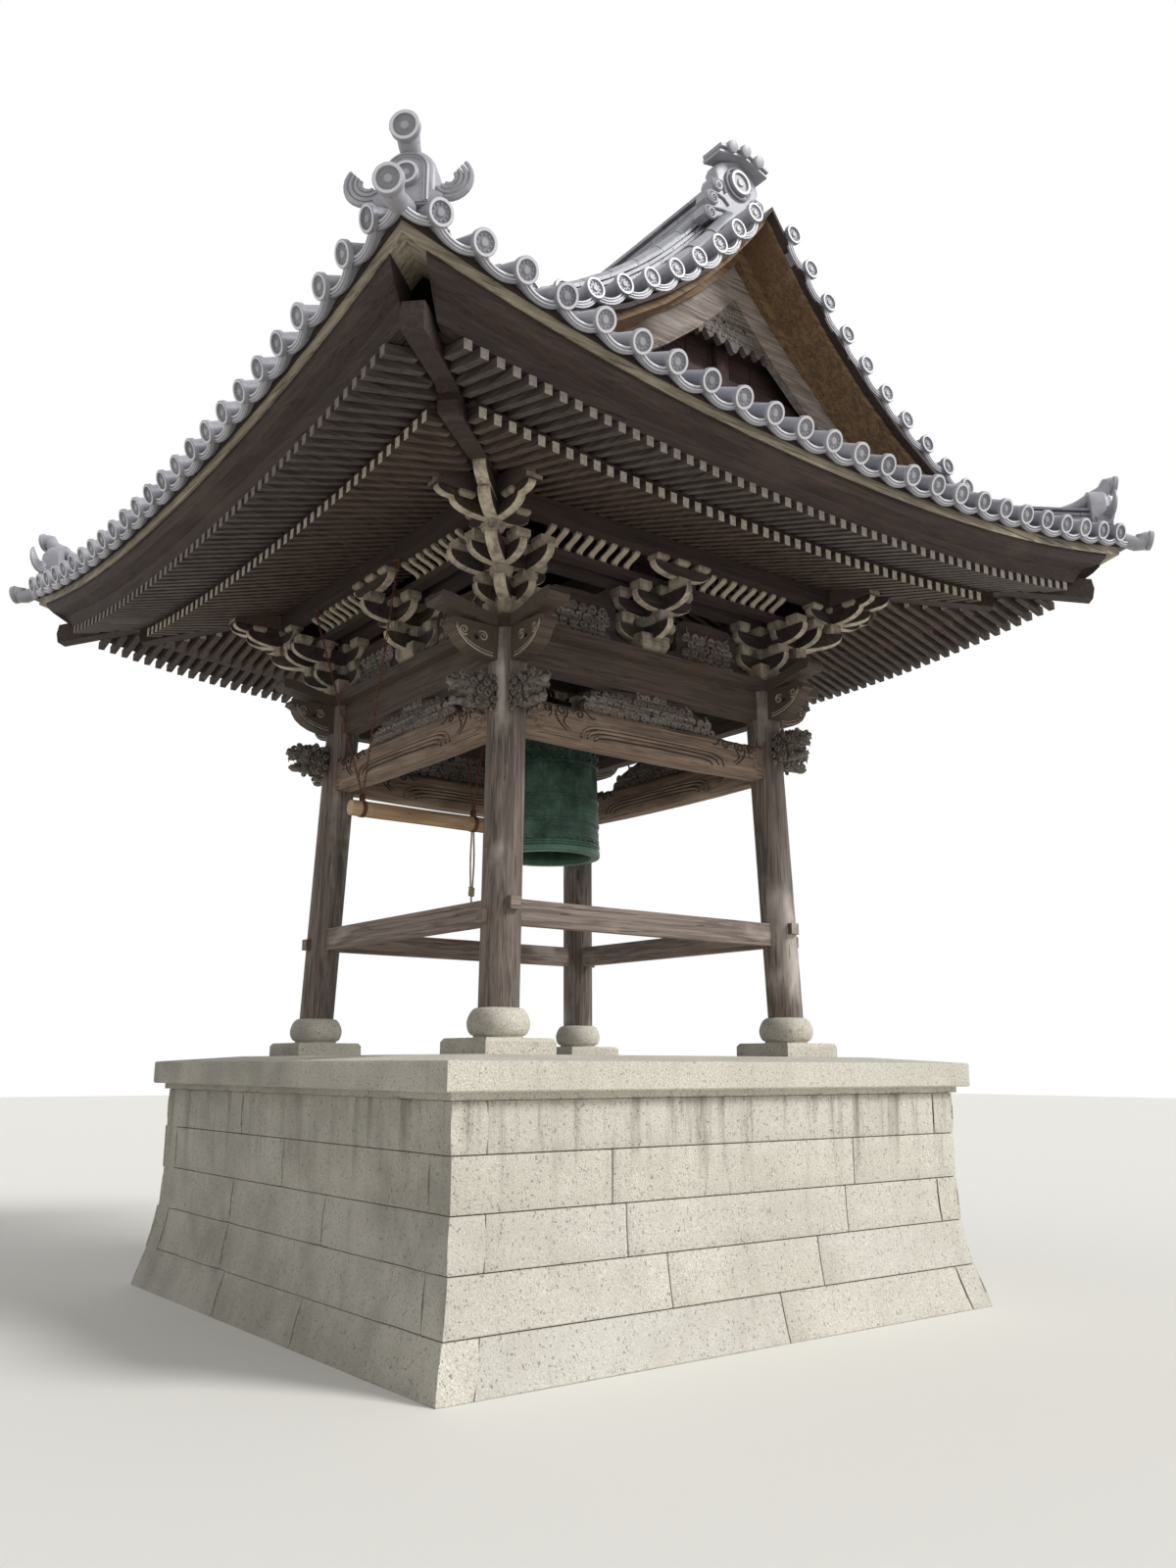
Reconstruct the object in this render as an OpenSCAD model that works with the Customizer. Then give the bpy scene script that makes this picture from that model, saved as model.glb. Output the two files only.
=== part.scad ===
// Temple bell tower: a hip-and-gable tiled roof on four leaning posts over a battered granite podium,
// with a hanging bronze bell and a horizontal log striker. Millimetres, +Z up, origin on the ground
// under the middle of the tower. The front is the -Y side and has a gable over it; the striker is at -X.

/* [Podium] */
// Width of the podium wall above its batter
wall_w = 4020; // [3700:10:4200]
// Width of the podium at the ground
foot_w = 4290; // [4210:10:4600]
// Height of the podium wall
wall_h = 1381; // [900:1:1800]
// Height over which the wall leans in
batter_h = 830; // [300:10:890]
// Number of stone courses in the wall
course_n = 5; // [3:1:7]
// Depth of the chamfer along each course joint
joint_d = 7; // [2:1:14]
// Height of the ledge course under the cap
ledge_h = 40; // [20:1:80]
// How far the ledge stands out from the wall
ledge_out = 25; // [5:1:45]
// Width of the cap slab
cap_w = 4202; // [4150:2:4400]
// Thickness of the cap slab at its edge
cap_t = 156; // [100:1:220]
// Rise of the cap from its edge to its level middle
cap_crown = 38; // [10:1:60]
// Width of the level middle of the cap
cap_level_w = 3240; // [3100:10:3600]
// Width of a plinth stone
plinth_w = 496; // [440:2:560]
// Height of a plinth stone
plinth_h = 95; // [60:1:140]

/* [Posts] */
// Distance from the tower's middle to a post's axis at its foot
post_foot = 1222; // [1150:1:1300]
// Radius of a post
post_r = 124; // [112:1:135]
// How far a post leans in over each metre of height
post_lean = 32.4; // [0:0.1:45]
// Height of a round base stone
base_h = 177; // [130:1:230]
// Greatest radius of a base stone
base_r = 189; // [165:1:215]
// Height of the post from its foot to the wall plate
post_h = 2388; // [2300:1:2500]

/* [Lower rails] */
// Height of a rail's underside over the posts' feet
rail_up = 503; // [300:1:700]
// Depth of a rail
rail_h = 158; // [120:2:200]
// Thickness of a rail
rail_t = 72; // [50:1:84]
// How far a rail's tenon stands out of the post
tenon_out = 34; // [10:1:60]

/* [Rainbow beams] */
// Height left for the pierced carving between a beam's top and the head tie over it
beam_drop = 203; // [160:1:260]
// Depth of a rainbow beam at its ends
beam_h = 250; // [200:1:280]
// Thickness of a rainbow beam
beam_t = 204; // [170:2:230]
// Thickness of its shouldered end
beam_end_t = 130; // [100:2:140]
// How far the middle of its underside hangs below the ends
beam_belly = 14; // [0:1:30]
// Length of a lion nosing beyond the post
nosing_l = 330; // [250:5:360]
// Height of a lion nosing
nosing_h = 262; // [200:2:290]
// Width of a lion nosing
nosing_w = 176; // [140:2:200]
// How far the middle of a nosing lies above the middle of the beam
nosing_raise = 98; // [60:2:120]
// Length of the pierced carving over a beam
transom_l = 1200; // [900:10:1500]

/* [Head ties and plates] */
// Depth of a head tie
tie_h = 222; // [180:2:250]
// Thickness of a head tie
tie_t = 108; // [80:2:130]
// Reach of a head tie's nosing from the post's axis
tie_reach = 475; // [420:5:520]
// Thickness of a wall plate
plate_t = 75; // [50:1:90]
// Width of a wall plate
plate_w = 272; // [240:2:300]
// Reach of a plate's nosing from the post's axis
plate_reach = 545; // [500:5:600]

/* [Brackets] */
// Distance that each bracket tier steps out
step = 188; // [160:2:200]
// Depth of a bracket arm
arm_h = 110; // [90:1:120]
// Thickness of a bracket arm
arm_t = 84; // [60:2:96]
// Width of a great bearing block
great_w = 250; // [220:2:280]
// Height of a great bearing block
great_h = 130; // [110:1:150]
// Width of a small bearing block
block_w = 118; // [104:2:130]
// Height of a small bearing block
block_h = 70; // [50:1:80]
// Curved ribs in each half bay
rib_n = 8; // [4:1:9]

/* [Rafters] */
// Distance between rafters
rafter_pitch = 96.4; // [80:0.2:120]
// Width of a rafter
rafter_w = 48; // [36:1:58]
// Depth of a rafter
rafter_h = 64; // [50:1:76]
// Distance from the edge of the tiles back to the base rafters' ends
base_back = 735; // [680:5:830]
// Distance from the edge of the tiles back to the flying rafters' ends
fly_back = 272; // [250:2:330]
// Fall of a base rafter per length beyond the eave purlin
base_pitch = 0.3073; // [0.27:0.0001:0.33]
// Height that a flying rafter falls over its open length
fly_drop = 152; // [100:2:180]
// Width of a hip rafter
hip_w = 114; // [90:2:130]

/* [Roof] */
// Distance from the middle to the edge of the tiles
roof_half = 3130; // [3090:5:3180]
// Height of the roof's apex over the middle of an eave
roof_rise = 2123; // [1800:1:2300]
// Steepness at the ridge, against the mean slope
ridge_pitch = 2.07; // [1.7:0.01:2.2]
// Steepness at the eave, against the mean slope
eave_pitch = 0.7; // [0.6:0.01:0.9]
// Rise of the roof from the middle of an eave to its corner
eave_rise = 346; // [200:2:420]
// Thickness of the tiled roof shell
shell_t = 55; // [40:1:70]
// Distance from the edge of the tiles at the eave back to the gable's verge
verge_back = 633; // [590:1:690]
// Distance from the verge back to the bargeboard's face
barge_back = 377; // [300:1:417]
// Distance from the bargeboard's face back to the gable wall
gable_back = 170; // [130:2:240]
// Depth of a bargeboard
barge_h = 262; // [200:2:300]
// Distance between the rows of round tiles
tile_pitch = 241.5; // [220:0.5:300]
// Width of a row of round tiles
roll_w = 124; // [100:2:140]
// Height of a row of round tiles over the roof's bed
roll_h = 114; // [80:2:130]
// Diameter of the disc that ends a row at the eave
disc_d = 128; // [110:2:140]

/* [Ridges] */
// Height of the main ridge over the tiles
ridge_h = 400; // [300:5:460]
// Width of the main ridge at its base
ridge_w = 250; // [200:5:300]
// Height of a descending ridge over the tiles
verge_ridge_h = 400; // [250:5:450]
// Distance from the verge back to a descending ridge's middle
verge_ridge_back = 497; // [457:1:512]
// Height of a corner ridge over the tiles
corner_ridge_h = 235; // [160:5:280]
// Width of a descending or corner ridge at its base
side_ridge_w = 190; // [150:5:220]

/* [Bell and striker] */
// Diameter of the bell's mouth
bell_d = 790; // [700:5:860]
// Height of the bell without its loop
bell_h = 1090; // [950:5:1180]
// Distance from the bell beam down to the bell's crown
hang_drop = 765.3; // [720:0.1:860]
// Thickness of the bell at its mouth
bell_lip = 66; // [50:1:90]
// Thickness of the bell's wall
bell_wall = 26; // [18:1:40]
// Radius of the striker log
log_r = 55; // [45:1:65]
// Length of the striker log
log_l = 1160; // [1000:5:1200]
// Gap between the striker and the bell at rest
strike_gap = 85; // [60:1:140]
// Distance of the outer sling from the middle of the tower
sling_out = 1550; // [1535:1:1565]
// Distance of the inner sling from the middle of the tower
sling_in = 660; // [600:5:720]

/* [Hidden] */
$fn = 48;

// Gap left between pieces that seat on each other
fit = 0.3;

// Distances from the middle to the rafters' ends, the gable's verge, its bargeboard, its wall and its ridge
base_end = roof_half - base_back;
fly_end = roof_half - fly_back;
verge = roof_half - verge_back;
barge_y = verge - barge_back;
gable_y = barge_y - gable_back;
verge_ridge_y = verge - verge_ridge_back;

// Eave board, its inner edge and its outer one, and the gable wall
board_in = fly_end - 95;
board_edge = roof_half - 97;
board_t = 60;
gable_t = 50;
gable_half = 0.64 * verge;
skirt_in = gable_y - gable_t;
skirt_back = 170;

// Heights, from the ground up
z_ledge = wall_h + ledge_h;
z_cap = z_ledge + cap_t;
z_deck = z_cap + cap_crown;
z_plinth = z_deck + plinth_h;
z_post = z_plinth + base_h;
z_plate = z_post + post_h;
z_rail = z_post + rail_up;
z_tie = z_plate - tie_h;
z_beam = z_tie - beam_drop - beam_h;
z_seat = z_plate + plate_t;
z_arm1 = z_seat + great_h - 40;
z_arm2 = z_arm1 + arm_h + block_h;
z_arm3 = z_arm2 + arm_h + block_h;
arm3_h = 90;
block3_h = 40;
z_eave = z_arm3 + arm3_h + block3_h;
purlin_h = 120;
z_rafter = z_eave + purlin_h;

// Distance of a post's axis from the middle at a height
function post_at(z) = post_foot - post_lean * (z - z_post) / 1000;
line0 = post_at(z_plate);
line1 = line0 + step;
line2 = line1 + step;
purlin_w = 116;

// Rise towards the corners, at a across the slope and b along the eave
function rise(a, b) = eave_rise * pow(min(b, roof_half) / roof_half, 2.2) * pow(a / roof_half, 1.5);
// Height of the roof's tiled surface at a distance from the middle, before the corner's rise
base_drop = base_pitch * (base_end - line2 - purlin_w / 2);
// The tiles' edge stands this high over the base rafters' ends
eave_over = 237;
z_roof_eave = z_rafter - base_drop + eave_over;
fall_c = eave_pitch + ridge_pitch - 2;
fall_b = 3 - 2 * ridge_pitch - eave_pitch;
function profile(a) = let (s = a / roof_half)
  z_roof_eave + roof_rise * (1 - s * (ridge_pitch + s * (fall_b + s * fall_c)));
function roof_z(x, y) = let (a = max(abs(x), abs(y)), b = min(abs(x), abs(y))) profile(a) + rise(a, b);
function slope_z(a, y) = profile(a) + rise(a, min(abs(y), a));

// The tiled surface is a mesh of rows down the slope and columns along the eave
slope_rows = concat(verge * [0, 0.06, 0.14, 0.24, 0.36, 0.5, 0.64, 0.8, 1],
  [board_in, board_edge, roof_half]);
col_n = 12;
function col(i) = sin(90 * i / col_n);
cols = [for (i = [-col_n : col_n]) col(i)];
function mix(a, b, k) = a + (b - a) * k;
function row_z(a, y) = let (w = max(verge, a), s = min(1, abs(y) / w), k = asin(s) * col_n / 90,
    i = min(col_n - 1, floor(k)), f = (s - col(i)) / (col(i + 1) - col(i)))
  mix(slope_z(a, col(i) * w), slope_z(a, col(i + 1) * w), f);
function row_below(a) = max([for (i = [0 : len(slope_rows) - 2]) if (slope_rows[i] <= a) i]);
// Height difference across the column that holds y, and how far a crease can stand over the mean surface
function across(a, y) = let (w = max(verge, a), s = min(1, abs(y) / w),
  i = min(col_n - 1, floor(asin(s) * col_n / 90)))
  slope_z(a, col(i + 1) * w) - slope_z(a, col(i) * w);
function twist(i, y) = abs(across(slope_rows[i + 1], y) - across(slope_rows[i], y)) / 4;
function crease(a, y) = max(twist(row_below(a), y), twist(row_below(max(0, a - 1)), y));
// Height of the mesh itself at a distance a down the slope and y along the eave
function slope_top(a, y) = let (i = row_below(a), a0 = slope_rows[i], a1 = slope_rows[i + 1])
  mix(row_z(a0, y), row_z(a1, y), (a - a0) / (a1 - a0));
// Distances from the middle, with a station at every row between
function stations(from, to) = concat([from], [for (a = slope_rows) if (a > from + 1 && a < to - 1) a], [to]);

// Copies for the four sides and the four corners
module four() { for (a = [0 : 90 : 270]) rotate([0, 0, a]) children(); }
module corners() { for (x = [0, 1], y = [0, 1]) mirror([x, 0, 0]) mirror([0, y, 0]) children(); }
module two() { for (a = [0, 180]) rotate([0, 0, a]) children(); }

function join(lists) = [for (l = lists) each l];

// Six times the volume inside a closed skin, below zero when its faces run clockwise seen from outside
function skin_volume(points, faces) = let (parts = [for (f = faces) for (k = [1 : len(f) - 2])
  points[f[0]] * cross(points[f[k]], points[f[k + 1]])]) parts * [for (v = parts) 1];
// A closed solid; its faces are turned where needed, because a polyhedron wants them clockwise
module skin(points, faces) {
  turned = skin_volume(points, faces) > 0;
  polyhedron(points, turned ? [for (f = faces) [for (k = [len(f) - 1 : -1 : 0]) f[k]]] : faces);
}

// A skin through rings of points, with flat ends; its creases can mirror about the middle ring
module loft(rings, mirrored = false) {
  m = len(rings[0]);
  n = len(rings);
  sides = [for (i = [0 : n - 2]) for (j = [0 : m - 1]) let (a = i * m + j, b = i * m + (j + 1) % m)
    each (mirrored && 2 * i < n - 1 ? [[a, b, a + m], [b, b + m, a + m]]
      : [[a, b, b + m], [a, b + m, a + m]])];
  ends = [[for (j = [m - 1 : -1 : 0]) j], [for (j = [0 : m - 1]) (n - 1) * m + j]];
  skin(join(rings), concat(sides, ends));
}

// A slab between two grids of points, top and bottom; its creases mirror about the middle column
module slab(top, bottom) {
  r = len(top);
  c = len(top[0]);
  n = r * c;
  function at(i, j) = i * c + j;
  upper = [for (i = [0 : r - 2]) for (j = [0 : c - 2]) each (2 * j < c - 1
    ? [[at(i, j), at(i + 1, j), at(i, j + 1)], [at(i, j + 1), at(i + 1, j), at(i + 1, j + 1)]]
    : [[at(i, j), at(i + 1, j), at(i + 1, j + 1)], [at(i, j), at(i + 1, j + 1), at(i, j + 1)]])];
  rim = concat([for (j = [0 : c - 1]) at(0, j)], [for (i = [1 : r - 1]) at(i, c - 1)],
    [for (j = [c - 2 : -1 : 0]) at(r - 1, j)], [for (i = [r - 2 : -1 : 1]) at(i, 0)]);
  k = len(rim);
  sides = [for (i = [0 : k - 1]) let (a = rim[i], b = rim[(i + 1) % k])
    each [[a, b, b + n], [a, b + n, a + n]]];
  lower = [for (f = upper) [f[2] + n, f[1] + n, f[0] + n]];
  skin(concat(join(top), join(bottom)), concat(upper, lower, sides));
}

// A solid of square plan whose side outline is given as half widths and heights
module square_turned(pts) {
  outline = concat(pts, [for (i = [len(pts) - 1 : -1 : 0]) [-pts[i][0], pts[i][1]]]);
  size = 2 * max([for (p = pts) p[0]]) + 10;
  intersection() {
    rotate([90, 0, 0]) linear_extrude(size, center = true) polygon(outline);
    rotate([90, 0, 90]) linear_extrude(size, center = true) polygon(outline);
  }
}

// A plank standing across Y: its outline is drawn in X and Z, y is its middle
module plank(outline, t, y = 0) {
  translate([0, y, 0]) rotate([90, 0, 0]) linear_extrude(t, center = true) polygon(outline);
}

module box(low, high) { translate(low) cube(high - low); }

// Podium
function wall_half(z) = wall_w / 2 + (foot_w - wall_w) / 2 * pow(max(0, 1 - z / batter_h), 2);
module podium_wall() {
  course = wall_h / course_n;
  color("Gainsboro") square_turned([for (i = [0 : course_n - 1])
    let (low = i * course, high = low + course) each [
      [wall_half(low) - (i == 0 ? 0 : joint_d), low],
      [wall_half(low + joint_d), low + joint_d],
      [wall_half(high - joint_d), high - joint_d],
      [wall_half(high) - joint_d, high]]]);
}
module podium_ledge() {
  half = wall_w / 2 + ledge_out;
  color("LightGray") box([-half, -half, wall_h], [half, half, z_ledge]);
}
module podium_cap() {
  half = cap_w / 2;
  color("WhiteSmoke") square_turned([[half - 8, z_ledge], [half, z_ledge + 8], [half, z_cap - 8],
    [half - 8, z_cap], [cap_level_w / 2, z_deck]]);
}

// Posts on their stones
module at_corners() { corners() translate([-post_foot, -post_foot, 0]) children(); }
module plinth_stones() {
  half = plinth_w / 2;
  color("LightGray") at_corners()
    square_turned([[half, z_deck], [half, z_plinth - 22], [half - 16, z_plinth]]);
}
module base_stones() {
  neck = post_r + 5;
  color("Silver") at_corners() translate([0, 0, z_plinth]) rotate_extrude() polygon(concat(
    [[0, 0], [base_r - 40, 0]],
    [for (t = [0 : 15 : 90]) [base_r - 40 + 40 * sin(t), base_h * (0.08 + 0.42 * (1 - cos(t)))]],
    [for (t = [15 : 15 : 90]) [base_r - (base_r - neck) * (1 - cos(t)),
      base_h * (0.5 + 0.5 * pow(sin(t), 1.4))]],
    [[0, base_h]]));
}
module post_timber() {
  angle = atan(post_lean / 1000);
  tilt = atan(sqrt(2) * post_lean / 1000);
  intersection() {
    translate([-post_foot, -post_foot, z_post]) rotate(tilt, [-1, 1, 0])
      translate([0, 0, -2 * post_r]) cylinder(r = post_r, h = post_h + 4 * post_r);
    box([-post_foot - 3 * post_r, -post_foot - 3 * post_r, z_post + fit], [0, 0, z_plate - fit]);
  }
}
module post_sockets(c) {
  // slots for the crossing head ties
  reach = line0 + 400;
  half = tie_t / 2 + c;
  box([-reach, -tie_line - half, z_tie - c], [0, -tie_line + half, z_plate + 5]);
  box([-tie_line - half, -reach, z_tie - c], [-tie_line + half, 0, z_plate + 5]);
  // housings of the rainbow beams and of the nosings
  for (m = [0, 1]) mirror([m, -m, 0]) {
    box([-beam_line + beam_seat - c, -beam_line - beam_end_t / 2 - c, z_beam - c],
      [0, -beam_line + beam_end_t / 2 + c, z_beam + beam_h + c]);
    box([-reach, -beam_line - nosing_neck / 2 - c, z_nosing + nosing_h * 0.2 - c],
      [-beam_line - beam_seat + c, -beam_line + nosing_neck / 2 + c, z_nosing + nosing_h * 0.8 + c]);
  }
  // mortises of the rails: the front pair passes low and the side pair high
  for (m = [0, 1]) mirror([m, -m, 0]) {
    low = z_rail + (m == 0 ? 0 : rail_h / 2 + fit / 2);
    box([-reach, -rail_line - rail_t / 2 - c, low - c],
      [0, -rail_line + rail_t / 2 + c, low + rail_h / 2 - fit / 2 + c]);
    box([-rail_line + rail_seat - c, -rail_line - rail_t / 2 - c, z_rail - c],
      [0, -rail_line + rail_t / 2 + c, z_rail + rail_h + c]);
  }
}
tie_line = post_at((z_tie + z_plate) / 2);
beam_line = post_at(z_beam + beam_h / 2);
rail_line = post_at(z_rail + rail_h / 2);
beam_seat = 92;
rail_seat = 96;
nosing_neck = 96;
z_nosing = z_beam + beam_h / 2 + nosing_raise - nosing_h / 2;
module posts() {
  color("RosyBrown") corners() difference() { post_timber(); post_sockets(fit); }
}

// Lower rails with half-height tenons that pass through the posts
module rail(high) {
  body = rail_line - rail_seat;
  tip = rail_line + post_r + tenon_out;
  low = z_rail + (high ? rail_h / 2 + fit / 2 : 0);
  translate([0, -rail_line, 0]) union() {
    box([-body, -rail_t / 2, z_rail], [body, rail_t / 2, z_rail + rail_h]);
    box([-tip, -rail_t / 2, low], [tip, rail_t / 2, low + rail_h / 2 - fit / 2]);
  }
}
module lower_rails() {
  color("Tan") two() { rail(false); rotate([0, 0, 90]) rail(true); }
}

// Rainbow beams: round-edged, shouldered where they enter the posts
function round_box(hw, low, high, r) = let (k = min(r, hw * 0.9)) [for (q = [0 : 3]) for (t = [0 : 30 : 90])
  let (sx = (q == 0 || q == 3) ? 1 : -1, sz = q < 2 ? 1 : -1, a = q * 90 + t,
    cx = sx * (hw - k), cz = sz > 0 ? high - k : low + k) [cx + k * cos(a), cz + k * sin(a)]];
module rainbow_beam() {
  half = beam_line - beam_seat;
  shoulder = 90;
  stations = [-half, -half + 45, -half + shoulder + 60, -half * 0.55, -half * 0.2, half * 0.2, half * 0.55,
    half - shoulder - 60, half - 45, half];
  loft([for (x = stations)
    let (ended = abs(x) > half - shoulder, hw = (ended ? beam_end_t : beam_t) / 2
      - (abs(x) > half - shoulder - 70 && !ended ? 6 : 0),
      belly = ended ? 0 : beam_belly * (1 - pow(x / half, 2)))
    [for (p = round_box(hw, z_beam - belly, z_beam + beam_h, ended ? 30 : 78)) [x, -beam_line + p[0],
      p[1]]]]);
}
module rainbow_beams() { color("BurlyWood") four() rainbow_beam(); }

// Lion nosings: a head with an open muzzle, seen from the side, rounded in plan
module lion_nosing() {
  root = beam_line + beam_seat;
  face = beam_line + post_r + 8;
  tip = beam_line + post_r + nosing_l;
  h = nosing_h;
  w = nosing_w / 2;
  l = tip - face;
  intersection() {
    plank([[-root, z_nosing + h * 0.2], [-face, z_nosing + h * 0.2], [-face - l * 0.12, z_nosing + h * 0.02],
      [-face - l * 0.4, z_nosing], [-face - l * 0.62, z_nosing + h * 0.1],
        [-face - l * 0.8, z_nosing + h * 0.12],
      [-face - l * 0.9, z_nosing + h * 0.26], [-face - l * 0.66, z_nosing + h * 0.36],
      [-face - l * 0.66, z_nosing + h * 0.44], [-face - l * 0.95, z_nosing + h * 0.5],
      [-tip, z_nosing + h * 0.62], [-face - l * 0.97, z_nosing + h * 0.78],
        [-face - l * 0.76, z_nosing + h * 0.8],
      [-face - l * 0.68, z_nosing + h * 0.95], [-face - l * 0.45, z_nosing + h],
        [-face - l * 0.15, z_nosing + h * 0.93],
      [-face, z_nosing + h * 0.8], [-root, z_nosing + h * 0.8]], nosing_w, -beam_line);
    translate([0, -beam_line, z_nosing - 10]) linear_extrude(h + 20) polygon([
      [-root, nosing_neck / 2], [-face, nosing_neck / 2], [-face - l * 0.15, w * 0.92], [-face - l * 0.42, w],
      [-face - l * 0.66, w * 0.8], [-face - l * 0.9, w * 0.62], [-tip, w * 0.4],
      [-tip, -w * 0.4], [-face - l * 0.9, -w * 0.62], [-face - l * 0.66, -w * 0.8], [-face - l * 0.42, -w],
      [-face - l * 0.15, -w * 0.92], [-face, -nosing_neck / 2], [-root, -nosing_neck / 2]]);
  }
}
module lion_nosings() {
  color("DimGray") corners() { lion_nosing(); mirror([1, -1, 0]) lion_nosing(); }
}

// Pierced carvings that stand on the beams and reach the head ties
module transom_carving() {
  low = z_beam + beam_h + fit;
  high = z_tie - fit;
  h = high - low;
  half = transom_l / 2;
  wave = [for (t = [-1 : 0.1 : 1]) [t * half, low + h * (0.24 + 0.76 * pow(cos(90 * t), 0.55))
    - (abs(t) < 0.55 ? 0 : 9 * (1 + sin(1800 * t)))]];
  difference() {
    plank(concat([[half, low], [-half, low]], wave), 62, -beam_line);
    for (t = [-0.68, -0.45, -0.2, 0.06, 0.3, 0.55]) translate([t * half, -beam_line, low + h * 0.45])
      rotate([90, 0, 0]) cylinder(r = h * (0.13 + 0.05 * cos(t * 90)), h = 80, center = true, $fn = 24);
  }
}
module transom_carvings() { color("DarkGray") four() transom_carving(); }

// Head ties with scrolled nosings; they halve over each other inside the posts
function scroll(root, reach, low, high) = let (d = reach - root, h = high - low) concat(
  [for (t = [0 : 15 : 75]) [root + d * 0.86 * sin(t), low + h * 0.78 * (1 - cos(t))]],
  [[root + d * 0.86, low + h * 0.7], [reach, low + h * 0.8], [reach - d * 0.03, low + h * 0.94],
    [root + d * 0.82, high]]);
module head_tie(high) {
  root = post_r + 6;
  mid = (z_tie + z_plate) / 2;
  end = scroll(tie_line + root, tie_line + tie_reach, z_tie, z_plate - fit);
  lap = tie_t / 2 + fit;
  difference() {
    plank(concat([[tie_line, z_tie]], [for (p = end) p],
      [for (i = [len(end) - 1 : -1 : 0]) [-end[i][0], end[i][1]]],
      [[-tie_line, z_tie]]), tie_t, -tie_line);
    for (s = [-1, 1]) {
      box([s * tie_line - lap, -tie_line - tie_t, high ? z_tie - 50 : mid - fit / 2],
        [s * tie_line + lap, -tie_line + tie_t, high ? mid + fit / 2 : z_plate + 10]);
      translate([s * (tie_line + tie_reach * 0.58), -tie_line, mid + 10]) rotate([90, 0, 0])
        cylinder(r = 17, h = tie_t + 10, center = true);
    }
  }
}
module head_ties() {
  color("DarkOliveGreen") two() { head_tie(false); rotate([0, 0, 90]) head_tie(true); }
}

// Wall plates over the ties, halved at the corners, with noses that turn up
module wall_plate(high) {
  tip = line0 + plate_reach;
  mid = z_plate + plate_t / 2;
  lap = plate_w / 2 + fit;
  start = line0 + plate_w / 2;
  turn = 70;
  up = [for (t = [0 : 0.125 : 1]) [start + (tip - start) * t, turn * (1 - cos(180 * t)) / 2]];
  under = [for (p = up) [p[0], z_plate + p[1]]];
  over = [for (i = [len(up) - 1 : -1 : 0]) [up[i][0], z_seat + up[i][1]]];
  right = concat(under, [[tip + 12, z_plate + turn + plate_t * 0.5]], over);
  left = [for (i = [len(right) - 1 : -1 : 0]) [-right[i][0], right[i][1]]];
  difference() {
    intersection() {
      plank(concat(right, left), plate_w, -line0);
      plate_plan();
    }
    for (s = [-1, 1]) box([s * line0 - lap, -line0 - plate_w, high ? z_plate - 10 : mid - fit / 2],
      [s * line0 + lap, -line0 + plate_w, high ? mid + fit / 2 : z_seat + turn]);
  }
}
module plate_plan() {
  half = line0 + plate_w / 2;
  nose = 80;
  translate([0, -line0, z_plate - 10]) linear_extrude(plate_t + 120) union() {
    square([2 * half, plate_w], center = true);
    square([2 * (line0 + plate_reach + 20), 2 * nose], center = true);
  }
}
module wall_plates() {
  color("SaddleBrown") two() { wall_plate(false); rotate([0, 0, 90]) wall_plate(true); }
}

// Bracket arms: flat on top, with the underside swept up at each end
function arm_end(l, low, high) = let (h = high - low) [for (t = [0 : 22.5 : 90])
  [l - h * 0.95 * (1 - sin(t)), low + h * 0.52 * (1 - cos(t))]];
function arm_points(left, right, low, high) = let (e = arm_end(left, low, high)) concat(
  arm_end(right, low, high), [[right, high], [-left, high]],
  [for (i = [len(e) - 1 : -1 : 0]) [-e[i][0], e[i][1]]]);
// An arm along X with its middle at x, y
module arm(x, y, left, right, low, h) {
  translate([x, y, 0]) plank(arm_points(left, right, low, low + h), arm_t);
}
// A bearing block: square above, hollowed in below
module block(x, y, low, w, h) {
  translate([x, y, low])
    square_turned([[w / 2 - h * 0.22, 0], [w / 2 - h * 0.1, h * 0.22], [w / 2, h * 0.45], [w / 2, h]]);
}
reach = step + block_w / 2;
module middle_set() {
  y0 = -line0;
  block(0, y0, z_seat, great_w, great_h);
  arm(0, y0, reach, reach, z_arm1, arm_h);
  rotate([0, 0, 90]) arm(y0, 0, reach + 30, reach, z_arm1, arm_h);
  for (s = [-1, 0, 1]) block(s * step, y0, z_arm1 + arm_h, block_w, block_h);
  block(0, -line1, z_arm1 + arm_h, block_w, block_h);
  arm(0, y0, reach + 20, reach + 20, z_arm2, arm_h);
  arm(0, -line1, reach, reach, z_arm2, arm_h);
  rotate([0, 0, 90]) arm(y0, 0, reach + step + 40, reach, z_arm2, arm_h);
  for (s = [-1, 0, 1]) block(s * (step + 20), y0, z_arm2 + arm_h, block_w, block_h);
  for (s = [-1, 0, 1]) block(s * step, -line1, z_arm2 + arm_h, block_w, block_h);
  block(0, -line2, z_arm2 + arm_h, block_w, block_h);
  arm(0, -line2, reach, reach, z_arm3, arm3_h);
  for (s = [-1, 0, 1]) block(s * step, -line2, z_arm3 + arm3_h, block_w, block3_h);
}
module middle_brackets() { color("DarkKhaki") four() middle_set(); }

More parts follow.
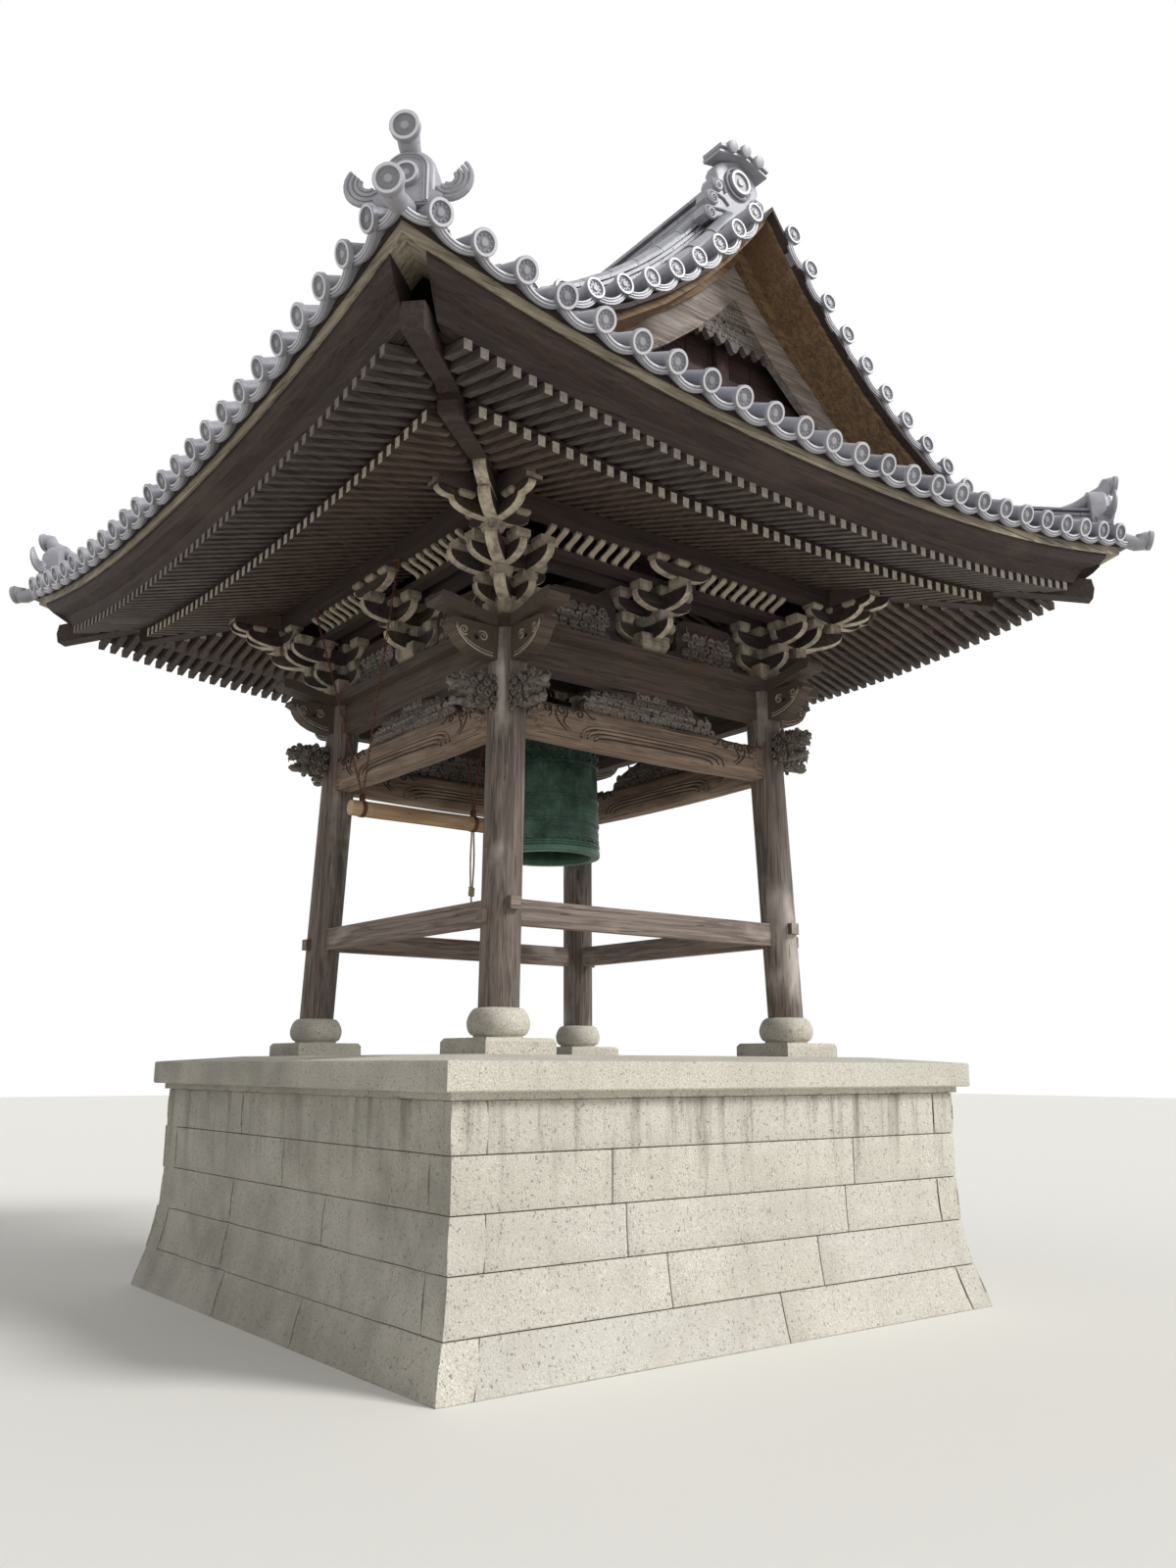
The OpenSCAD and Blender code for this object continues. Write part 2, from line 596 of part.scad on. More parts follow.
// The corner set is made for the near left corner and mirrored about its diagonal
module corner_half() {
  a = -line0;
  arm(a, a, reach + 20, reach, z_arm1, arm_h);
  for (s = [-1, 1]) block(a + s * step, a, z_arm1 + arm_h, block_w, block_h);
  arm(a, a, reach + step + 30, reach + 20, z_arm2, arm_h);
  arm(a - step, a - step, reach, reach, z_arm2, arm_h);
  block(a + step + 20, a, z_arm2 + arm_h, block_w, block_h);
  block(a - 2 * step, a, z_arm2 + arm_h, block_w, block_h);
  for (s = [-1, 1]) block(a - step + s * step, a - step, z_arm2 + arm_h, block_w, block_h);
  arm(-line2, -line2, reach + 60, reach, z_arm3, arm3_h);
  for (s = [-1, 1]) block(-line2 + s * step, -line2, z_arm3 + arm3_h, block_w, block3_h);
}
module corner_set() {
  a = -line0;
  diag = sqrt(2);
  corner_half();
  mirror([1, -1, 0]) corner_half();
  block(a, a, z_seat, great_w, great_h);
  for (i = [0, 1]) block(a - i * step, a - i * step, z_arm1 + arm_h, block_w, block_h);
  for (i = [0, 1, 2]) block(a - i * step, a - i * step, z_arm2 + arm_h, block_w, block_h);
  block(-line2, -line2, z_arm3 + arm3_h, block_w, block3_h);
  translate([a, a, 0]) rotate([0, 0, 45]) {
    arm(0, 0, diag * step + 70, 100, z_arm1, arm_h);
    arm(0, 0, diag * 2 * step + 80, 100, z_arm2, arm_h);
    arm(-diag * 2 * step, 0, 300, 100, z_arm3, arm3_h);
  }
}
module corner_brackets() { color("Khaki") four() corner_set(); }

// Carved panels between the brackets, standing on the plates under the second arms
module frieze_carving() {
  low = z_seat + fit;
  high = z_arm2 + arm_h - 30;
  left = great_w / 2 + 25;
  right = line0 - great_w / 2 - 25;
  w = right - left;
  inner = left + 130;
  outer = right - 130;
  difference() {
    plank([[left + 10, low], [right - 10, low], [right, low + 60], [outer, low + 100], [outer + 4, high - 60],
      [outer - 70, high - 10], [(inner + outer) / 2, high], [inner + 70, high - 10], [inner - 4, high - 60],
      [inner, low + 100], [left, low + 60]], 46, -line0);
    for (t = [0.36, 0.5, 0.64]) translate([left + w * t, -line0, low + (t == 0.5 ? 120 : 70)])
      rotate([90, 0, 0])
      cylinder(r = 26, h = 60, center = true, $fn = 24);
  }
}
module frieze_carvings() { color("DarkSlateGray")
  four() { frieze_carving(); mirror([1, 0, 0]) frieze_carving(); } }

// Purlins: the front and back bars run through, and the side bars butt on them
module purlin_ring(line, low, h, w, out) {
  two() {
    box([-line - out, -line - w / 2, low], [line + out, -line + w / 2, low + h]);
    box([-line - w / 2, -line + w / 2 + fit, low], [-line + w / 2, line - w / 2 - fit, low + h]);
    if (out > w) for (s = [0, 1]) mirror([0, s, 0])
      box([-line - w / 2, -line - out, low], [-line + w / 2, -line - w / 2 - fit, low + h]);
  }
}
wall_purlin_h = 120;
step_purlin_h = 40;
module wall_purlins() { color("Maroon") purlin_ring(line0, z_arm3, wall_purlin_h, purlin_w, 58); }
module step_purlins() { color("Brown") purlin_ring(line1, z_arm3, step_purlin_h, 90, 45); }
purlin_out = 435;
module eave_purlins() { color("Sienna") purlin_ring(line2, z_eave, purlin_h, purlin_w, purlin_out); }

// Curved ribs that spring from the step purlin to the eave purlin
module rib(x) {
  low = z_arm3 + step_purlin_h + fit;
  high = z_eave - fit;
  foot = line1 + 40;
  head = line2 - 22;
  t = 26;
  curve = [for (k = [0 : 0.2 : 1]) [foot + (head - foot) * (k - 0.16 * sin(360 * k)),
    low + (high - low) * k]];
  outline = concat(curve, [for (i = [len(curve) - 1 : -1 : 0]) [curve[i][0] - t - 16, curve[i][1]]]);
  translate([x, 0, 0]) rotate([90, 0, 90]) linear_extrude(26, center = true)
    polygon([for (p = outline) [-p[0], p[1]]]);
}
rib_first = 350;
rib_last = line1 - step - block_w / 2 - 42;
module rib_row() {
  for (s = [-1, 1]) for (i = [0 : rib_n - 1]) rib(s * (rib_first + (rib_last - rib_first) * i / (rib_n - 1)));
}
module ribs_front_back() { color("Wheat") two() rib_row(); }
module ribs_sides() { color("Wheat") two() rotate([0, 0, 90]) rib_row(); }

// Rafters. The base rafters lie on the eave purlin and turn up towards the corners.
hip_clear = hip_w / 2 * sqrt(2) + rafter_w / 2 + 8;
base_n = 2 * floor((base_end - hip_clear - rafter_w) / rafter_pitch);
fly_n = 2 * floor((fly_end - hip_clear - rafter_w) / rafter_pitch);
rafter_in = line0 - 190;
pivot = line2 + purlin_w / 2;
// Undersides of the rafters at their ends, over x along the eave
function base_tip(x) = z_rafter - base_drop + rise(base_end, x);
function base_under(x, y) = z_rafter + fit + (base_tip(x) - z_rafter) * (y - pivot) / (base_end - pivot);
sill_h = 22;
deck_t = 12;
fly_in = base_end - 330;
sill_back = 55;
// A rafter is level across its width, so what lies on it takes the height half a width further out
function sill_under(x, y) = base_under(x + rafter_w / 2, y) + rafter_h;
function sill_z(x) = sill_under(x, base_end - sill_back);
function fly_tip(x) = sill_z(x) + sill_h - fly_drop + rise(fly_end, x) - rise(base_end, x);
function fly_under(x, y) = let (pin = base_end - sill_back, z = sill_z(x) + sill_h + 2 * fit)
  z + (fly_tip(x) - z) * (y - pin) / (fly_end - pin);
module base_rafter(x) {
  over_purlin = abs(abs(x) - line2) < (purlin_w + rafter_w) / 2 + 3;
  start = max(rafter_in, abs(x) + hip_clear, over_purlin ? line2 + purlin_out + 6 : 0);
  translate([x, 0, 0]) rotate([90, 0, 90]) linear_extrude(rafter_w, center = true) polygon([
    [-start, base_under(abs(x), start)], [-base_end, base_under(abs(x), base_end)],
    [-base_end, base_under(abs(x), base_end) + rafter_h], [-start, base_under(abs(x), start) + rafter_h]]);
}
module flying_rafter(x) {
  start = max(fly_in, abs(x) + hip_clear);
  translate([x, 0, 0]) rotate([90, 0, 90]) linear_extrude(rafter_w, center = true) polygon([
    [-start, fly_under(abs(x), start)], [-fly_end, fly_under(abs(x), fly_end)],
    [-fly_end, fly_under(abs(x), fly_end) + rafter_h - 6],
      [-start, fly_under(abs(x), start) + rafter_h - 6]]);
}
module base_row() { for (i = [0 : base_n - 1]) base_rafter((i - (base_n - 1) / 2) * rafter_pitch); }
module flying_row() { for (i = [0 : fly_n - 1]) flying_rafter((i - (fly_n - 1) / 2) * rafter_pitch); }
module base_rafters_front() { color("Peru") base_row(); }
module base_rafters_back() { color("Peru") rotate([0, 0, 180]) base_row(); }
module base_rafters_left() { color("Peru") rotate([0, 0, -90]) base_row(); }
module base_rafters_right() { color("Peru") rotate([0, 0, 90]) base_row(); }
module flying_rafters_front() { color("Chocolate") flying_row(); }
module flying_rafters_back() { color("Chocolate") rotate([0, 0, 180]) flying_row(); }
module flying_rafters_left() { color("Chocolate") rotate([0, 0, -90]) flying_row(); }
module flying_rafters_right() { color("Chocolate") rotate([0, 0, 90]) flying_row(); }

// Hip rafters on the diagonals: a base hip over the purlins' crossing and a flying hip on it
hip_base_end = base_end - 31;
hip_fly_end = fly_end + 12;
hip_h = 128;
hip_fly_h = 150;
module hip_rafter() {
  diag = sqrt(2);
  pin = line2 + purlin_w / 2 + hip_w / sqrt(8);
  z_in = z_rafter + fit;
  z_tip = base_tip(base_end) - 48;
  slope = (z_tip - z_in) / (base_end - pin);
  start = line0 - 60;
  function under(a) = z_in + slope * (a - pin);
  seat = fly_in - 60;
  function fly(a) = under(seat) + hip_h + (fly_tip(fly_end) - 70 - under(seat) - hip_h)
    * (a - seat) / (hip_fly_end - seat);
  rotate([0, 0, 45]) union() {
    plank([[-start * diag, under(start)], [-hip_base_end * diag, under(hip_base_end)],
      [-hip_base_end * diag - 14, under(hip_base_end) + hip_h * 0.5],
      [-hip_base_end * diag, under(hip_base_end) + hip_h], [-start * diag, under(start) + hip_h]], hip_w);
    plank([[-(seat - 60) * diag, under(seat) + hip_h - 40],
      [-hip_base_end * diag, under(hip_base_end) + hip_h - 20],
      [-(hip_base_end + 60) * diag, fly(hip_base_end + 60)], [-hip_fly_end * diag, fly(hip_fly_end)],
      [-hip_fly_end * diag - 16, fly(hip_fly_end) + hip_fly_h * 0.5],
      [-hip_fly_end * diag, fly(hip_fly_end) + hip_fly_h],
        [-(seat - 60) * diag, fly(seat - 60) + hip_fly_h]], hip_w);
  }
}
module hip_rafters() { color("Olive") four() hip_rafter(); }

// Long boards that follow the eaves: a section of [y, z] offsets carried along x
function along(end) = [for (i = [-9 : 9]) end * sin(10 * i)];
module eave_run(end, section) {
  loft([for (x = along(end)) [for (p = section(x)) [x, p[0], p[1]]]]);
}
module flying_sills() {
  half = base_end - sill_back - hip_clear;
  front = base_end - 6;
  back = base_end - sill_back;
  color("Black") four() loft([for (x = along(half)) let (u = abs(x), v = max(0, u - rafter_w / 2))
    [[x, -front, sill_under(u, front) + fit], [x, -back, sill_under(u, back) + fit],
     [x, -back, fly_under(v, back) - 3 * fit], [x, -front, fly_under(v, front) - 3 * fit]]]);
}
fascia_back = 95;
function fly_top(x, y) = fly_under(x + rafter_w / 2, y) + rafter_h - 6;
// A hollowed fascia on the flying rafters' ends, leaning out to the eave board. Its stations lie on
// the board's columns, and its top follows the board's underside.
module eave_fascias() {
  back = fly_end - fascia_back;
  last = 1 - hip_clear / back;
  inner = [for (t = cols) if (abs(t) < last - 0.02) t];
  function section(t) = let (high = board_under(t * (board_edge - 22), board_edge - 22) - 2 * fit,
      top = board_under(t * board_in, board_in) - 2 * fit, foot = fly_top(abs(t) * fly_end, fly_end) + 2
        * fit, h = high - foot)
    [[fly_end - 24, foot + 7], [back, fly_top(abs(t) * back, back) + 2 * fit], [back, top],
      [board_edge - 22, high],
     [board_edge - 26, high - h * 0.14], [board_edge - 62, high - h * 0.36], [fly_end + 24, high - h * 0.55],
     [fly_end - 14, foot + h * 0.16]];
  color("DarkRed") four() loft([for (t = concat([-last], inner, [last]))
    [for (p = section(t)) [t * p[0], -p[0], p[1]]]], mirrored = true);
}
// The eave board carries the edge of the tiles; it is mitred at the corners
function board_foot(t, a) = roof_z(t * a, a) - shell_t - board_t;
// Height of its underside at a place along the eave, on the facet that holds the place
function board_under(x, y) = let (t = min(1, abs(x) / y), i = min(col_n - 1, floor(asin(t) * col_n / 90)),
    t0 = col(i), t1 = col(i + 1), k = (y - board_in) / (board_edge - board_in),
    f1 = (t - t0) * y / (t1 - t0) / board_edge,
      f0 = (t * y - t0 * board_in - k * t1 * (board_edge - board_in))
      / (t1 - t0) / board_in)
  f1 <= k ? board_foot(t0, board_in) + k * (board_foot(t0, board_edge) - board_foot(t0, board_in))
      + f1 * (board_foot(t1, board_edge) - board_foot(t0, board_edge))
    : board_foot(t0, board_in) + f0 * (board_foot(t1, board_in) - board_foot(t0, board_in))
      + k * (board_foot(t1, board_edge) - board_foot(t1, board_in));
module eave_boards() {
  edges = [board_in, board_edge];
  color("Moccasin") four() slab(
    [for (a = edges) [for (t = cols) [t * (a - fit), -a, roof_z(t * a, a) - shell_t - fit]]],
    [for (a = edges) [for (t = cols) [t * (a - fit), -a, roof_z(t * a, a) - shell_t - board_t]]]);
}

// Thin decks over the rafters, stopping short of the hips
deck_gap = 0.8;
deck_cols = [for (i = [-7 : 7]) sin(90 * i / 7)];
module deck(rows, top) {
  slab([for (r = rows) [for (t = deck_cols) let (x = (r - hip_clear + 20) * t) [x, -r, top[0](abs(x), r)]]],
    [for (r = rows) [for (t = deck_cols) let (x = (r - hip_clear + 20) * t) [x, -r, top[1](abs(x), r)]]]);
}
module base_decks() {
  top = function(x, y) sill_under(x, y) + deck_gap + fit + deck_t;
  low = function(x, y) sill_under(x, y) + deck_gap + fit;
  edge = line2 + purlin_w / 2 + 3;
  // the side purlins' ends come up through the deck
  color("DarkGoldenrod") four() difference() {
    deck([rafter_in, line2, (line2 + base_end) / 2, base_end - sill_back - 8], [top, low]);
    for (x = [-line2, line2]) box([x - purlin_w / 2 - 3, -line2 - purlin_out - 4, z_eave],
      [x + purlin_w / 2 + 3, -edge + 6, z_rafter + 60]);
  }
}
module flying_decks() {
  top = function(x, y) fly_top(x, y) + deck_gap + deck_t;
  low = function(x, y) fly_top(x, y) + deck_gap;
  color("GoldenRod") four() deck([fly_in, base_end, fly_end - fascia_back - 8], [top, low]);
}

// The roof: two main slopes up to the ridge, and a skirt under each gable
module roof_slopes() {
  color("SlateGray") for (s = [0, 1]) mirror([s, 0, 0]) slab(
    [for (a = slope_rows) [for (t = cols) let (y = t * max(verge, a)) [-a - fit / 2, y, slope_z(a, y)]]],
    [for (a = slope_rows) [for (t = cols)
      let (y = t * max(verge, a)) [-a - fit / 2, y, slope_z(a, y) - shell_t]]]);
}
module roof_skirts() {
  rows = [[skirt_in, skirt_in - skirt_back], [barge_y, barge_y - skirt_back],
    [verge + fit, verge + fit - skirt_back],
    [verge + fit + 1, verge + 1], [board_in, board_in - fit], [board_edge, board_edge - fit],
      [roof_half, roof_half - fit]];
  color("LightSlateGray") two() slab(
    [for (r = rows) [for (t = cols) [t * r[1], -r[0], roof_z(t * r[1], r[0])]]],
    [for (r = rows) [for (t = cols) [t * r[1], -r[0], roof_z(t * r[1], r[0]) - shell_t]]]);
}
// Height of a skirt along one of its rows, and over its upper part
function skirt_row(x, a) = let (w = a - skirt_back, s = min(1, abs(x) / w), k = asin(s) * col_n / 90,
    i = min(col_n - 1, floor(k)), f = (s - col(i)) / (col(i + 1) - col(i)))
  mix(roof_z(col(i) * w, a), roof_z(col(i + 1) * w, a), f);
function skirt_z(x) = skirt_row(x, skirt_in);
function skirt_top(x, y) = mix(skirt_z(x), skirt_row(x, barge_y), (y - skirt_in) / (barge_y - skirt_in));

// Rows of round tiles. Their feet follow the bed's own facets, whose height is found here from the four
// corners
// of the facet pair that holds a point and the diagonal between its two triangles
function bed_z(a, y, rows, w, z) = let (
  i = max([for (k = [0 : len(rows) - 2]) if (rows[k] <= a) k]), f = (a - rows[i]) / (rows[i + 1] - rows[i]),
  w0 = w(rows[i]), w1 = w(rows[i + 1]), wide = mix(w0, w1, f), s = min(1, abs(y) / wide),
  j = min(col_n - 1, floor(asin(s) * col_n / 90 + 0.001)),
  near0 = z(rows[i], col(j) * w0), far1 = z(rows[i + 1], col(j + 1) * w1),
  cross_y = mix(col(j) * w0, col(j + 1) * w1, f), cross_z = mix(near0, far1, f))
  abs(y) < cross_y
    ? mix(mix(near0, z(rows[i + 1], col(j) * w1), f), cross_z,
      (abs(y) - col(j) * wide) / max(0.01, cross_y - col(j) * wide))
    : mix(cross_z, mix(z(rows[i], col(j + 1) * w0), far1, f),
        (abs(y) - cross_y) / max(0.01, col(j + 1) * wide - cross_y));
slope_width = function(a) max(verge, a);
slope_height = function(a, y) slope_z(a, y);
skirt_rows = [skirt_in, barge_y, verge + fit, verge + fit + 1, board_in, board_edge, roof_half];
skirt_width = function(a) a < verge + 1 ? a - skirt_back : a - fit;
skirt_height = function(a, y) roof_z(y, a);
disc_t = 24;
corner_clear = side_ridge_w / sqrt(2) + roll_w / 2 + 12;
roll_n = floor((roof_half - disc_d) / tile_pitch);
roll_low = roof_half - disc_t - fit;
// A row's section: the round tiles' arch, chamfered
roll_arch = [[1, 0], [0.94, 0.52], [0.5, 1]];
roll_section = concat([for (p = roll_arch) [p[0] * roll_w / 2, p[1] * roll_h]],
  [for (i = [len(roll_arch) - 1 : -1 : 0]) [-roll_arch[i][0] * roll_w / 2, roll_arch[i][1] * roll_h]]);
function short_row(ends, y) = len(ends) < 4 && abs(y) < verge_ridge_y - side_ridge_w / 2 - roll_w / 2 - 10;
// How far the bed's creases stand over a row's foot between two stations, where the foot is level across or
// folds along one diagonal
function foot_fold(l, r, e, f) = e + f <= 1 ? l[0] + e * (r[0] - l[0]) + f * (l[1] - l[0])
  : r[1] + (1 - e) * (l[1] - r[1]) + (1 - f) * (r[0] - r[1]);
function stand(ends, y, foot) = max([for (i = [0 : len(ends) - 2]) let (w = roll_w / 2,
  l = [for (k = [0, 1]) foot(ends[i + k], y - w)], r = [for (k = [0, 1]) foot(ends[i + k], y + w)])
  for (e = [0 : 0.25 : 1], f = [0 : 1 / 20 : 1]) foot(mix(ends[i], ends[i + 1], f), y + (2 * e - 1) * w)
    - (short_row(ends, y) ? mix(max(l[0], r[0]), max(l[1], r[1]), f) : foot_fold(l, r, e, f))]);
// A row at y along the eave from its upper end to its lower one, over a bed that foot(a, y) gives: short rows
// are made of straight lengths, long ones follow the bed from row to row
module tile_roll(y, upper, lower, rows, foot) {
  w = roll_w / 2;
  ends = concat([upper], [for (a = rows) if (a > upper + 20 && a < lower - 20 && a < verge + 0.5) a],
    [lower]);
  lift = stand(ends, y, foot) + 1.5 * fit;
  function seat(a) = max(foot(a, y - w), foot(a, y + w)) + lift;
  if (short_row(ends, y)) difference() {
    union() for (i = [0 : len(ends) - 2]) let (
      run = ends[i + 1] - ends[i], fall = seat(ends[i]) - seat(ends[i + 1]),
        past = i == len(ends) - 2 ? roll_h : 2)
      translate([y, -ends[i], seat(ends[i])]) rotate([90 + atan(fall / run), 0, 0])
        linear_extrude(norm([run, fall]) + past) polygon(roll_section);
    translate([y - roll_w, -lower - 2 * roll_h, seat(lower) - roll_h])
      cube([2 * roll_w, 2 * roll_h, 3 * roll_h]);
  }
  else loft([for (a = ends) let (top = roll_h + lift + (foot(a, y - w) + foot(a, y + w)) / 2)
    [[y - w, -a, foot(a, y - w) + lift], [y - w * 0.6, -a, top], [y + w * 0.6, -a, top],
      [y + w, -a, foot(a, y + w) + lift]]]);
}
// The disc stands on the bed where it first touches it
module end_disc(y, foot) {
  r = disc_d / 2;
  high = max([for (e = [-1 : 1 / 8 : 1]) foot(roll_low, y + e * r) + r * sqrt(1 - e * e)]);
  translate([y, -roll_low, high + fit]) rotate([90, 0, 0]) cylinder(r = r, h = disc_t);
}
module slope_tile_rolls() {
  foot = function(a, y) bed_z(a, y, slope_rows, slope_width, slope_height);
  color("DarkSlateGray") two() rotate([0, 0, 90]) {
    for (k = [-roll_n : roll_n]) let (y = k * tile_pitch, d = abs(y),
      upper = d < verge_ridge_y - side_ridge_w / 2 - roll_w / 2 - 10 ? ridge_w / 2 + 15 : d < verge_ridge_y
        ? verge_ridge_out + 55 : d + corner_clear) union() {
      if (roll_low - upper > roll_w / 2) tile_roll(y, upper, roll_low, slope_rows, foot);
      end_disc(y, foot);
    }
    // the roll beside the verge, over the inner ends of the tiles that lie across the slope
    for (s = [-1, 1]) tile_roll(s * (verge_ridge_y + side_ridge_w / 2 + roll_w / 2 + 43), ridge_w / 2 + 15,
      corner_ridge_in - 130, slope_rows, foot);
  }
}
// Under the gable a row starts at the wall, at the bargeboard's foot or past the verge, as the space over
// it allows
function under_barge(x) = x < barge_half && barge_low(x) > skirt_top(x, barge_y - barge_t) + roll_h + 8;
function under_verge(x) = x < barge_half && under_slope(x, barge_y) - verge_board_t > skirt_row(x, barge_y)
  + roll_h + 8;
module skirt_tile_rolls() {
  foot = function(a, y) bed_z(a, y, skirt_rows, skirt_width, skirt_height);
  color("SlateGray") two() for (k = [-roll_n : roll_n]) let (x = k * tile_pitch, d = abs(x) + roll_w / 2,
    upper = under_barge(d) ? gable_y + 12 : under_verge(d) ? barge_y + 12
      : max(verge + 20, abs(x) + corner_clear)) union() {
    if (roll_low - upper > roll_w / 2) tile_roll(x, upper, roll_low, [verge], foot);
    end_disc(x, foot);
  }
}

// Gables: a boarded wall, curved bargeboards, boards under the verge, and a carved pendant
function under_slope(a, y) = slope_top(a, y) - crease(a, y) - shell_t - fit;
function both(pts) = concat(pts,
  [for (i = [len(pts) - 1 : -1 : 0]) if (pts[i][0] > 0.01) [-pts[i][0], pts[i][1]]]);
module gable_walls() {
  low = [for (i = [0 : 8]) let (x = min(gable_half, col(i) * (skirt_in - skirt_back))) [x, skirt_z(x) + fit]];
  edge = concat(low, [for (a = stations(fit, gable_half)) [a, under_slope(a, skirt_in)]]);
  top = [for (a = stations(fit, gable_half)) [a, under_slope(a, skirt_in)]];
  right = concat([for (i = [0 : len(low) - 1]) low[i]], [for (i = [len(top) - 1 : -1 : 0]) top[i]]);
  color("SaddleBrown") two() difference() {
    plank(concat(right, [for (i = [len(right) - 1 : -1 : 0]) [-right[i][0], right[i][1]]]), gable_t,
      -gable_y + gable_t / 2);
    box([-fit / 2, -gable_y - 1, top[0][1] + 2], [fit / 2, -gable_y + gable_t + 1, top[0][1] + 100]);
  }
}
// The bargeboard leaves the roof's underside towards the apex, and a filler takes up the space
barge_t = 62;
barge_half = 0.73 * verge;
barge_gap = 200;
verge_board_t = 48;
function barge_top(a) = under_slope(a, gable_y)
  - max(26, barge_gap * (1 - 1.22 * a / 1000 + 0.25 * a * a / 1e6));
function barge_low(a) = max(barge_top(a) - barge_h * (1 - 0.3 * min(1, a / barge_half)),
  skirt_top(a, barge_y - barge_t) + 4);
module bargeboards() {
  xs = stations(0.2, barge_half);
  outline = concat([for (a = xs) [a, barge_top(a)]],
    [for (i = [len(xs) - 1 : -1 : 0]) [xs[i], barge_low(xs[i])]]);
  color("Gainsboro") two() for (s = [0, 1]) mirror([s, 0, 0]) plank(outline, barge_t, -barge_y + barge_t / 2);
}
// Under the verge: a filler over the bargeboard, and a board out to near the edge of the tiles
module verge_boards() {
  xs = stations(0.2, barge_half);
  inner = gable_y + fit;
  outer = barge_y + 50;
  edge = verge - 60;
  function strip(y, low) = concat([for (a = xs) [a, under_slope(a, y)]],
    [for (i = [len(xs) - 1 : -1 : 0]) [xs[i], low[i]]]);
  filler = strip(gable_y, [for (a = xs) max(barge_top(a) + fit, skirt_top(a, gable_y) + 4)]);
  board = strip(barge_y, [for (a = xs) under_slope(a, gable_y) - verge_board_t]);
  color("Tan") two() for (s = [0, 1]) mirror([s, 0, 0]) union() {
    plank(filler, outer - inner, -(outer + inner) / 2);
    plank(board, edge - barge_y - fit, -(edge + barge_y + fit) / 2);
  }
}
pendant_half = 330;
pendant_t = 44;
// Its waved lower edge, as shares of its half width and of its depth below the bargeboard
pendant_wave = [[0.98, -0.05], [0.92, -0.02], [0.86, 0.1], [0.78, 0.06], [0.7, -0.06], [0.62, -0.03],
  [0.55, 0.1],
  [0.47, 0.07], [0.38, -0.08], [0.3, -0.04], [0.22, 0.08], [0.14, 0.03], [0.07, -0.12], [0, -0.17]];
module gable_pendants() {
  depth = barge_low(0) - barge_low(pendant_half);
  low = barge_low(pendant_half) - pendant_t / 3;
  hole = pendant_half * 0.06;
  xs = stations(0.2, pendant_half);
  right = concat([for (a = xs) [a, barge_low(a) - fit]],
    [for (p = pendant_wave) [p[0] * pendant_half, low + p[1] * depth]]);
  color("DarkGray") two() difference() {
    plank(concat(right, [for (i = [len(right) - 2 : -1 : 0]) [-right[i][0], right[i][1]]]), pendant_t,
      -barge_y + barge_t / 2);
    for (s = [-1, 1]) translate([s * hole * 4.8, -barge_y, low + depth * 0.45])
      rotate([90, 0, 0]) cylinder(r = hole, h = 4 * pendant_t, center = true, $fn = 24);
  }
}

// Ridges: stacked flat tiles that narrow upwards under a round cap
function ridge_section(w, h) = [[-w / 2, 0], [w / 2, 0], [w / 2 - 6, h * 0.3], [w / 2 - 18, h * 0.32],
  [w / 2 - 22, h * 0.6],
  [w / 2 - 8, h * 0.63], [w / 2 - 8, h * 0.72], [w * 0.28, h * 0.76], [w * 0.28, h * 0.88], [w * 0.16, h],
    [-w * 0.16, h],
  [-w * 0.28, h * 0.88], [-w * 0.28, h * 0.76], [-w / 2 + 8, h * 0.72], [-w / 2 + 8, h * 0.63],
  [-w / 2 + 22, h * 0.6], [-w / 2 + 18, h * 0.32], [-w / 2 + 6, h * 0.3]];
ridge_end_y = max(barge_y - 30, verge_ridge_y + side_ridge_w / 2 + 2);
module main_ridge() {
  ys = [for (i = [-6 : 6]) (ridge_end_y - fit) * i / 6];
  w = ridge_w / 2;
  foot = slope_top(w, 0) + fit;
  apex = profile(0) + fit;
  color("DimGray")
    loft([for (y = ys) let (h = ridge_h + 30 * pow(y / ridge_end_y, 2), s = ridge_section(ridge_w, h))
    concat([[0, y, apex]], [for (i = [0 : len(s) - 1]) [-s[(i + 1 + len(s)) % len(s)][0], y,
      s[(i + 1) % len(s)][1] == 0 ? foot : apex + s[(i + 1) % len(s)][1]]])]);
}
// An outline given for one side in units of a tenth of a ridge's height, over its foot at z
function in_units(side, u, z) = let (right = [for (p = side) [p[0] * u, z + p[1] * u]])
  concat(right, [for (i = [len(right) - 1 : -1 : 0]) if (right[i][0] > 0.01) [-right[i][0], right[i][1]]]);
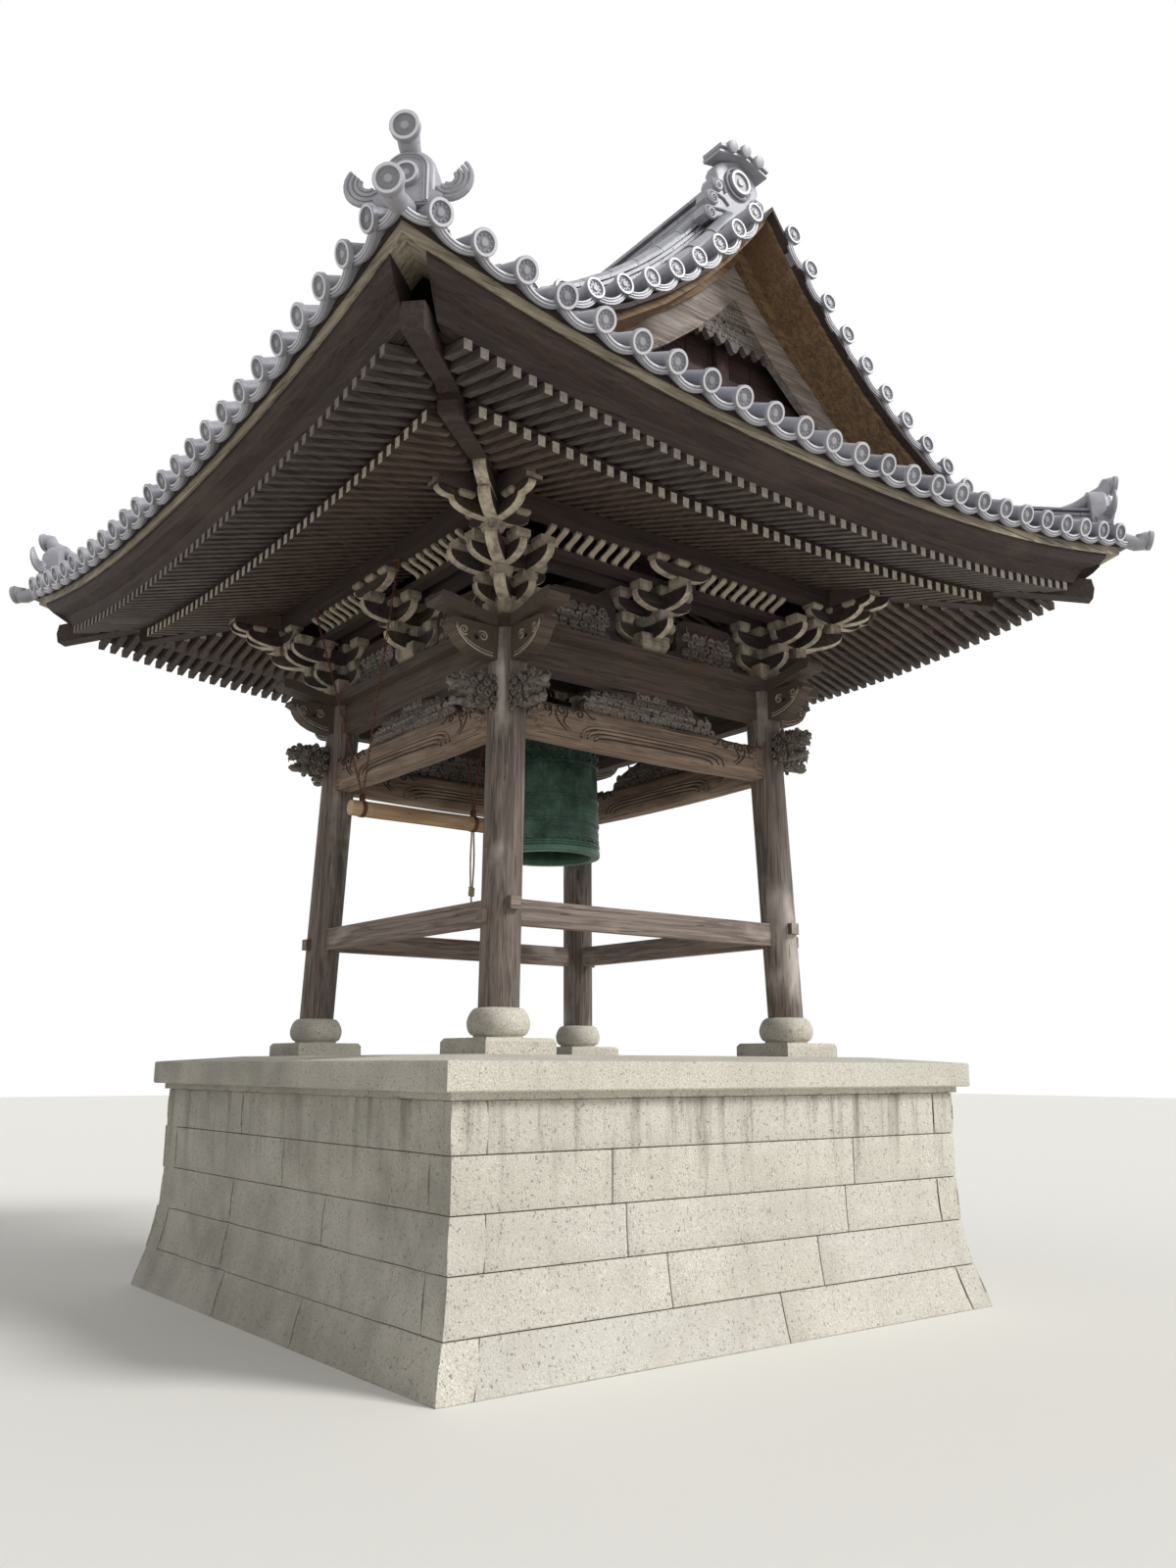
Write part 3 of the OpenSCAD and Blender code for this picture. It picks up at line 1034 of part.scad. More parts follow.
// End tile of the main ridge: a plate with cloud fins, a ringed roundel under a gabled cap, and three
// round bars
ridge_end_side = [[0, 2.2], [2.6, 1.8], [4.6, 1], [7.2, -1.3], [8.3, 0.2], [8.1, 1.6], [6.9, 2.1],
  [7.6, 3.3], [7, 4.5],
  [5.7, 4.8], [6.3, 6], [6, 7.4], [4.8, 7.8], [5.3, 9.2], [4.6, 10.4], [4.9, 11.5], [3.7, 12.6], [0, 13]];
module ridge_end_tile() {
  u = ridge_h / 10;
  z0 = profile(0) + fit;
  y0 = -ridge_end_y;
  cap = in_units([[0, 13.2], [1.5, 13.2], [5.4, 11.9], [5.4, 12.7], [1.6, 14.1], [0, 14.1]], u, z0);
  difference() {
    union() {
      plank(in_units(ridge_end_side, u, z0), u * 2.1, y0 - u * 1.05);
      translate([0, y0 - u * 2, z0 + u * 9.2]) rotate([90, 0, 0]) cylinder(r = u * 2.3, h = u * 0.85);
      plank(cap, u * 3.7, y0 - u * 1.85);
      for (x = [-3.1, 0, 3.1]) translate([x * u, y0 + u * 0.75, z0 + u * (14.9 - abs(x) * 0.3)])
        rotate([102, 0, 0]) cylinder(r = u * 1.05, h = u * 5.8);
    }
    translate([0, y0 - u * 2.6, z0 + u * 9.2]) rotate([90, 0, 0]) cylinder(r = u * 1.8, h = u);
  }
}
module ridge_end_tiles() { color("SteelBlue") two() ridge_end_tile(); }

// Descending ridges beside the verges, from the main ridge down to the heads of the corner ridges
verge_ridge_in = ridge_w / 2 + 12;
verge_ridge_out = verge - 567;
module descending_ridge() {
  loft([for (a = stations(verge_ridge_in, verge_ridge_out)) let (top = slope_top(a, verge_ridge_y) + fit,
      s = ridge_section(side_ridge_w, verge_ridge_h * (1.05 - 0.15 * a / verge_ridge_out)))
    [for (p = s) let (y = verge_ridge_y + p[0]) [-a, -y, p[1] == 0 ? slope_top(a, y) + crease(a, y) + fit
      : top + p[1]]]]);
}
module descending_ridges() {
  color("CadetBlue") corners() union() { descending_ridge(); verge_ridge_end(); }
}
// A small end tile closes each descending ridge
module verge_ridge_end() {
  a = verge_ridge_out;
  z0 = slope_top(a + 40, verge_ridge_y) + 60;
  top = slope_top(a, verge_ridge_y) + verge_ridge_h * 0.9;
  rotate([0, 0, 90]) union() {
    plank([[-verge_ridge_y - 125, z0], [-verge_ridge_y - 150, z0 + 90], [-verge_ridge_y - 90, z0 + 130],
      [-verge_ridge_y - 75, top - 30],
      [-verge_ridge_y - 30, top + 20], [-verge_ridge_y + 30, top + 20], [-verge_ridge_y + 75, top - 30],
        [-verge_ridge_y + 90, z0 + 130],
      [-verge_ridge_y + 150, z0 + 90], [-verge_ridge_y + 125, z0]], 44, a + 20);
  }
}

// Corner ridges along the hips
corner_ridge_in = verge - 347;
corner_ridge_out = roof_half - 190;
// Height of the hip line: straight between the rows' corners once the slopes are mitred
function hip_z(a) = let (i = row_below(a), a0 = slope_rows[i], a1 = slope_rows[i + 1])
  a <= verge ? slope_top(a, a) : mix(slope_z(a0, a0), slope_z(a1, a1), (a - a0) / (a1 - a0));
// Above the verge the main slope rises on one side of a corner ridge, and its foot clears that side
ridge_off = side_ridge_w / sqrt(8);
function ridge_foot(a) = let (o = min(ridge_off, verge - a))
  a < verge ? slope_top(a - o, a + o) + crease(a - o, a + o) + fit : hip_z(a) + fit;
module corner_ridge() {
  rotate([0, 0, 45])
    loft([for (a = concat([corner_ridge_in, verge - ridge_off], stations(verge, corner_ridge_out)))
    [for (p = ridge_section(side_ridge_w, corner_ridge_h))
      [-a * sqrt(2), -p[0], p[1] == 0 ? ridge_foot(a) : hip_z(a) + fit + p[1]]]]);
}
module corner_ridges() { color("CadetBlue") four() corner_ridge(); }
// End tile of a corner ridge: an arched plate with curled fins, a flared roll with its disc above, and
// below it
// the last roll on the hip with its disc over the corner
corner_end_side = [[0, 0.5], [2.6, 0.5], [5.2, 1.2], [6.9, 2.7], [8.8, 4.8], [9.7, 7.3], [9.2, 8.2],
  [8.4, 6], [7.2, 4.9],
  [5.6, 5.2], [4.6, 6.6], [4.4, 10.4], [3.4, 12.9], [2, 14.2], [0, 14.6]];
module corner_end_tile() {
  u = corner_ridge_h / 10;
  diag = sqrt(2);
  a = corner_ridge_out + fit;
  z0 = hip_z(a) + u * 0.4;
  rotate([0, 0, 45]) union() {
    rotate([0, 0, -90]) difference() {
      plank(in_units(corner_end_side, u, z0), u * 2.6, -a * diag - u * 1.3);
      translate([0, -a * diag - u * 2, z0 + u * 7.2]) rotate([90, 0, 0]) cylinder(r = u * 3, h = u);
    }
    translate([-a * diag + u * 1.3, 0, z0 + u * 12.4]) rotate([0, -52, 0]) {
      cylinder(r1 = u * 2.1, r2 = u * 1.9, h = u * 8);
      translate([0, 0, u * 7.6]) cylinder(r = u * 2.72, h = u * 1.45);
    }
    translate([-a * diag - u, 0, z0 + u * 2.6]) rotate([0, -90 + hip_roll_pitch, 0]) {
      cylinder(r = u * 2.3, h = u * 14);
      translate([0, 0, u * 13.6]) cylinder(r = u * 2.8, h = u * 1.45);
    }
  }
}
hip_roll_pitch = 6;
module corner_end_tiles() { color("SteelBlue") four() corner_end_tile(); }

// Bell beam on the wall purlins, and the iron hook that hangs from it
z_hang = z_arm3 + wall_purlin_h + fit;
beam_seat_y = line0 - purlin_w / 2 + 76;
bell_beam_h = 210;
bell_beam_w = 200;
nut_h = 44;
shank_r = 18;
module bell_beam() {
  color("SaddleBrown") difference() {
    box([-bell_beam_w / 2, -beam_seat_y, z_hang], [bell_beam_w / 2, beam_seat_y, z_hang + bell_beam_h]);
    translate([0, 0, z_hang - 5]) cylinder(r = shank_r + fit, h = bell_beam_h + 10);
  }
}
z_crown = z_hang - hang_drop;
z_mouth = z_crown - bell_h;
loop_h = 235;
loop_t = 76;
loop_bar = 44;
loop_sunk = 78;
z_bar = z_crown - loop_sunk + loop_h - loop_bar;
eye_ring = 66;
eye_wire = 15;
z_eye = z_bar + sqrt(pow(eye_ring - eye_wire, 2) - pow(loop_t / 2, 2)) + fit;
module bell_hook() {
  color("DarkSlateGray") union() {
    translate([0, 0, z_eye]) rotate([0, 90, 0]) rotate_extrude() translate([eye_ring, 0])
      circle(r = eye_wire, $fn = 24);
    translate([0, 0, z_eye + eye_ring])
      cylinder(r = shank_r, h = z_hang + bell_beam_h + nut_h + 16 - z_eye - eye_ring);
    translate([0, 0, z_hang - nut_h / 4 - fit]) cylinder(r = shank_r * 3.3, h = nut_h / 4);
    translate([0, 0, z_hang + bell_beam_h + fit]) cylinder(r = shank_r * 3.2, h = nut_h / 4);
    translate([0, 0, z_hang + bell_beam_h + fit]) cylinder(r = shank_r * 1.9, h = nut_h, $fn = 6);
  }
}
function bell_r(t) = bell_d / 2 * (0.976 - 0.045 * t - 0.05 * pow(t, 6));
module bell() {
  r = bell_d / 2;
  band = 9;
  dome = 88;
  side = bell_h - dome;
  function out(h) = bell_r(h / side);
  rings = [0.06, 0.22, 0.4, 0.66, 0.93];
  outer = concat([[r - 7, 0], [r, 8], [r, 44], [out(52), 54]],
    join([for (f = rings)
      let (h = f * side + 6) [[out(h), h], [out(h) + band, h + 5], [out(h) + band, h + 19],
        [out(h), h + 24]]]),
    [for (t = [0 : 18 : 90]) [out(side) * (t == 90 ? 0 : pow(cos(t), 0.45)), side + dome * sin(t)]]);
  inner = concat([[0, bell_h - bell_wall]],
    [for (t = [72 : -18 : 0]) [(out(side) - bell_wall) * pow(cos(t), 0.45),
      side - bell_wall + dome * sin(t)]],
    [[out(side * 0.16) - bell_wall, side * 0.16], [r - bell_lip, 36], [r - bell_lip, 0]]);
  color("SeaGreen") translate([0, 0, z_mouth]) union() {
    rotate_extrude() polygon(concat(outer, inner));
    // the loop on the crown, shaped like two heads back to back
    translate([0, 0, bell_h - loop_sunk]) difference() {
      plank([[-150, 70], [-168, 140], [-128, 205], [-70, loop_h], [70, loop_h], [128, 205], [168, 140],
        [150, 70]], loop_t);
      translate([0, 0, loop_h - loop_bar - 44]) rotate([90, 0, 0]) cylinder(r = 44, h = 100, center = true);
      translate([-44, -50, 78]) cube([88, 100, loop_h - loop_bar - 44 - 78]);
      translate([-44, -50, loop_h - loop_bar - 44]) cube([88, 100, 44]);
    }
  }
}

// Striker: a log on two slings of equal length, so that it stays level as it swings
z_log = z_mouth + 185;
sling_pin_z = min(z_eave, z_hang) - 36;
clevis_gap = 9;
pin_r = 8;
eye_r = 17;
eye_t = 14;
z_hook = z_log + log_r + 34;
head_x = -bell_d / 2 - strike_gap;
spread_in = [-350, 350];
spread_out = [-370, 870];
module rod(a, b, r) {
  v = b - a;
  translate(a) rotate([0, acos(v[2] / norm(v)), atan2(v[1], v[0])]) cylinder(r = r, h = norm(v), $fn = 16);
}
module sling(x, spread) {
  difference() {
    union() {
      for (y = spread) {
        rod([x, sign(y) * 4, z_hook + 6], [x, y, sling_pin_z], 7);
        translate([x, y, sling_pin_z]) rotate([90, 0, 0]) cylinder(r = eye_r, h = eye_t, center = true);
      }
      translate([x, 0, z_hook]) rotate([90, 0, 0]) cylinder(r = eye_r, h = eye_t, center = true);
    }
    translate([x, 0, z_hook]) rotate([90, 0, 0]) cylinder(r = pin_r + 0.5, h = 60, center = true);
    for (y = spread) translate([x, y, sling_pin_z]) rotate([90, 0, 0])
      cylinder(r = pin_r + 0.5, h = 60, center = true);
  }
}
module outer_sling() { color("Firebrick") sling(-sling_out, spread_out); }
module inner_sling() { color("Firebrick") sling(-sling_in, spread_in); }
// Fixed clevises that hold the slings' upper ends
module clevis(x, y, top) {
  ear = eye_t / 2 + clevis_gap;
  translate([x, y, 0]) {
    for (s = [-1, 1]) box([-11, s * (ear + 4) - 4, sling_pin_z - 12], [11, s * (ear + 4) + 4, top - 8 - fit]);
    box([-16, -ear - 14, top - 8 - fit], [16, ear + 14, top - fit]);
    translate([0, 0, sling_pin_z]) rotate([90, 0, 0]) cylinder(r = pin_r, h = 2 * ear + 16, center = true);
  }
}
bar_x = sling_in;
module hanger_bar() {
  color("Sienna") box([-bar_x - 45, -beam_seat_y, z_hang], [-bar_x + 45, beam_seat_y, z_hang + 90]);
}
module sling_eyes() {
  color("DarkSlateGray") {
    for (y = spread_out) clevis(-sling_out, y, z_eave);
    for (y = spread_in) clevis(-sling_in, y, z_hang);
  }
}
module striker_log() {
  tail = head_x - log_l;
  ear = eye_t / 2 + clevis_gap;
  color("Tan") difference() {
    union() {
      translate([tail, 0, z_log]) rotate([0, 90, 0]) cylinder(r = log_r, h = log_l);
      for (x = [-sling_out, -sling_in]) translate([x, 0, 0]) {
        translate([-16, 0, z_log]) rotate([0, 90, 0]) cylinder(r = log_r + 4, h = 32);
        for (s = [-1, 1])
          box([-12, s * (ear + 4) - 4, z_log + log_r - 6], [12, s * (ear + 4) + 4, z_hook + 12]);
        translate([0, 0, z_hook]) rotate([90, 0, 0]) cylinder(r = pin_r, h = 2 * ear + 16, center = true);
      }
    }
  }
}

// The pull rope: two strands from the log's inner band to a knot, and a tail below it
rope_r = 7;
module tube(path, r, sides) {
  n = len(path);
  loft([for (i = [0 : n - 1])
    let (a = path[max(0, i - 1)], b = path[min(n - 1, i + 1)], d = (b - a) / norm(b - a),
    u = cross(d, [0, 1, 0]) / norm(cross(d, [0, 1, 0])), v = cross(d, u))
    [for (j = [0 : sides - 1]) path[i] + r * (cos(360 * j / sides) * u + sin(360 * j / sides) * v)]]);
}
// The strands bow apart between the log and the knot
rope_gap = 8.2;
rope_bow = 6.8;
rope_top = z_log - 60;
rope_fall = 399.6;
knot_drop = 490;
function strand(side, bow) = [for (i = [0 : 15])
  [-sling_in + side * (rope_gap + bow * pow(sin(12 * i), 1.5)), 0, rope_top - rope_fall * i / 15]];
rope_path = strand(1, rope_bow);
strand_path = strand(-1, rope_bow - 1);
module pull_rope() { color("Wheat") tube(rope_path, rope_r, 8); }
module rope_strand() { color("Wheat") tube(strand_path, rope_r, 8); }
module rope_knot() {
  color("Wheat") translate([-sling_in, 0, z_log - knot_drop]) rotate_extrude($fn = 24)
    polygon([[0, 30], [16, 30], [21, 22], [23, 8], [21, -12], [15, -26], [rope_r, -30], [rope_r, -118],
      [rope_r + 4, -140], [0, -140]]);
}

podium_wall();
podium_ledge();
podium_cap();
plinth_stones();
base_stones();
posts();
lower_rails();
rainbow_beams();
lion_nosings();
transom_carvings();
head_ties();
wall_plates();
corner_brackets();
middle_brackets();
frieze_carvings();
wall_purlins();
step_purlins();
eave_purlins();
ribs_front_back();
ribs_sides();
base_rafters_front();
base_rafters_back();
base_rafters_left();
base_rafters_right();
flying_rafters_front();
flying_rafters_back();
flying_rafters_left();
flying_rafters_right();
hip_rafters();
flying_sills();
eave_fascias();
eave_boards();
base_decks();
flying_decks();
roof_slopes();
roof_skirts();
slope_tile_rolls();
skirt_tile_rolls();
gable_walls();
bargeboards();
verge_boards();
gable_pendants();
main_ridge();
ridge_end_tiles();
descending_ridges();
corner_ridges();
corner_end_tiles();
bell_beam();
bell_hook();
bell();
hanger_bar();
sling_eyes();
outer_sling();
inner_sling();
striker_log();
pull_rope();
rope_strand();
rope_knot();
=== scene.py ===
# %% [markdown]
# This lesson dresses a temple bell tower. The timber frame, the roof shell, the podium and everything
# that moves come in as a finished solid model, the frame. Blender adds what the eye reads as age and
# craft: single roof tiles, split granite, carved wood, chain links, rope, and the finish of each material.

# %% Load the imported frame
import random
from math import asin, atan2, copysign, cos, pi, radians, sin, sqrt, tau

import bmesh
import bpy
from mathutils import Matrix, Vector, noise
from mathutils.bvhtree import BVHTree


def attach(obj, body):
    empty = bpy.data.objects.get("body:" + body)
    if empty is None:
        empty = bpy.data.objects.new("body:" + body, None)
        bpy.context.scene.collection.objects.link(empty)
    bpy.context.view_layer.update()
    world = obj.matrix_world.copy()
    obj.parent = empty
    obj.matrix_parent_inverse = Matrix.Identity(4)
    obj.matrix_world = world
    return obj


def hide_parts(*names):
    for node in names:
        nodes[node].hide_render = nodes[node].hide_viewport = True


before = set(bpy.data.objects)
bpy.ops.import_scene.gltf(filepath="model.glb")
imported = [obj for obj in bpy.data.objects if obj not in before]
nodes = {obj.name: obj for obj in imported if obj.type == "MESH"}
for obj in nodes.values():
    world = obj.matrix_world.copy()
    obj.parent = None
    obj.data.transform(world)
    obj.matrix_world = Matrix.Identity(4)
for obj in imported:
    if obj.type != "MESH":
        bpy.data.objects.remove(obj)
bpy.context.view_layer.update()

# %% [markdown]
# Small helpers serve every piece. Three name the ways to place a shape: move, turned and axes. One turns
# a finished bmesh into an object that rides on a body. One lays a pattern many times, because a roof is
# one tile a thousand times over, and gives each copy a number that the materials use to vary its colour.

# %% Helpers for pieces
random.seed(11)
CORNERS = [(x, y) for x in (-1, 1) for y in (-1, 1)]
move, scaled = Matrix.Translation, Matrix.Diagonal


def turned(axis, angle):
    return Matrix.Rotation(angle, 4, axis)


def axes(x, y, z):
    """The turn that takes X, Y and Z to three directions."""
    return Matrix((x, y, z)).transposed().to_4x4()


def placed(name, data):
    """A new object in the scene."""
    made = bpy.data.objects.new(name, data)
    bpy.context.scene.collection.objects.link(made)
    return made


def new_mesh(bm, name, materials=()):
    """A mesh from a bmesh, which is freed."""
    mesh = bpy.data.meshes.new(name)
    for material in materials:
        mesh.materials.append(material)
    bm.to_mesh(mesh)
    bm.free()
    return mesh


def piece(bm, name, material, slot, body="tower", smooth=None, stands_for=(), second=()):
    """An object from a bmesh, with its finish, its body and the CAD nodes that it stands for."""
    bmesh.ops.recalc_face_normals(bm, faces=bm.faces)
    made = placed(name, new_mesh(bm, name, (material, *second)))
    if smooth is not None:
        made.data.shade_smooth()
        made.data.set_sharp_from_angle(angle=radians(smooth))
    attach(made, body)
    if stands_for:
        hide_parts(*stands_for)
    print(name, len(made.data.polygons), "faces")
    return made


def face_layer(bm, name):
    """The layer that keeps a number for each face."""
    return bm.faces.layers.float.get(name) or bm.faces.layers.float.new(name)


def lay(bm, pattern, places, tint=None):
    """Copies of a pattern mesh at each place, each with its own tint between 0 and 1."""
    layer = face_layer(bm, "tint")
    for place in places:
        laid = pattern.copy()
        laid.transform(place)
        start = len(bm.faces)
        bm.from_mesh(laid)
        bpy.data.meshes.remove(laid)
        bm.faces.ensure_lookup_table()
        value = random.random() if tint is None else tint
        for index in range(start, len(bm.faces)):
            bm.faces[index][layer] = value
    return bm


def only(kind, items):
    return [item for item in items if isinstance(item, kind)]


def once(items):
    """Each item once, in the order in which they come."""
    return list(dict.fromkeys(items))


def edges_of(verts):
    return once(edge for vert in verts for edge in vert.link_edges)


def capped_edges(edges):
    """The edges round flat ends, which have more than four corners."""
    return [edge for edge in edges if any(len(face.verts) > 4 for face in edge.link_faces)]


def rounded(bm, edges, offset, segments=1):
    bmesh.ops.bevel(bm, geom=edges, offset=offset, affect="EDGES", segments=segments, profile=0.5,
                    material=-1)


def cone(bm, segments, low, high, depth, place):
    """A round bar or a cone about Z, from the radius low to the radius high."""
    return bmesh.ops.create_cone(bm, cap_ends=True, segments=segments, radius1=low, radius2=high, depth=depth,
                                 matrix=place)["verts"]


def box_bm(low, high, bevel=0.0, bm=None):
    """A box between two corners, its edges flattened if asked, in a new bmesh or added to one."""
    bm = bm or bmesh.new()
    low, high = Vector(low), Vector(high)
    place = move((low + high) / 2) @ scaled((*(high - low), 1))
    made = bmesh.ops.create_cube(bm, size=1, matrix=place)["verts"]
    if bevel:
        rounded(bm, edges_of(made), bevel)
    return bm


# %% [markdown]
# The camera stands where the photographer stood: at the near corner, at a standing person's eye height,
# tilted up a little. The tilt keeps the whole roof in the frame. The lens is a wide one.

# %% Place the camera
CAMERA_AT = Vector((-5.437, -7.568, 1.550))
CAMERA_YAW, CAMERA_PITCH, CAMERA_ROLL = radians(52.43), radians(12.64), radians(0.15)
FOCAL_PIXELS, PHOTO_HEIGHT, FILM = 1284.2, 1600, 36.0

camera_data = bpy.data.cameras.new("photo_camera")
camera_data.sensor_width = FILM
camera_data.lens = FOCAL_PIXELS * FILM / PHOTO_HEIGHT
camera_data.clip_end = 200
camera = placed("photo_camera", camera_data)
ahead = Vector((cos(CAMERA_YAW) * cos(CAMERA_PITCH), sin(CAMERA_YAW) * cos(CAMERA_PITCH), sin(CAMERA_PITCH)))
right = Vector((sin(CAMERA_YAW), -cos(CAMERA_YAW), 0))
camera.matrix_world = move(CAMERA_AT) @ axes(right, right.cross(ahead), -ahead) @ turned("Z", CAMERA_ROLL)
bpy.context.scene.camera = camera
print("lens", round(camera_data.lens, 2), "mm")

# %% [markdown]
# The rope that pulls the striker hangs free, so it comes first. It is laid from three strands: each is
# a small tube that winds round the rope's own line. The line is the one that the solid model follows.

# %% Lines, tubes and rope
ROPE_RADIUS, LAY_LENGTH, SLING_IN, LOG_HEIGHT = 0.007, 0.040, 0.660, 3.250
ROPE_TOP, ROPE_FALL, ROPE_GAP = LOG_HEIGHT - 0.060, 0.3996, 0.0082
FRONT_BOW, BACK_BOW, STRANDS = 0.0068, 0.0058, 3


def smooth_line(points, step):
    """Points a step apart along the curve through the given ones."""
    line = []
    for before, start, end, after in zip([points[0]] + points, points, points[1:], points[2:] + [points[-1]]):
        count = max(1, round((end - start).length / step))
        for part in range(count):
            t = part / count
            line.append(0.5 * (2 * start + (end - before) * t
                               + (2 * before - 5 * start + 4 * end - after) * t * t
                               + (3 * start - before - 3 * end + after) * t ** 3))
    return line + [points[-1]]


def heading(line, index):
    """The way a line runs at one of its points."""
    return (line[min(index + 1, len(line) - 1)] - line[max(index - 1, 0)]).normalized()


def tube(bm, line, radii, sides=8):
    """A tube along a line: a ring of points, extruded from place to place, and capped."""
    side = heading(line, 0).orthogonal().normalized()
    for index, point in enumerate(line):
        forward = heading(line, index)
        side = (side - forward * side.dot(forward)).normalized()
        basis = axes(side, forward.cross(side), forward)
        radius = radii(index / (len(line) - 1)) if callable(radii) else radii
        if index:
            grown = bmesh.ops.extrude_edge_only(bm, edges=edges)["geom"]
            edges = only(bmesh.types.BMEdge, grown)
            carried = (move(point) @ basis @ Matrix.Scale(radius / last_radius, 4)
                       @ last_basis.inverted() @ move(-line[index - 1]))
            bmesh.ops.transform(bm, verts=only(bmesh.types.BMVert, grown), matrix=carried)
        else:
            edges = edges_of(bmesh.ops.create_circle(bm, cap_ends=True, segments=sides, radius=radius,
                                                     matrix=move(point) @ basis)["verts"])
        last_radius, last_basis = radius, basis
    bmesh.ops.contextual_create(bm, geom=edges)


def laid_rope(bm, line):
    """Strands wound round a line, as a rope maker lays them."""
    side = Vector((0, 1, 0))
    for strand in range(STRANDS):
        wound, run = [], 0
        for index, point in enumerate(line):
            run += (point - line[index - 1]).length if index else 0
            angle = tau * (run / LAY_LENGTH + strand / STRANDS)
            across = heading(line, index).cross(side)
            wound.append(point + ROPE_RADIUS * 0.46 * (cos(angle) * side + sin(angle) * across))
        tube(bm, wound, ROPE_RADIUS * 0.56, sides=6)


def rope_line(side, bow):
    """The strands bow apart between the log and the knot, to the front (side 1) or to the back."""
    return [Vector((-SLING_IN + side * (ROPE_GAP + bow * sin(radians(12 * part)) ** 1.5), 0,
                    ROPE_TOP - ROPE_FALL * part / 15)) for part in range(16)]


def line_length(line):
    return sum((b - a).length for a, b in zip(line, line[1:]))


# %% [markdown]
# Materials are easier to read as sums than as wires. The class below wraps one shader socket, so that
# `mask * 0.5 + 0.2` builds the Math nodes by itself. Colours are mixed through Mix nodes, because a
# Math node would turn them grey. A plain triple is a colour as read on a screen, from 0 to 255.

# %% A socket that does arithmetic


class Tone:
    """A shader socket that can be added, multiplied, compared and mixed with."""

    def __init__(self, tree, socket):
        self.tree, self.socket = tree, socket

    def node(self, kind, settings=None, values=None, out=0):
        made = self.tree.nodes.new(kind)
        for name, value in (settings or {}).items():
            setattr(made, name, value)
        for name, value in (values or {}).items():
            if isinstance(value, Tone):
                self.tree.links.new(value.socket, made.inputs[name])
            else:
                made.inputs[name].default_value = value
        return Tone(self.tree, made.outputs[out])

    def math(self, operation, *others):
        return self.node("ShaderNodeMath", {"operation": operation}, dict(enumerate((self, *others))))

    def __add__(self, other):
        return self.math("ADD", other)

    def __sub__(self, other):
        return self.math("SUBTRACT", other)

    def __mul__(self, other):
        return self.math("MULTIPLY", other)

    def __gt__(self, other):
        return self.math("GREATER_THAN", other)

    def fade(self, start, end):
        """0 below start, 1 above end, and smooth between."""
        return self.node("ShaderNodeMapRange", {"interpolation_type": "SMOOTHSTEP"},
                         {"Value": self, "From Min": start, "From Max": end})

    def choose(self, low, high):
        """The colour low where this is 0, high where it is 1."""
        return self.node("ShaderNodeMix", {"data_type": "RGBA"},
                         {0: self, 6: linear(low), 7: linear(high)}, out=2)

    def blend(self, low, high):
        """The number low where this is 0, high where it is 1."""
        return self.node("ShaderNodeMix", {}, {0: self, 2: low, 3: high})

    def stretched(self, x, y, z):
        return self.node("ShaderNodeVectorMath", {"operation": "MULTIPLY"}, {0: self, 1: (x, y, z)})

    def noise(self, scale, detail=4.0, roughness=0.55, distortion=0.0):
        return self.node("ShaderNodeTexNoise", {},
                         {"Vector": self, "Scale": scale, "Detail": detail, "Roughness": roughness,
                          "Distortion": distortion})

    def axis(self, letter):
        return self.node("ShaderNodeSeparateXYZ", {}, {0: self}, out="XYZ".index(letter))

    def facing(self, letter, start, end):
        """1 where a normal looks against an axis."""
        return (self.axis(letter) * -1.0).fade(start, end)

    def face_value(self, name):
        return self.node("ShaderNodeAttribute", {"attribute_name": name}, out=2)


def linear(shade):
    """A screen colour made linear for the shader; a socket or a ready colour stays as it is."""
    if isinstance(shade, Tone) or len(shade) == 4:
        return shade
    parts = [value / 255 for value in shade]
    return (*(part / 12.92 if part <= 0.04045 else ((part + 0.055) / 1.055) ** 2.4 for part in parts), 1.0)


def painted(base, *coats):
    """A colour with others laid over it, each through its mask."""
    for mask, coat in coats:
        base = mask.choose(base, coat)
    return base


def finish_material(name, make):
    """A material whose surface is worked out by make(place, normal), which returns its values."""
    material = bpy.data.materials.new(name)
    material.use_nodes = True
    tree = material.node_tree
    shader = tree.nodes["Principled BSDF"]
    place = Tone(tree, tree.nodes.new("ShaderNodeTexCoord").outputs["Object"])
    made = make(place, Tone(tree, tree.nodes.new("ShaderNodeNewGeometry").outputs["Normal"]))
    depth = made.pop("Depth", 0)
    if "Bump" in made:
        made["Normal"] = place.node("ShaderNodeBump", {}, {"Strength": 1.0, "Distance": depth,
                                                           "Height": made.pop("Bump")})
    for socket, value in made.items():
        if isinstance(value, Tone):
            tree.links.new(value.socket, shader.inputs[socket])
        else:
            shader.inputs[socket].default_value = value
    return material


# %% [markdown]
# Granite is pale grains of feldspar with black mica. Rain streaks it from the top, and each block was
# split from another bed, so each has a tint of its own, read from the block's number.

# %% Granite
CAP_UNDERSIDE = 1.39


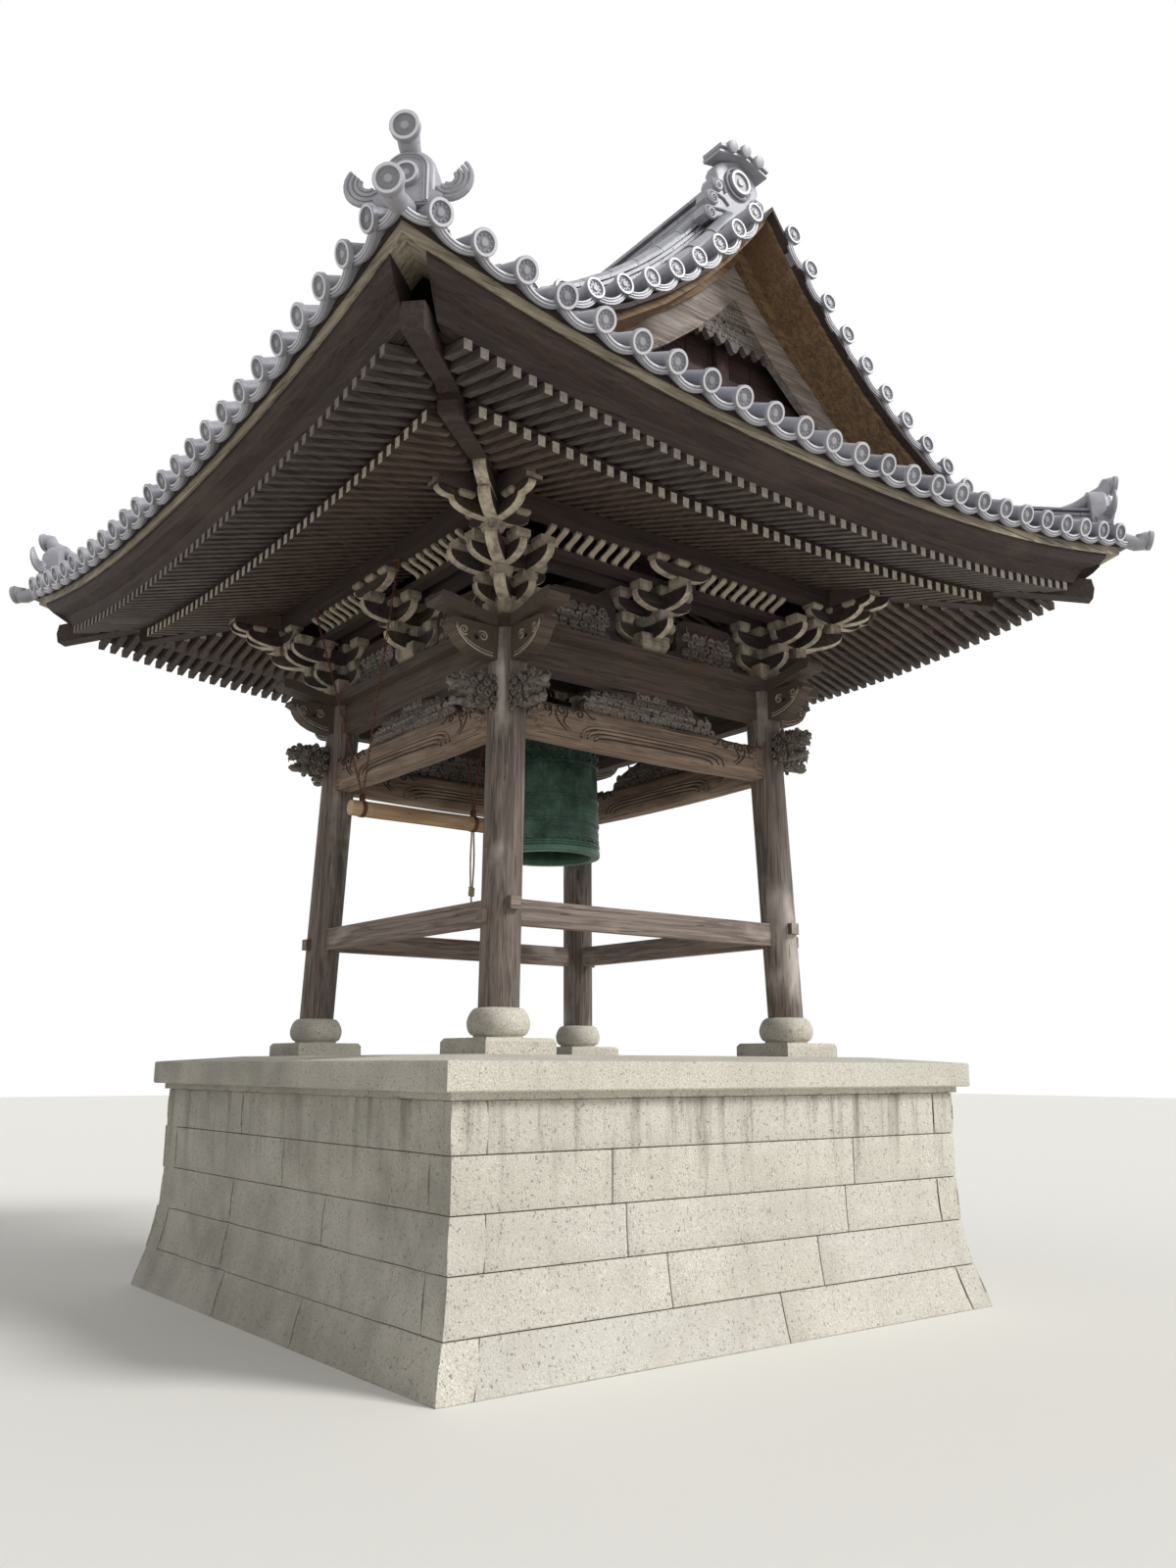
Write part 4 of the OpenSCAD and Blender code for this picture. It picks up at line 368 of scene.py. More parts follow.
def granite(place, normal):
    grains = place.noise(110, 2, 0.7).fade(0.40, 0.62)
    mica = place.stretched(1, 1, 0.8).noise(60, 3, 0.75).fade(0.575, 0.66)
    clouds = place.noise(1.7, 5, 0.6).fade(0.35, 0.7)
    streaks = place.stretched(6, 6, 0.55).noise(1.6, 5, 0.65).fade(0.47, 0.72)
    height = place.axis("Z")
    under_cap = height.fade(0.75, 1.38) * ((height > CAP_UNDERSIDE) * -1.0 + 1.0)
    stone = painted(grains.choose((200, 194, 180), (234, 229, 216)),
                    (place.face_value("tint") * 0.5, (206, 204, 198)),
                    (clouds * 0.40, (186, 180, 166)),
                    (streaks * (under_cap * 0.75 + 0.12), (126, 121, 108)),
                    # Painted shade: the faces that look towards -X are darkened, as the side that the light
                    # does not reach.
                    (normal.facing("X", 0.35, 0.9) * (clouds * 0.30 + 0.42), (128, 125, 116)),
                    (mica * 0.70, (84, 82, 78)))
    return {"Base Color": stone, "Roughness": grains * 0.1 + 0.78,
            "Bump": place.noise(38, 6, 0.7) * 0.8 + grains * 0.25, "Depth": 0.006}


# %% [markdown]
# All the timber is the same old zelkova and pine, but weather treats each place in its own way, and some
# places also carry painted shade and painted light. One recipe takes four colours and the way the grain
# runs. The grain is noise drawn out along the wood, with fine dark checks where it has split, and end grain
# shows wherever a face looks along the fibres. Faces that look down can be whitened: a painted highlight.

# %% Timber


def timber(run, low, high, pale, end, worn=0.35, pale_below=0.0, end_look=0.75):
    """One kind of timber: run is x, y, z, or ring for pieces on all four sides.

    The argument after worn whitens what faces down: a painted highlight on the undersides."""
    def make(place, normal):
        x, y, z = place.axis("X"), place.axis("Y"), place.axis("Z")
        if run == "ring":
            side = x.math("ABSOLUTE") > y.math("ABSOLUTE")
            order = side.blend(x, y), side.blend(y, x), z
            along = side.blend(normal.axis("X"), normal.axis("Y"))
        else:
            order = {"x": (x, y, z), "y": (y, x, z), "z": (z, x, y)}[run]
            along = normal.axis(run.upper())
        grain = place.node("ShaderNodeCombineXYZ", {}, dict(enumerate(order)))
        warp = grain.stretched(0.9, 3, 3).noise(1.5, 3, 0.5, 0.6)
        waves = grain.stretched(0.35, 9, 9).noise(3.4, 6, 0.62, 1.4)
        fibres = grain.stretched(1.6, 60, 60).noise(3, 3, 0.6)
        splits = grain.stretched(0.5, 16, 16).noise(4.5, 2, 0.5, 0.8).fade(0.655, 0.70)
        blotch = place.noise(1.9, 4, 0.6).fade(0.38, 0.68)
        rings = place.noise(60, 3, 0.6).fade(0.3, 0.75)
        split_dark = tuple(value * 0.28 for value in linear(low)[:3]) + (1.0,)
        wood = painted(waves.fade(0.36, 0.64).choose(low, high),
                       (fibres.fade(0.42, 0.7) * 0.45, low),
                       (warp.fade(0.5, 0.72) * blotch * worn, pale),
                       (splits * 0.75, split_dark),
                       (along.math("ABSOLUTE").fade(end_look, end_look + 0.1),
                        (rings * 0.5).choose(end, low)))
        if pale_below:
            # Painted highlight: faces that look down are whitened.
            wood = (normal.facing("Z", 0.2, 0.75) * (blotch * 0.45 + 0.55) * pale_below).choose(wood, pale)
        return {"Base Color": wood, "Roughness": waves * 0.2 + 0.66,
                "Bump": waves * 0.55 + fibres * 0.4 - splits * 0.9, "Depth": 0.004}
    return make


# %% [markdown]
# The tiles are smoked clay: grey with a faint silver skin that catches the sky, duller where lichen and
# dust sit. The tint of each tile moves it between a bluish and a brownish grey. Their rims carry a painted
# highlight, and their undersides, sunk fields and ridge beds carry painted shade.

# %% Roof tile, bronze, iron and rope
# A face's rim number: above 0 it is a painted highlight on the tiles and paleness on the brackets that is
# partly painted light; below 0 it is painted shade.
RIM = "rim"


def roof_clay(place, normal):
    cloud = place.noise(9, 5, 0.65)
    specks = place.noise(70, 3, 0.7).fade(0.56, 0.72)
    rim = place.face_value(RIM)
    clay = painted(place.face_value("tint").choose((136, 138, 147), (168, 168, 175)),
                   (cloud.fade(0.45, 0.75) * 0.5, (196, 195, 200)),
                   (specks * 0.35, (96, 95, 94)),
                   # Painted highlight: faces marked as rims are whitened.
                   (rim * 0.85, (226, 224, 230)),
                   # Painted shade: faces with a negative rim number, the sunk fields and the ridge beds, are
                   # darkened.
                   (rim * -0.8, (84, 82, 88)),
                   # Painted shade: faces that look down are darkened.
                   (normal.facing("Z", 0.1, 0.7) * 0.35, (104, 101, 104)))
    return {"Base Color": clay, "Roughness": cloud * 0.25 + 0.30, "Metallic": 0.0,
            "Bump": cloud * 0.6 + specks * 0.3, "Depth": 0.0016}


def bronze(place, normal):
    height = place.axis("Z")
    runs = place.stretched(14, 14, 0.8).noise(1.7, 5, 0.65)
    cloud = place.noise(6, 5, 0.6)
    crust = place.noise(42, 4, 0.65).fade(0.5, 0.66)
    skin = painted(cloud.fade(0.35, 0.68).choose((42, 66, 56), (76, 108, 92)),
                   (runs.fade(0.45, 0.72) * 0.6, (30, 40, 34)),
                   (crust * 0.30, (104, 138, 118)),
                   (height.fade(3.17, 3.08) * 0.5, (104, 146, 124)),
                   (height.fade(3.85, 4.15) * 0.45, (52, 54, 44)))
    return {"Base Color": skin, "Roughness": crust * 0.25 + 0.42, "Metallic": 0.35,
            "Bump": cloud * 0.4 + crust * 0.5, "Depth": 0.0015}


def rusty(place, normal):
    flakes = place.noise(55, 5, 0.7)
    iron = flakes.fade(0.35, 0.68).choose((58, 40, 32), (132, 84, 54))
    return {"Base Color": iron, "Roughness": flakes * 0.3 + 0.6, "Metallic": 0.25, "Bump": flakes,
            "Depth": 0.0012}


def rope_yarn(place, normal):
    fibres = place.stretched(1, 1, 0.25).noise(420, 3, 0.7)
    yarn = fibres.fade(0.3, 0.7).choose((120, 108, 82), (186, 172, 138))
    return {"Base Color": yarn, "Roughness": 0.9, "Bump": fibres, "Depth": 0.0006}


# %% [markdown]
# Now the finishes themselves. The posts have gone silver where rain reaches them, the beams are tan,
# the brackets are nearly black, partly as painted shade under the roof, with paler undersides that are
# partly painted light, and the rafters' sawn ends are bleached. Each node of the frame keeps its shape
# and takes one of these finishes.

# %% Mix the finishes and dress the frame's own solids
bare = set(nodes)


def dress(names, material):
    """The material, once it is on the nodes with these names."""
    for name in names.split():
        nodes[name].data.materials.clear()
        nodes[name].data.materials.append(material)
        bare.remove(name)
    return material


def wood(names, material_name, *recipe, **more):
    return dress(names, finish_material(material_name, timber(*recipe, **more)))


STONE = dress("podium_wall podium_ledge podium_cap plinth_stones base_stones",
              finish_material("granite", granite))
CLAY = dress("roof_slopes roof_skirts main_ridge ridge_end_tiles descending_ridges corner_ridges "
             "corner_end_tiles slope_tile_rolls skirt_tile_rolls", finish_material("roof_clay", roof_clay))
BRONZE = dress("bell", finish_material("green_bronze", bronze))
IRON = dress("bell_hook sling_eyes outer_sling inner_sling", finish_material("rusty_iron", rusty))
YARN = dress("pull_rope rope_strand rope_knot", finish_material("rope_yarn", rope_yarn))
wood("posts", "post_wood", "z", (76, 66, 60), (126, 113, 104), (186, 176, 168), (120, 100, 84), worn=1.1)
wood("lower_rails", "rail_wood", "ring", (94, 80, 72), (146, 132, 122), (180, 170, 160), (100, 82, 68),
     worn=0.8)
wood("head_ties wall_plates bell_beam hanger_bar", "tie_wood", "ring", (58, 46, 40), (88, 74, 64),
     (120, 104, 88), (84, 72, 62), pale_below=0.15)
# Painted shade: the rafters' dark brown is partly the wood's own and partly shade under the roof.
for run, one, other in (("y", "front", "back"), ("x", "left", "right")):
    wood(f"base_rafters_{one} base_rafters_{other}", "rafter_wood_" + run, run,
         (58, 44, 38), (92, 76, 66), (122, 106, 92), (216, 208, 194))
    wood(f"flying_rafters_{one} flying_rafters_{other}", "flying_wood_" + run, run,
         (56, 46, 42), (88, 78, 72), (122, 114, 108), (128, 118, 110))
BEAM = wood("rainbow_beams", "beam_wood", "ring", (96, 78, 66), (146, 124, 106), (176, 158, 140),
            (120, 98, 80), worn=0.6)
RIB = wood("ribs_front_back ribs_sides", "rib_wood", "z", (116, 108, 96), (172, 162, 144), (200, 192, 176),
           (170, 156, 132), worn=0.5, pale_below=0.3)
CARVING = wood("lion_nosings gable_pendants", "carving_wood", "ring", (74, 66, 60), (134, 126, 118),
               (172, 166, 158), (110, 102, 94), worn=0.6)
# Painted shade: the soffit's near black is partly the wood's own and partly shade under the roof.
SOFFIT = wood("wall_purlins step_purlins eave_purlins hip_rafters flying_sills eave_fascias base_decks "
              "flying_decks transom_carvings frieze_carvings corner_brackets middle_brackets", "soffit_wood",
              "ring", (40, 29, 26), (66, 50, 44), (98, 82, 72), (88, 72, 62))
PALE = wood("eave_boards", "pale_board", "ring", (112, 102, 88), (170, 160, 140), (204, 194, 172),
            (160, 146, 120), worn=0.7)
BARGE = wood("bargeboards", "barge_wood", "x", (112, 98, 88), (160, 150, 142), (196, 190, 184),
             (130, 116, 102), worn=0.8)
GABLE = wood("gable_walls", "gable_wood", "x", (40, 24, 24), (66, 42, 40), (84, 60, 54), (80, 60, 52),
             worn=0.3)
VERGE = wood("verge_boards", "verge_wood", "x", (96, 72, 50), (142, 114, 80), (176, 152, 116),
             (130, 104, 76), worn=0.5)
LOG = wood("striker_log", "log_wood", "x", (150, 120, 88), (186, 158, 122), (208, 188, 156), (196, 170, 132),
           worn=0.5)
print("without a finish:", sorted(bare))

# %% [markdown]
# The two strands of the rope meet in a whipped knot: a few tight turns round both, and the loose tail
# hanging below. Each turn is a ring of rope, tipped a little; the tail is laid like the rope above.

# %% Tie the knot
KNOT_HEIGHT, TAIL_END, TURN_PITCH = 2.760, 2.645, 0.0125
bm = bmesh.new()
for turn in range(5):
    middle = Vector((-SLING_IN, 0, KNOT_HEIGHT + 0.026 - turn * TURN_PITCH))
    reach = 0.0165 if turn in (0, 4) else 0.0175
    angles = [tau * t / 20 for t in range(21)]
    tube(bm, [middle + Vector((reach * cos(angle), reach * sin(angle), 0.0045 * sin(angle + turn)))
              for angle in angles], 0.0062)
cone(bm, 14, 0.0135, 0.0135, 0.060, move((-SLING_IN, 0, KNOT_HEIGHT)))
tail_top = KNOT_HEIGHT - 0.02
laid_rope(bm, [Vector((-SLING_IN + 0.0012 * sin(t * 0.6), 0, tail_top - (tail_top - TAIL_END) * t / 24))
               for t in range(25)])
knot = piece(bm, "rope_wraps", YARN, "rope_fibre", body="striker", smooth=60, stands_for=["rope_knot"])

# %% [markdown]
# Each strand's real length is measured along its line and printed. Extruding leaves the faces in another
# order at each run, so they are sorted along a slanted line; then the strand's measures come out the same
# every time.

# %% Lay the rope's two strands
SLANTED = Vector((0.31, 0.73, 1.00))
for name, node_name, side, bow in (("rope_front", "pull_rope", 1, FRONT_BOW),
                                   ("rope_back", "rope_strand", -1, BACK_BOW)):
    line = smooth_line(rope_line(side, bow), 0.006)
    bm = bmesh.new()
    laid_rope(bm, line)
    bm.faces.sort(key=lambda face: face.calc_center_median().dot(SLANTED))
    rope = piece(bm, name, YARN, "rope_fibre", body="striker", smooth=60, stands_for=[node_name])
    line_length(line)
    print(name, round(line_length(line), 3), "m")

# %% [markdown]
# The roof is laid in the old way: broad hollow tiles side by side in courses, and a line of arched tiles
# over each joint. Under them lies a bed of clay and boards, which is the solid model's shell. The shell
# is cut back from the eave, where only tiles stand out, and its top is let down to make room for them.

# %% Cut the bed of the roof
TILE_PITCH, EAVE_PLANE, VERGE_PLANE, ROOF_HALF = 0.2415, 3.120, 2.500, 3.130
BED_HALF, BED_DROP = 3.045, 0.022


def own_copy(*names):
    """A merged bmesh of some CAD nodes, free to change."""
    bm = bmesh.new()
    for name in names:
        bm.from_mesh(nodes[name].data)
    bmesh.ops.remove_doubles(bm, verts=bm.verts, dist=0.00001)
    bmesh.ops.recalc_face_normals(bm, faces=bm.faces)
    return bm


def cut(bm, point, outward):
    """Cut away what lies beyond a plane, and close the cut."""
    geometry = bm.verts[:] + bm.edges[:] + bm.faces[:]
    made = bmesh.ops.bisect_plane(bm, geom=geometry, dist=0.00001, plane_co=point, plane_no=outward,
                                  clear_outer=True)["geom_cut"]
    bmesh.ops.holes_fill(bm, edges=only(bmesh.types.BMEdge, made), sides=0)


shell_tree = BVHTree.FromBMesh(own_copy("roof_slopes"))
roof_bed = own_copy("roof_slopes", "roof_skirts")
for outward in (Vector((1, 0, 0)), Vector((-1, 0, 0)), Vector((0, 1, 0)), Vector((0, -1, 0))):
    cut(roof_bed, outward * BED_HALF, outward)
bmesh.ops.translate(roof_bed, verts=[vert for vert in roof_bed.verts if vert.normal.z > 0],
                    vec=(0, 0, -BED_DROP))
bmesh.ops.recalc_face_normals(roof_bed, faces=roof_bed.faces)
for face in roof_bed.faces:
    face.material_index = int(face.normal.z < 0.4)
piece(roof_bed, "roof_bed", CLAY, "roof_tile", stands_for=("roof_slopes", "roof_skirts"), second=[SOFFIT])

# %% [markdown]
# Every tile needs a place: how far along the eave, how far out from the middle, and how the roof leans
# there. The roof is steep at the ridge, flattens to the eave, and lifts towards the corners. The curve
# below is the one the solid shell follows, so a tile's place comes from the curve and its slope.

# %% Find a tile's place
ROOF_EAVE_Z, ROOF_RISE, CORNER_RISE = 5.035, 2.123, 0.346


def roof_height(out, along):
    s = out / ROOF_HALF
    straight = ROOF_EAVE_Z + ROOF_RISE * (1 - s * (2.07 + s * (-1.84 + s * 0.77)))
    return straight + CORNER_RISE * (min(abs(along), ROOF_HALF) / ROOF_HALF) ** 2.2 * s ** 1.5


def plan(side, along, out):
    return {"front": (along, -out), "right": (out, along),
            "back": (-along, out), "left": (-out, -along)}[side]


def roof_point(side, along, out):
    return Vector((*plan(side, along, out), roof_height(out, along)))


def roof_place(side, along, out, lift=0.0):
    """X runs along the eave, Y up the slope and Z off the roof."""
    up = (roof_point(side, along, out - 0.02) - roof_point(side, along, out + 0.02)).normalized()
    across = (roof_point(side, along + 0.02, out) - roof_point(side, along - 0.02, out)).normalized()
    off = across.cross(up).normalized()
    return move(roof_point(side, along, out) + off * lift) @ axes(up.cross(off), up, off)


misses = [abs(shell_tree.ray_cast(Vector((out, 0.3, 9)), Vector((0, 0, -1)))[0].z - roof_height(out, 0.3))
          for out in (0.35, 0.9, 1.6, 2.0, 2.76, 3.03)]
print("the curve follows the shell within", round(max(misses) * 1000, 1), "mm")

# %% [markdown]
# Each kind of tile is shaped once. An arched tile is half of a slightly tapered tube: a cone with its
# lower half cut away. A hollow tile is a thin strip spun through part of a circle. The tile at the eave
# ends in a disc with a raised rim, a ring of beads and a plain boss.

# %% Shape the tiles


def mark_rim(bm, test, value=1.0):
    layer = face_layer(bm, RIM)
    for face in bm.faces:
        if test(face):
            face[layer] = value


def arched(length, radius, taper=0.94, keep=-0.25):
    """Half a tapered tube along Y, its wide end at the origin."""
    bm = bmesh.new()
    cone(bm, 14, radius, radius * taper, length, move((0, length / 2, 0)) @ turned("X", -pi / 2))
    cut(bm, (0, 0, radius * keep), (0, 0, -1))
    return bm


def hollow(profile, half_width, sag, steps):
    """An outline in Y and Z, swept along the arc that a hollow tile makes across the slope."""
    bm = bmesh.new()
    arc_radius = (half_width ** 2 + sag ** 2) / (2 * sag)
    half_angle = asin(half_width / arc_radius)
    loop = [bm.verts.new((0, y, z)) for y, z in profile]
    edges = [bm.edges.new((a, b)) for a, b in zip(loop, loop[1:] + loop[:1])]
    centre = (0, 0, arc_radius)
    bmesh.ops.rotate(bm, verts=loop, cent=centre, matrix=Matrix.Rotation(half_angle, 3, "Y"))
    swept = bmesh.ops.spin(bm, geom=loop + edges, cent=centre, axis=(0, 1, 0), angle=-2 * half_angle,
                           steps=steps, use_merge=False)["geom_last"]
    bmesh.ops.contextual_create(bm, geom=edges)
    bmesh.ops.contextual_create(bm, geom=only(bmesh.types.BMEdge, swept))
    return bm


def end_disc(bm, radius, thick, beads=0, at=Matrix()):
    """A disc facing -Y: raised rim, sunk field, a ring of beads and a plain boss."""
    disc = bmesh.new()
    cone(disc, 24, radius, radius, thick, move((0, thick / 2, 0)) @ turned("X", pi / 2))

    def front():
        return min((face for face in disc.faces if len(face.verts) > 4),
                   key=lambda face: face.calc_center_median().y)
    rounded(disc, list(front().edges), radius * 0.05)
    bmesh.ops.inset_region(disc, faces=[front()], thickness=radius * 0.19)
    # Painted highlight: the faces of the raised rim round the field are marked to be whitened.
    layer = face_layer(disc, RIM)
    field = front()
    for edge in field.edges:
        for face in edge.link_faces:
            if face is not field:
                face[layer] = 1.0
    bmesh.ops.inset_region(disc, faces=[field], thickness=radius * 0.04, depth=-radius * 0.15)
    # Painted shade: the sunk field is marked to be darkened.
    front()[layer] = -0.6
    for index in range(beads):
        angle = tau * index / beads
        place = move((radius * 0.56 * cos(angle), radius * 0.13, radius * 0.56 * sin(angle)))
        bmesh.ops.create_icosphere(disc, subdivisions=1, radius=radius * 0.085, matrix=place)
    cone(disc, 12, radius * 0.34, radius * 0.26, radius * 0.12,
         move((0, radius * 0.10, 0)) @ turned("X", pi / 2))
    done = new_mesh(disc, "disc")
    done.transform(at)
    bm.from_mesh(done)
    bpy.data.meshes.remove(done)


ARCH = new_mesh(arched(0.285, 0.062), "arch")
PAN = new_mesh(hollow([(0, 0.0), (0.19, -0.010), (0.19, -0.022), (0, -0.018)], 0.119, 0.040, 4), "pan")
disc_tile = arched(0.30, 0.056, taper=1.0, keep=-1.2)
bmesh.ops.translate(disc_tile, verts=disc_tile.verts, vec=(0, 0.022, 0))
face_layer(disc_tile, RIM)
end_disc(disc_tile, 0.067, 0.028, beads=10)
DISC_TILE = new_mesh(disc_tile, "disc_tile")
lip = [(0.012, 0.0), (-0.013, 0.003), (-0.016, -0.001), (-0.016, -0.006), (-0.009, -0.009),
       (-0.009, -0.014), (-0.014, -0.017), (-0.014, -0.022), (-0.008, -0.025), (-0.008, -0.036),
       (0.006, -0.038), (0.011, -0.024), (0.26, -0.030), (0.26, -0.010)]
crescent = hollow(lip, 0.108, 0.040, 8)
# Painted highlight: the front of the lip is marked to be whitened.
mark_rim(crescent, lambda face: face.calc_center_median().y < -0.0125)
CRESCENT = new_mesh(crescent, "crescent")
print("faces of a disc tile", len(DISC_TILE.polygons), "and of a crescent tile", len(CRESCENT.polygons))

# %% [markdown]
# Now the rows are laid. On the left and right they run up to the ridge; under the gables they stop at
# the gable wall; past that they stop at the corner ridge. The tiles beside the gable's edge lie across
# the slope instead, so their discs follow the gable.

# %% Lay the rows
ARCH_STEP, PAN_STEP, RIDGE_EDGE, WALL_FOOT, VERGE_IN = 0.262, 0.135, 0.10, 1.965, 2.20
LAST_FULL_ROW, LAST_WALL_ROW, FIRST_HIP_COURSE = 2.10, 1.75, 2.47
DISC_LIFT, ARCH_LIFT, PAN_LIFT, CRESCENT_LIFT = 0.050, 0.056, 0.018, -0.016
DISC_OUT, CRESCENT_OUT = EAVE_PLANE + 0.006, EAVE_PLANE - 0.028
FIRST_ARCH, FIRST_PAN = EAVE_PLANE - 0.23, EAVE_PLANE - 0.13


def row_top(side, along):
    """How far up a row runs, measured out from the middle."""
    if side in ("left", "right"):
        return RIDGE_EDGE if abs(along) < LAST_FULL_ROW else max(abs(along) + 0.05, FIRST_HIP_COURSE)
    return WALL_FOOT if abs(along) < LAST_WALL_ROW else abs(along) + 0.16


def slope_stations(along, start, end, step):
    """Distances from the middle, a step apart along the slope, from the eave upwards."""
    out, found = start, []
    while out > end:
        found.append(out)
        steep = (roof_height(out - 0.02, along) - roof_height(out + 0.02, along)) / 0.04
        out -= step / sqrt(1 + steep * steep)
    return found


def tiles(name, pattern, places, **more):
    """A piece of fired clay: one pattern at many places."""
    return piece(lay(bmesh.new(), pattern, places), name, CLAY, "roof_tile", smooth=40, **more)


round_places, pan_places, disc_places, crescent_places = [], [], [], []
for side in ("front", "right", "back", "left"):
    for k in range(-12, 13):
        along = k * TILE_PITCH
        disc_places.append(roof_place(side, along, DISC_OUT, DISC_LIFT))
        for out in slope_stations(along, FIRST_ARCH, row_top(side, along) + 0.10, ARCH_STEP):
            round_places.append(roof_place(side, along, out, ARCH_LIFT))
    for k in range(-12, 12):
        along = (k + 0.5) * TILE_PITCH
        crescent_places.append(roof_place(side, along, CRESCENT_OUT, CRESCENT_LIFT))
        for out in slope_stations(along, FIRST_PAN, row_top(side, along) + 0.02, PAN_STEP):
            pan_places.append(roof_place(side, along, out, PAN_LIFT))
corner_tiles = bmesh.new()
for side in ("front", "right", "back", "left"):
    for k in (-12.5, 12.5):
        for pattern, out, lift in ((CRESCENT, CRESCENT_OUT, CRESCENT_LIFT), (PAN, FIRST_PAN, PAN_LIFT)):
            corner_bm = lay(bmesh.new(), pattern, [roof_place(side, k * TILE_PITCH, out, lift)])
            cut(corner_bm, (0, 0, 0), Vector((*plan(side, copysign(1, k), -1), 0)))
            lay(corner_tiles, new_mesh(corner_bm, "corner_cut"), [Matrix()])
CORNER_TILES = new_mesh(corner_tiles, "corner_tiles")
tiles("round_tiles", ARCH, round_places, stands_for=("slope_tile_rolls", "skirt_tile_rolls"))
tiles("pan_tiles", PAN, pan_places)
tiles("eave_discs", DISC_TILE, disc_places)
bm = lay(bmesh.new(), CRESCENT, crescent_places)
piece(lay(bm, CORNER_TILES, [Matrix()]), "eave_crescents", CLAY, "roof_tile", smooth=40)

# %% [markdown]
# At the gable's edge short tiles lie across the slope, each with its disc facing out, with crescent
# tiles between. A roll of arched tiles runs down the slope over their inner ends.

# %% Lay the verge tiles
VERGE_STEP, ROLL_LIFT = 0.245, 0.10


def upward(direction):
    return direction if direction.z > 0 else -direction


def verge_place(sign_x, sign_y, out, lift, shift):
    """X down the slope, Y inwards from the gable's edge, Z off the roof."""
    def point(distance):
        return Vector((sign_x * distance, sign_y * (VERGE_PLANE + shift), roof_height(distance, VERGE_PLANE)))
    inwards = Vector((0, -sign_y, 0))
    off = upward((point(out + 0.02) - point(out - 0.02)).normalized().cross(inwards))
    return move(point(out) + off * lift) @ axes(inwards.cross(off), inwards, off)


verge_discs, verge_crescents, verge_roll = [], [], []
for sign_x, sign_y in CORNERS:
    stations = slope_stations(VERGE_PLANE, 2.40, 0.03, VERGE_STEP)
    verge_discs += [verge_place(sign_x, sign_y, out, DISC_LIFT, 0.022) for out in stations]
    verge_crescents += [verge_place(sign_x, sign_y, (out + higher) / 2, CRESCENT_LIFT, -0.010)
                        for out, higher in zip(stations, stations[1:])]
    side, along = ("left", -VERGE_IN * sign_y) if sign_x < 0 else ("right", VERGE_IN * sign_y)
    verge_roll += [roof_place(side, along, out, ROLL_LIFT)
                   for out in slope_stations(along, 2.42, 0.12, ARCH_STEP)]
tiles("verge_discs", DISC_TILE, verge_discs)
tiles("verge_crescents", CRESCENT, verge_crescents)
tiles("verge_rolls", ARCH, verge_roll)

# %% [markdown]
# Each ridge is a wall of thin flat tiles, laid course on course with staggered joints over a bed of clay,
# which is darkened as painted shade where it shows between the courses. A line of arched tiles closes it.
# One function stacks any ridge, because all it needs is the line that a course follows at each height.

# %% Stack the ridges
FLAT_LENGTH, FLAT_GAP, FLAT_SHARE, CAP_LENGTH = 0.29, 0.005, 0.68, 0.27
MAIN_HALF, DESCENT_LINE, DESCENT_END, CORNER_AT = 2.096, 2.0, 1.955, 2.94
BRICK = new_mesh(box_bm((-0.5, 0, 0), (0.5, 1, 1)), "flat_tile")


def along_line(points, step, shift=0.0):
    """Pairs of points a step apart along a line, the last one at its end."""
    lengths = [(b - a).length for a, b in zip(points, points[1:])]
    total = sum(lengths)

    def at(distance):
        for a, b, length in zip(points, points[1:], lengths):
            if distance <= length:
                return a.lerp(b, distance / length)
            distance -= length
        return points[-1]
    marks = [0.0] + [shift + step * index for index in range(1 if shift < step * 0.2 else 0, 99)
                     if shift + step * index < total - step * 0.2] + [total]
    return [(at(a), at(b)) for a, b in zip(marks, marks[1:])]


def beside_and_off(forward):
    """The level direction across a run, and the one that stands off it."""
    across = Vector((0, 0, 1)).cross(forward).normalized()
    return across, upward(forward.cross(across))


def brick_place(start, end, top, width, gap):
    """A flat tile from one point to the next along its course, as thick as the course."""
    run = end - start
    forward = run.normalized()
    across, off = beside_and_off(forward)
    return move(start) @ axes(across * width, forward * (run.length - gap), off * (top - start).dot(off))


def stack(bricks, cores, line, courses):
    """Courses of flat tiles, each given as its low and high level and its width; line(level) is its line."""
    for index, (low, high, width) in enumerate(courses):
        rise = line(high)[0] - line(low)[0]
        for a, b in along_line(line(low), FLAT_LENGTH, FLAT_LENGTH * (0.5 if index % 2 else 0.02)):
            bricks.append(brick_place(a, b, a + rise, width, FLAT_GAP))
    low, high = courses[0][0], courses[-1][1]
    rise = line(high)[0] - line(low)[0]
    narrow = min(width for _, _, width in courses) - 0.035
    for a, b in along_line(line(low), FLAT_LENGTH):
        cores.append(brick_place(a, b, a + rise * 0.97, narrow, -0.004))


def main_line(level):
    return [Vector((0, y, roof_height(0, 0) + level * (1 + 0.075 * (y / 2.1) ** 2)))
            for y in (part * MAIN_HALF / 8 for part in range(-8, 9))]


def courses(first, last, count, wide, narrow):
    """Levels and widths of a stack; every second course stands out a little."""
    step = (last - first) / count
    return [(first + step * i, first + step * (i + FLAT_SHARE), wide + (narrow - wide) * i / (count - 1)
             - (0.014 if i % 2 else 0)) for i in range(count)]


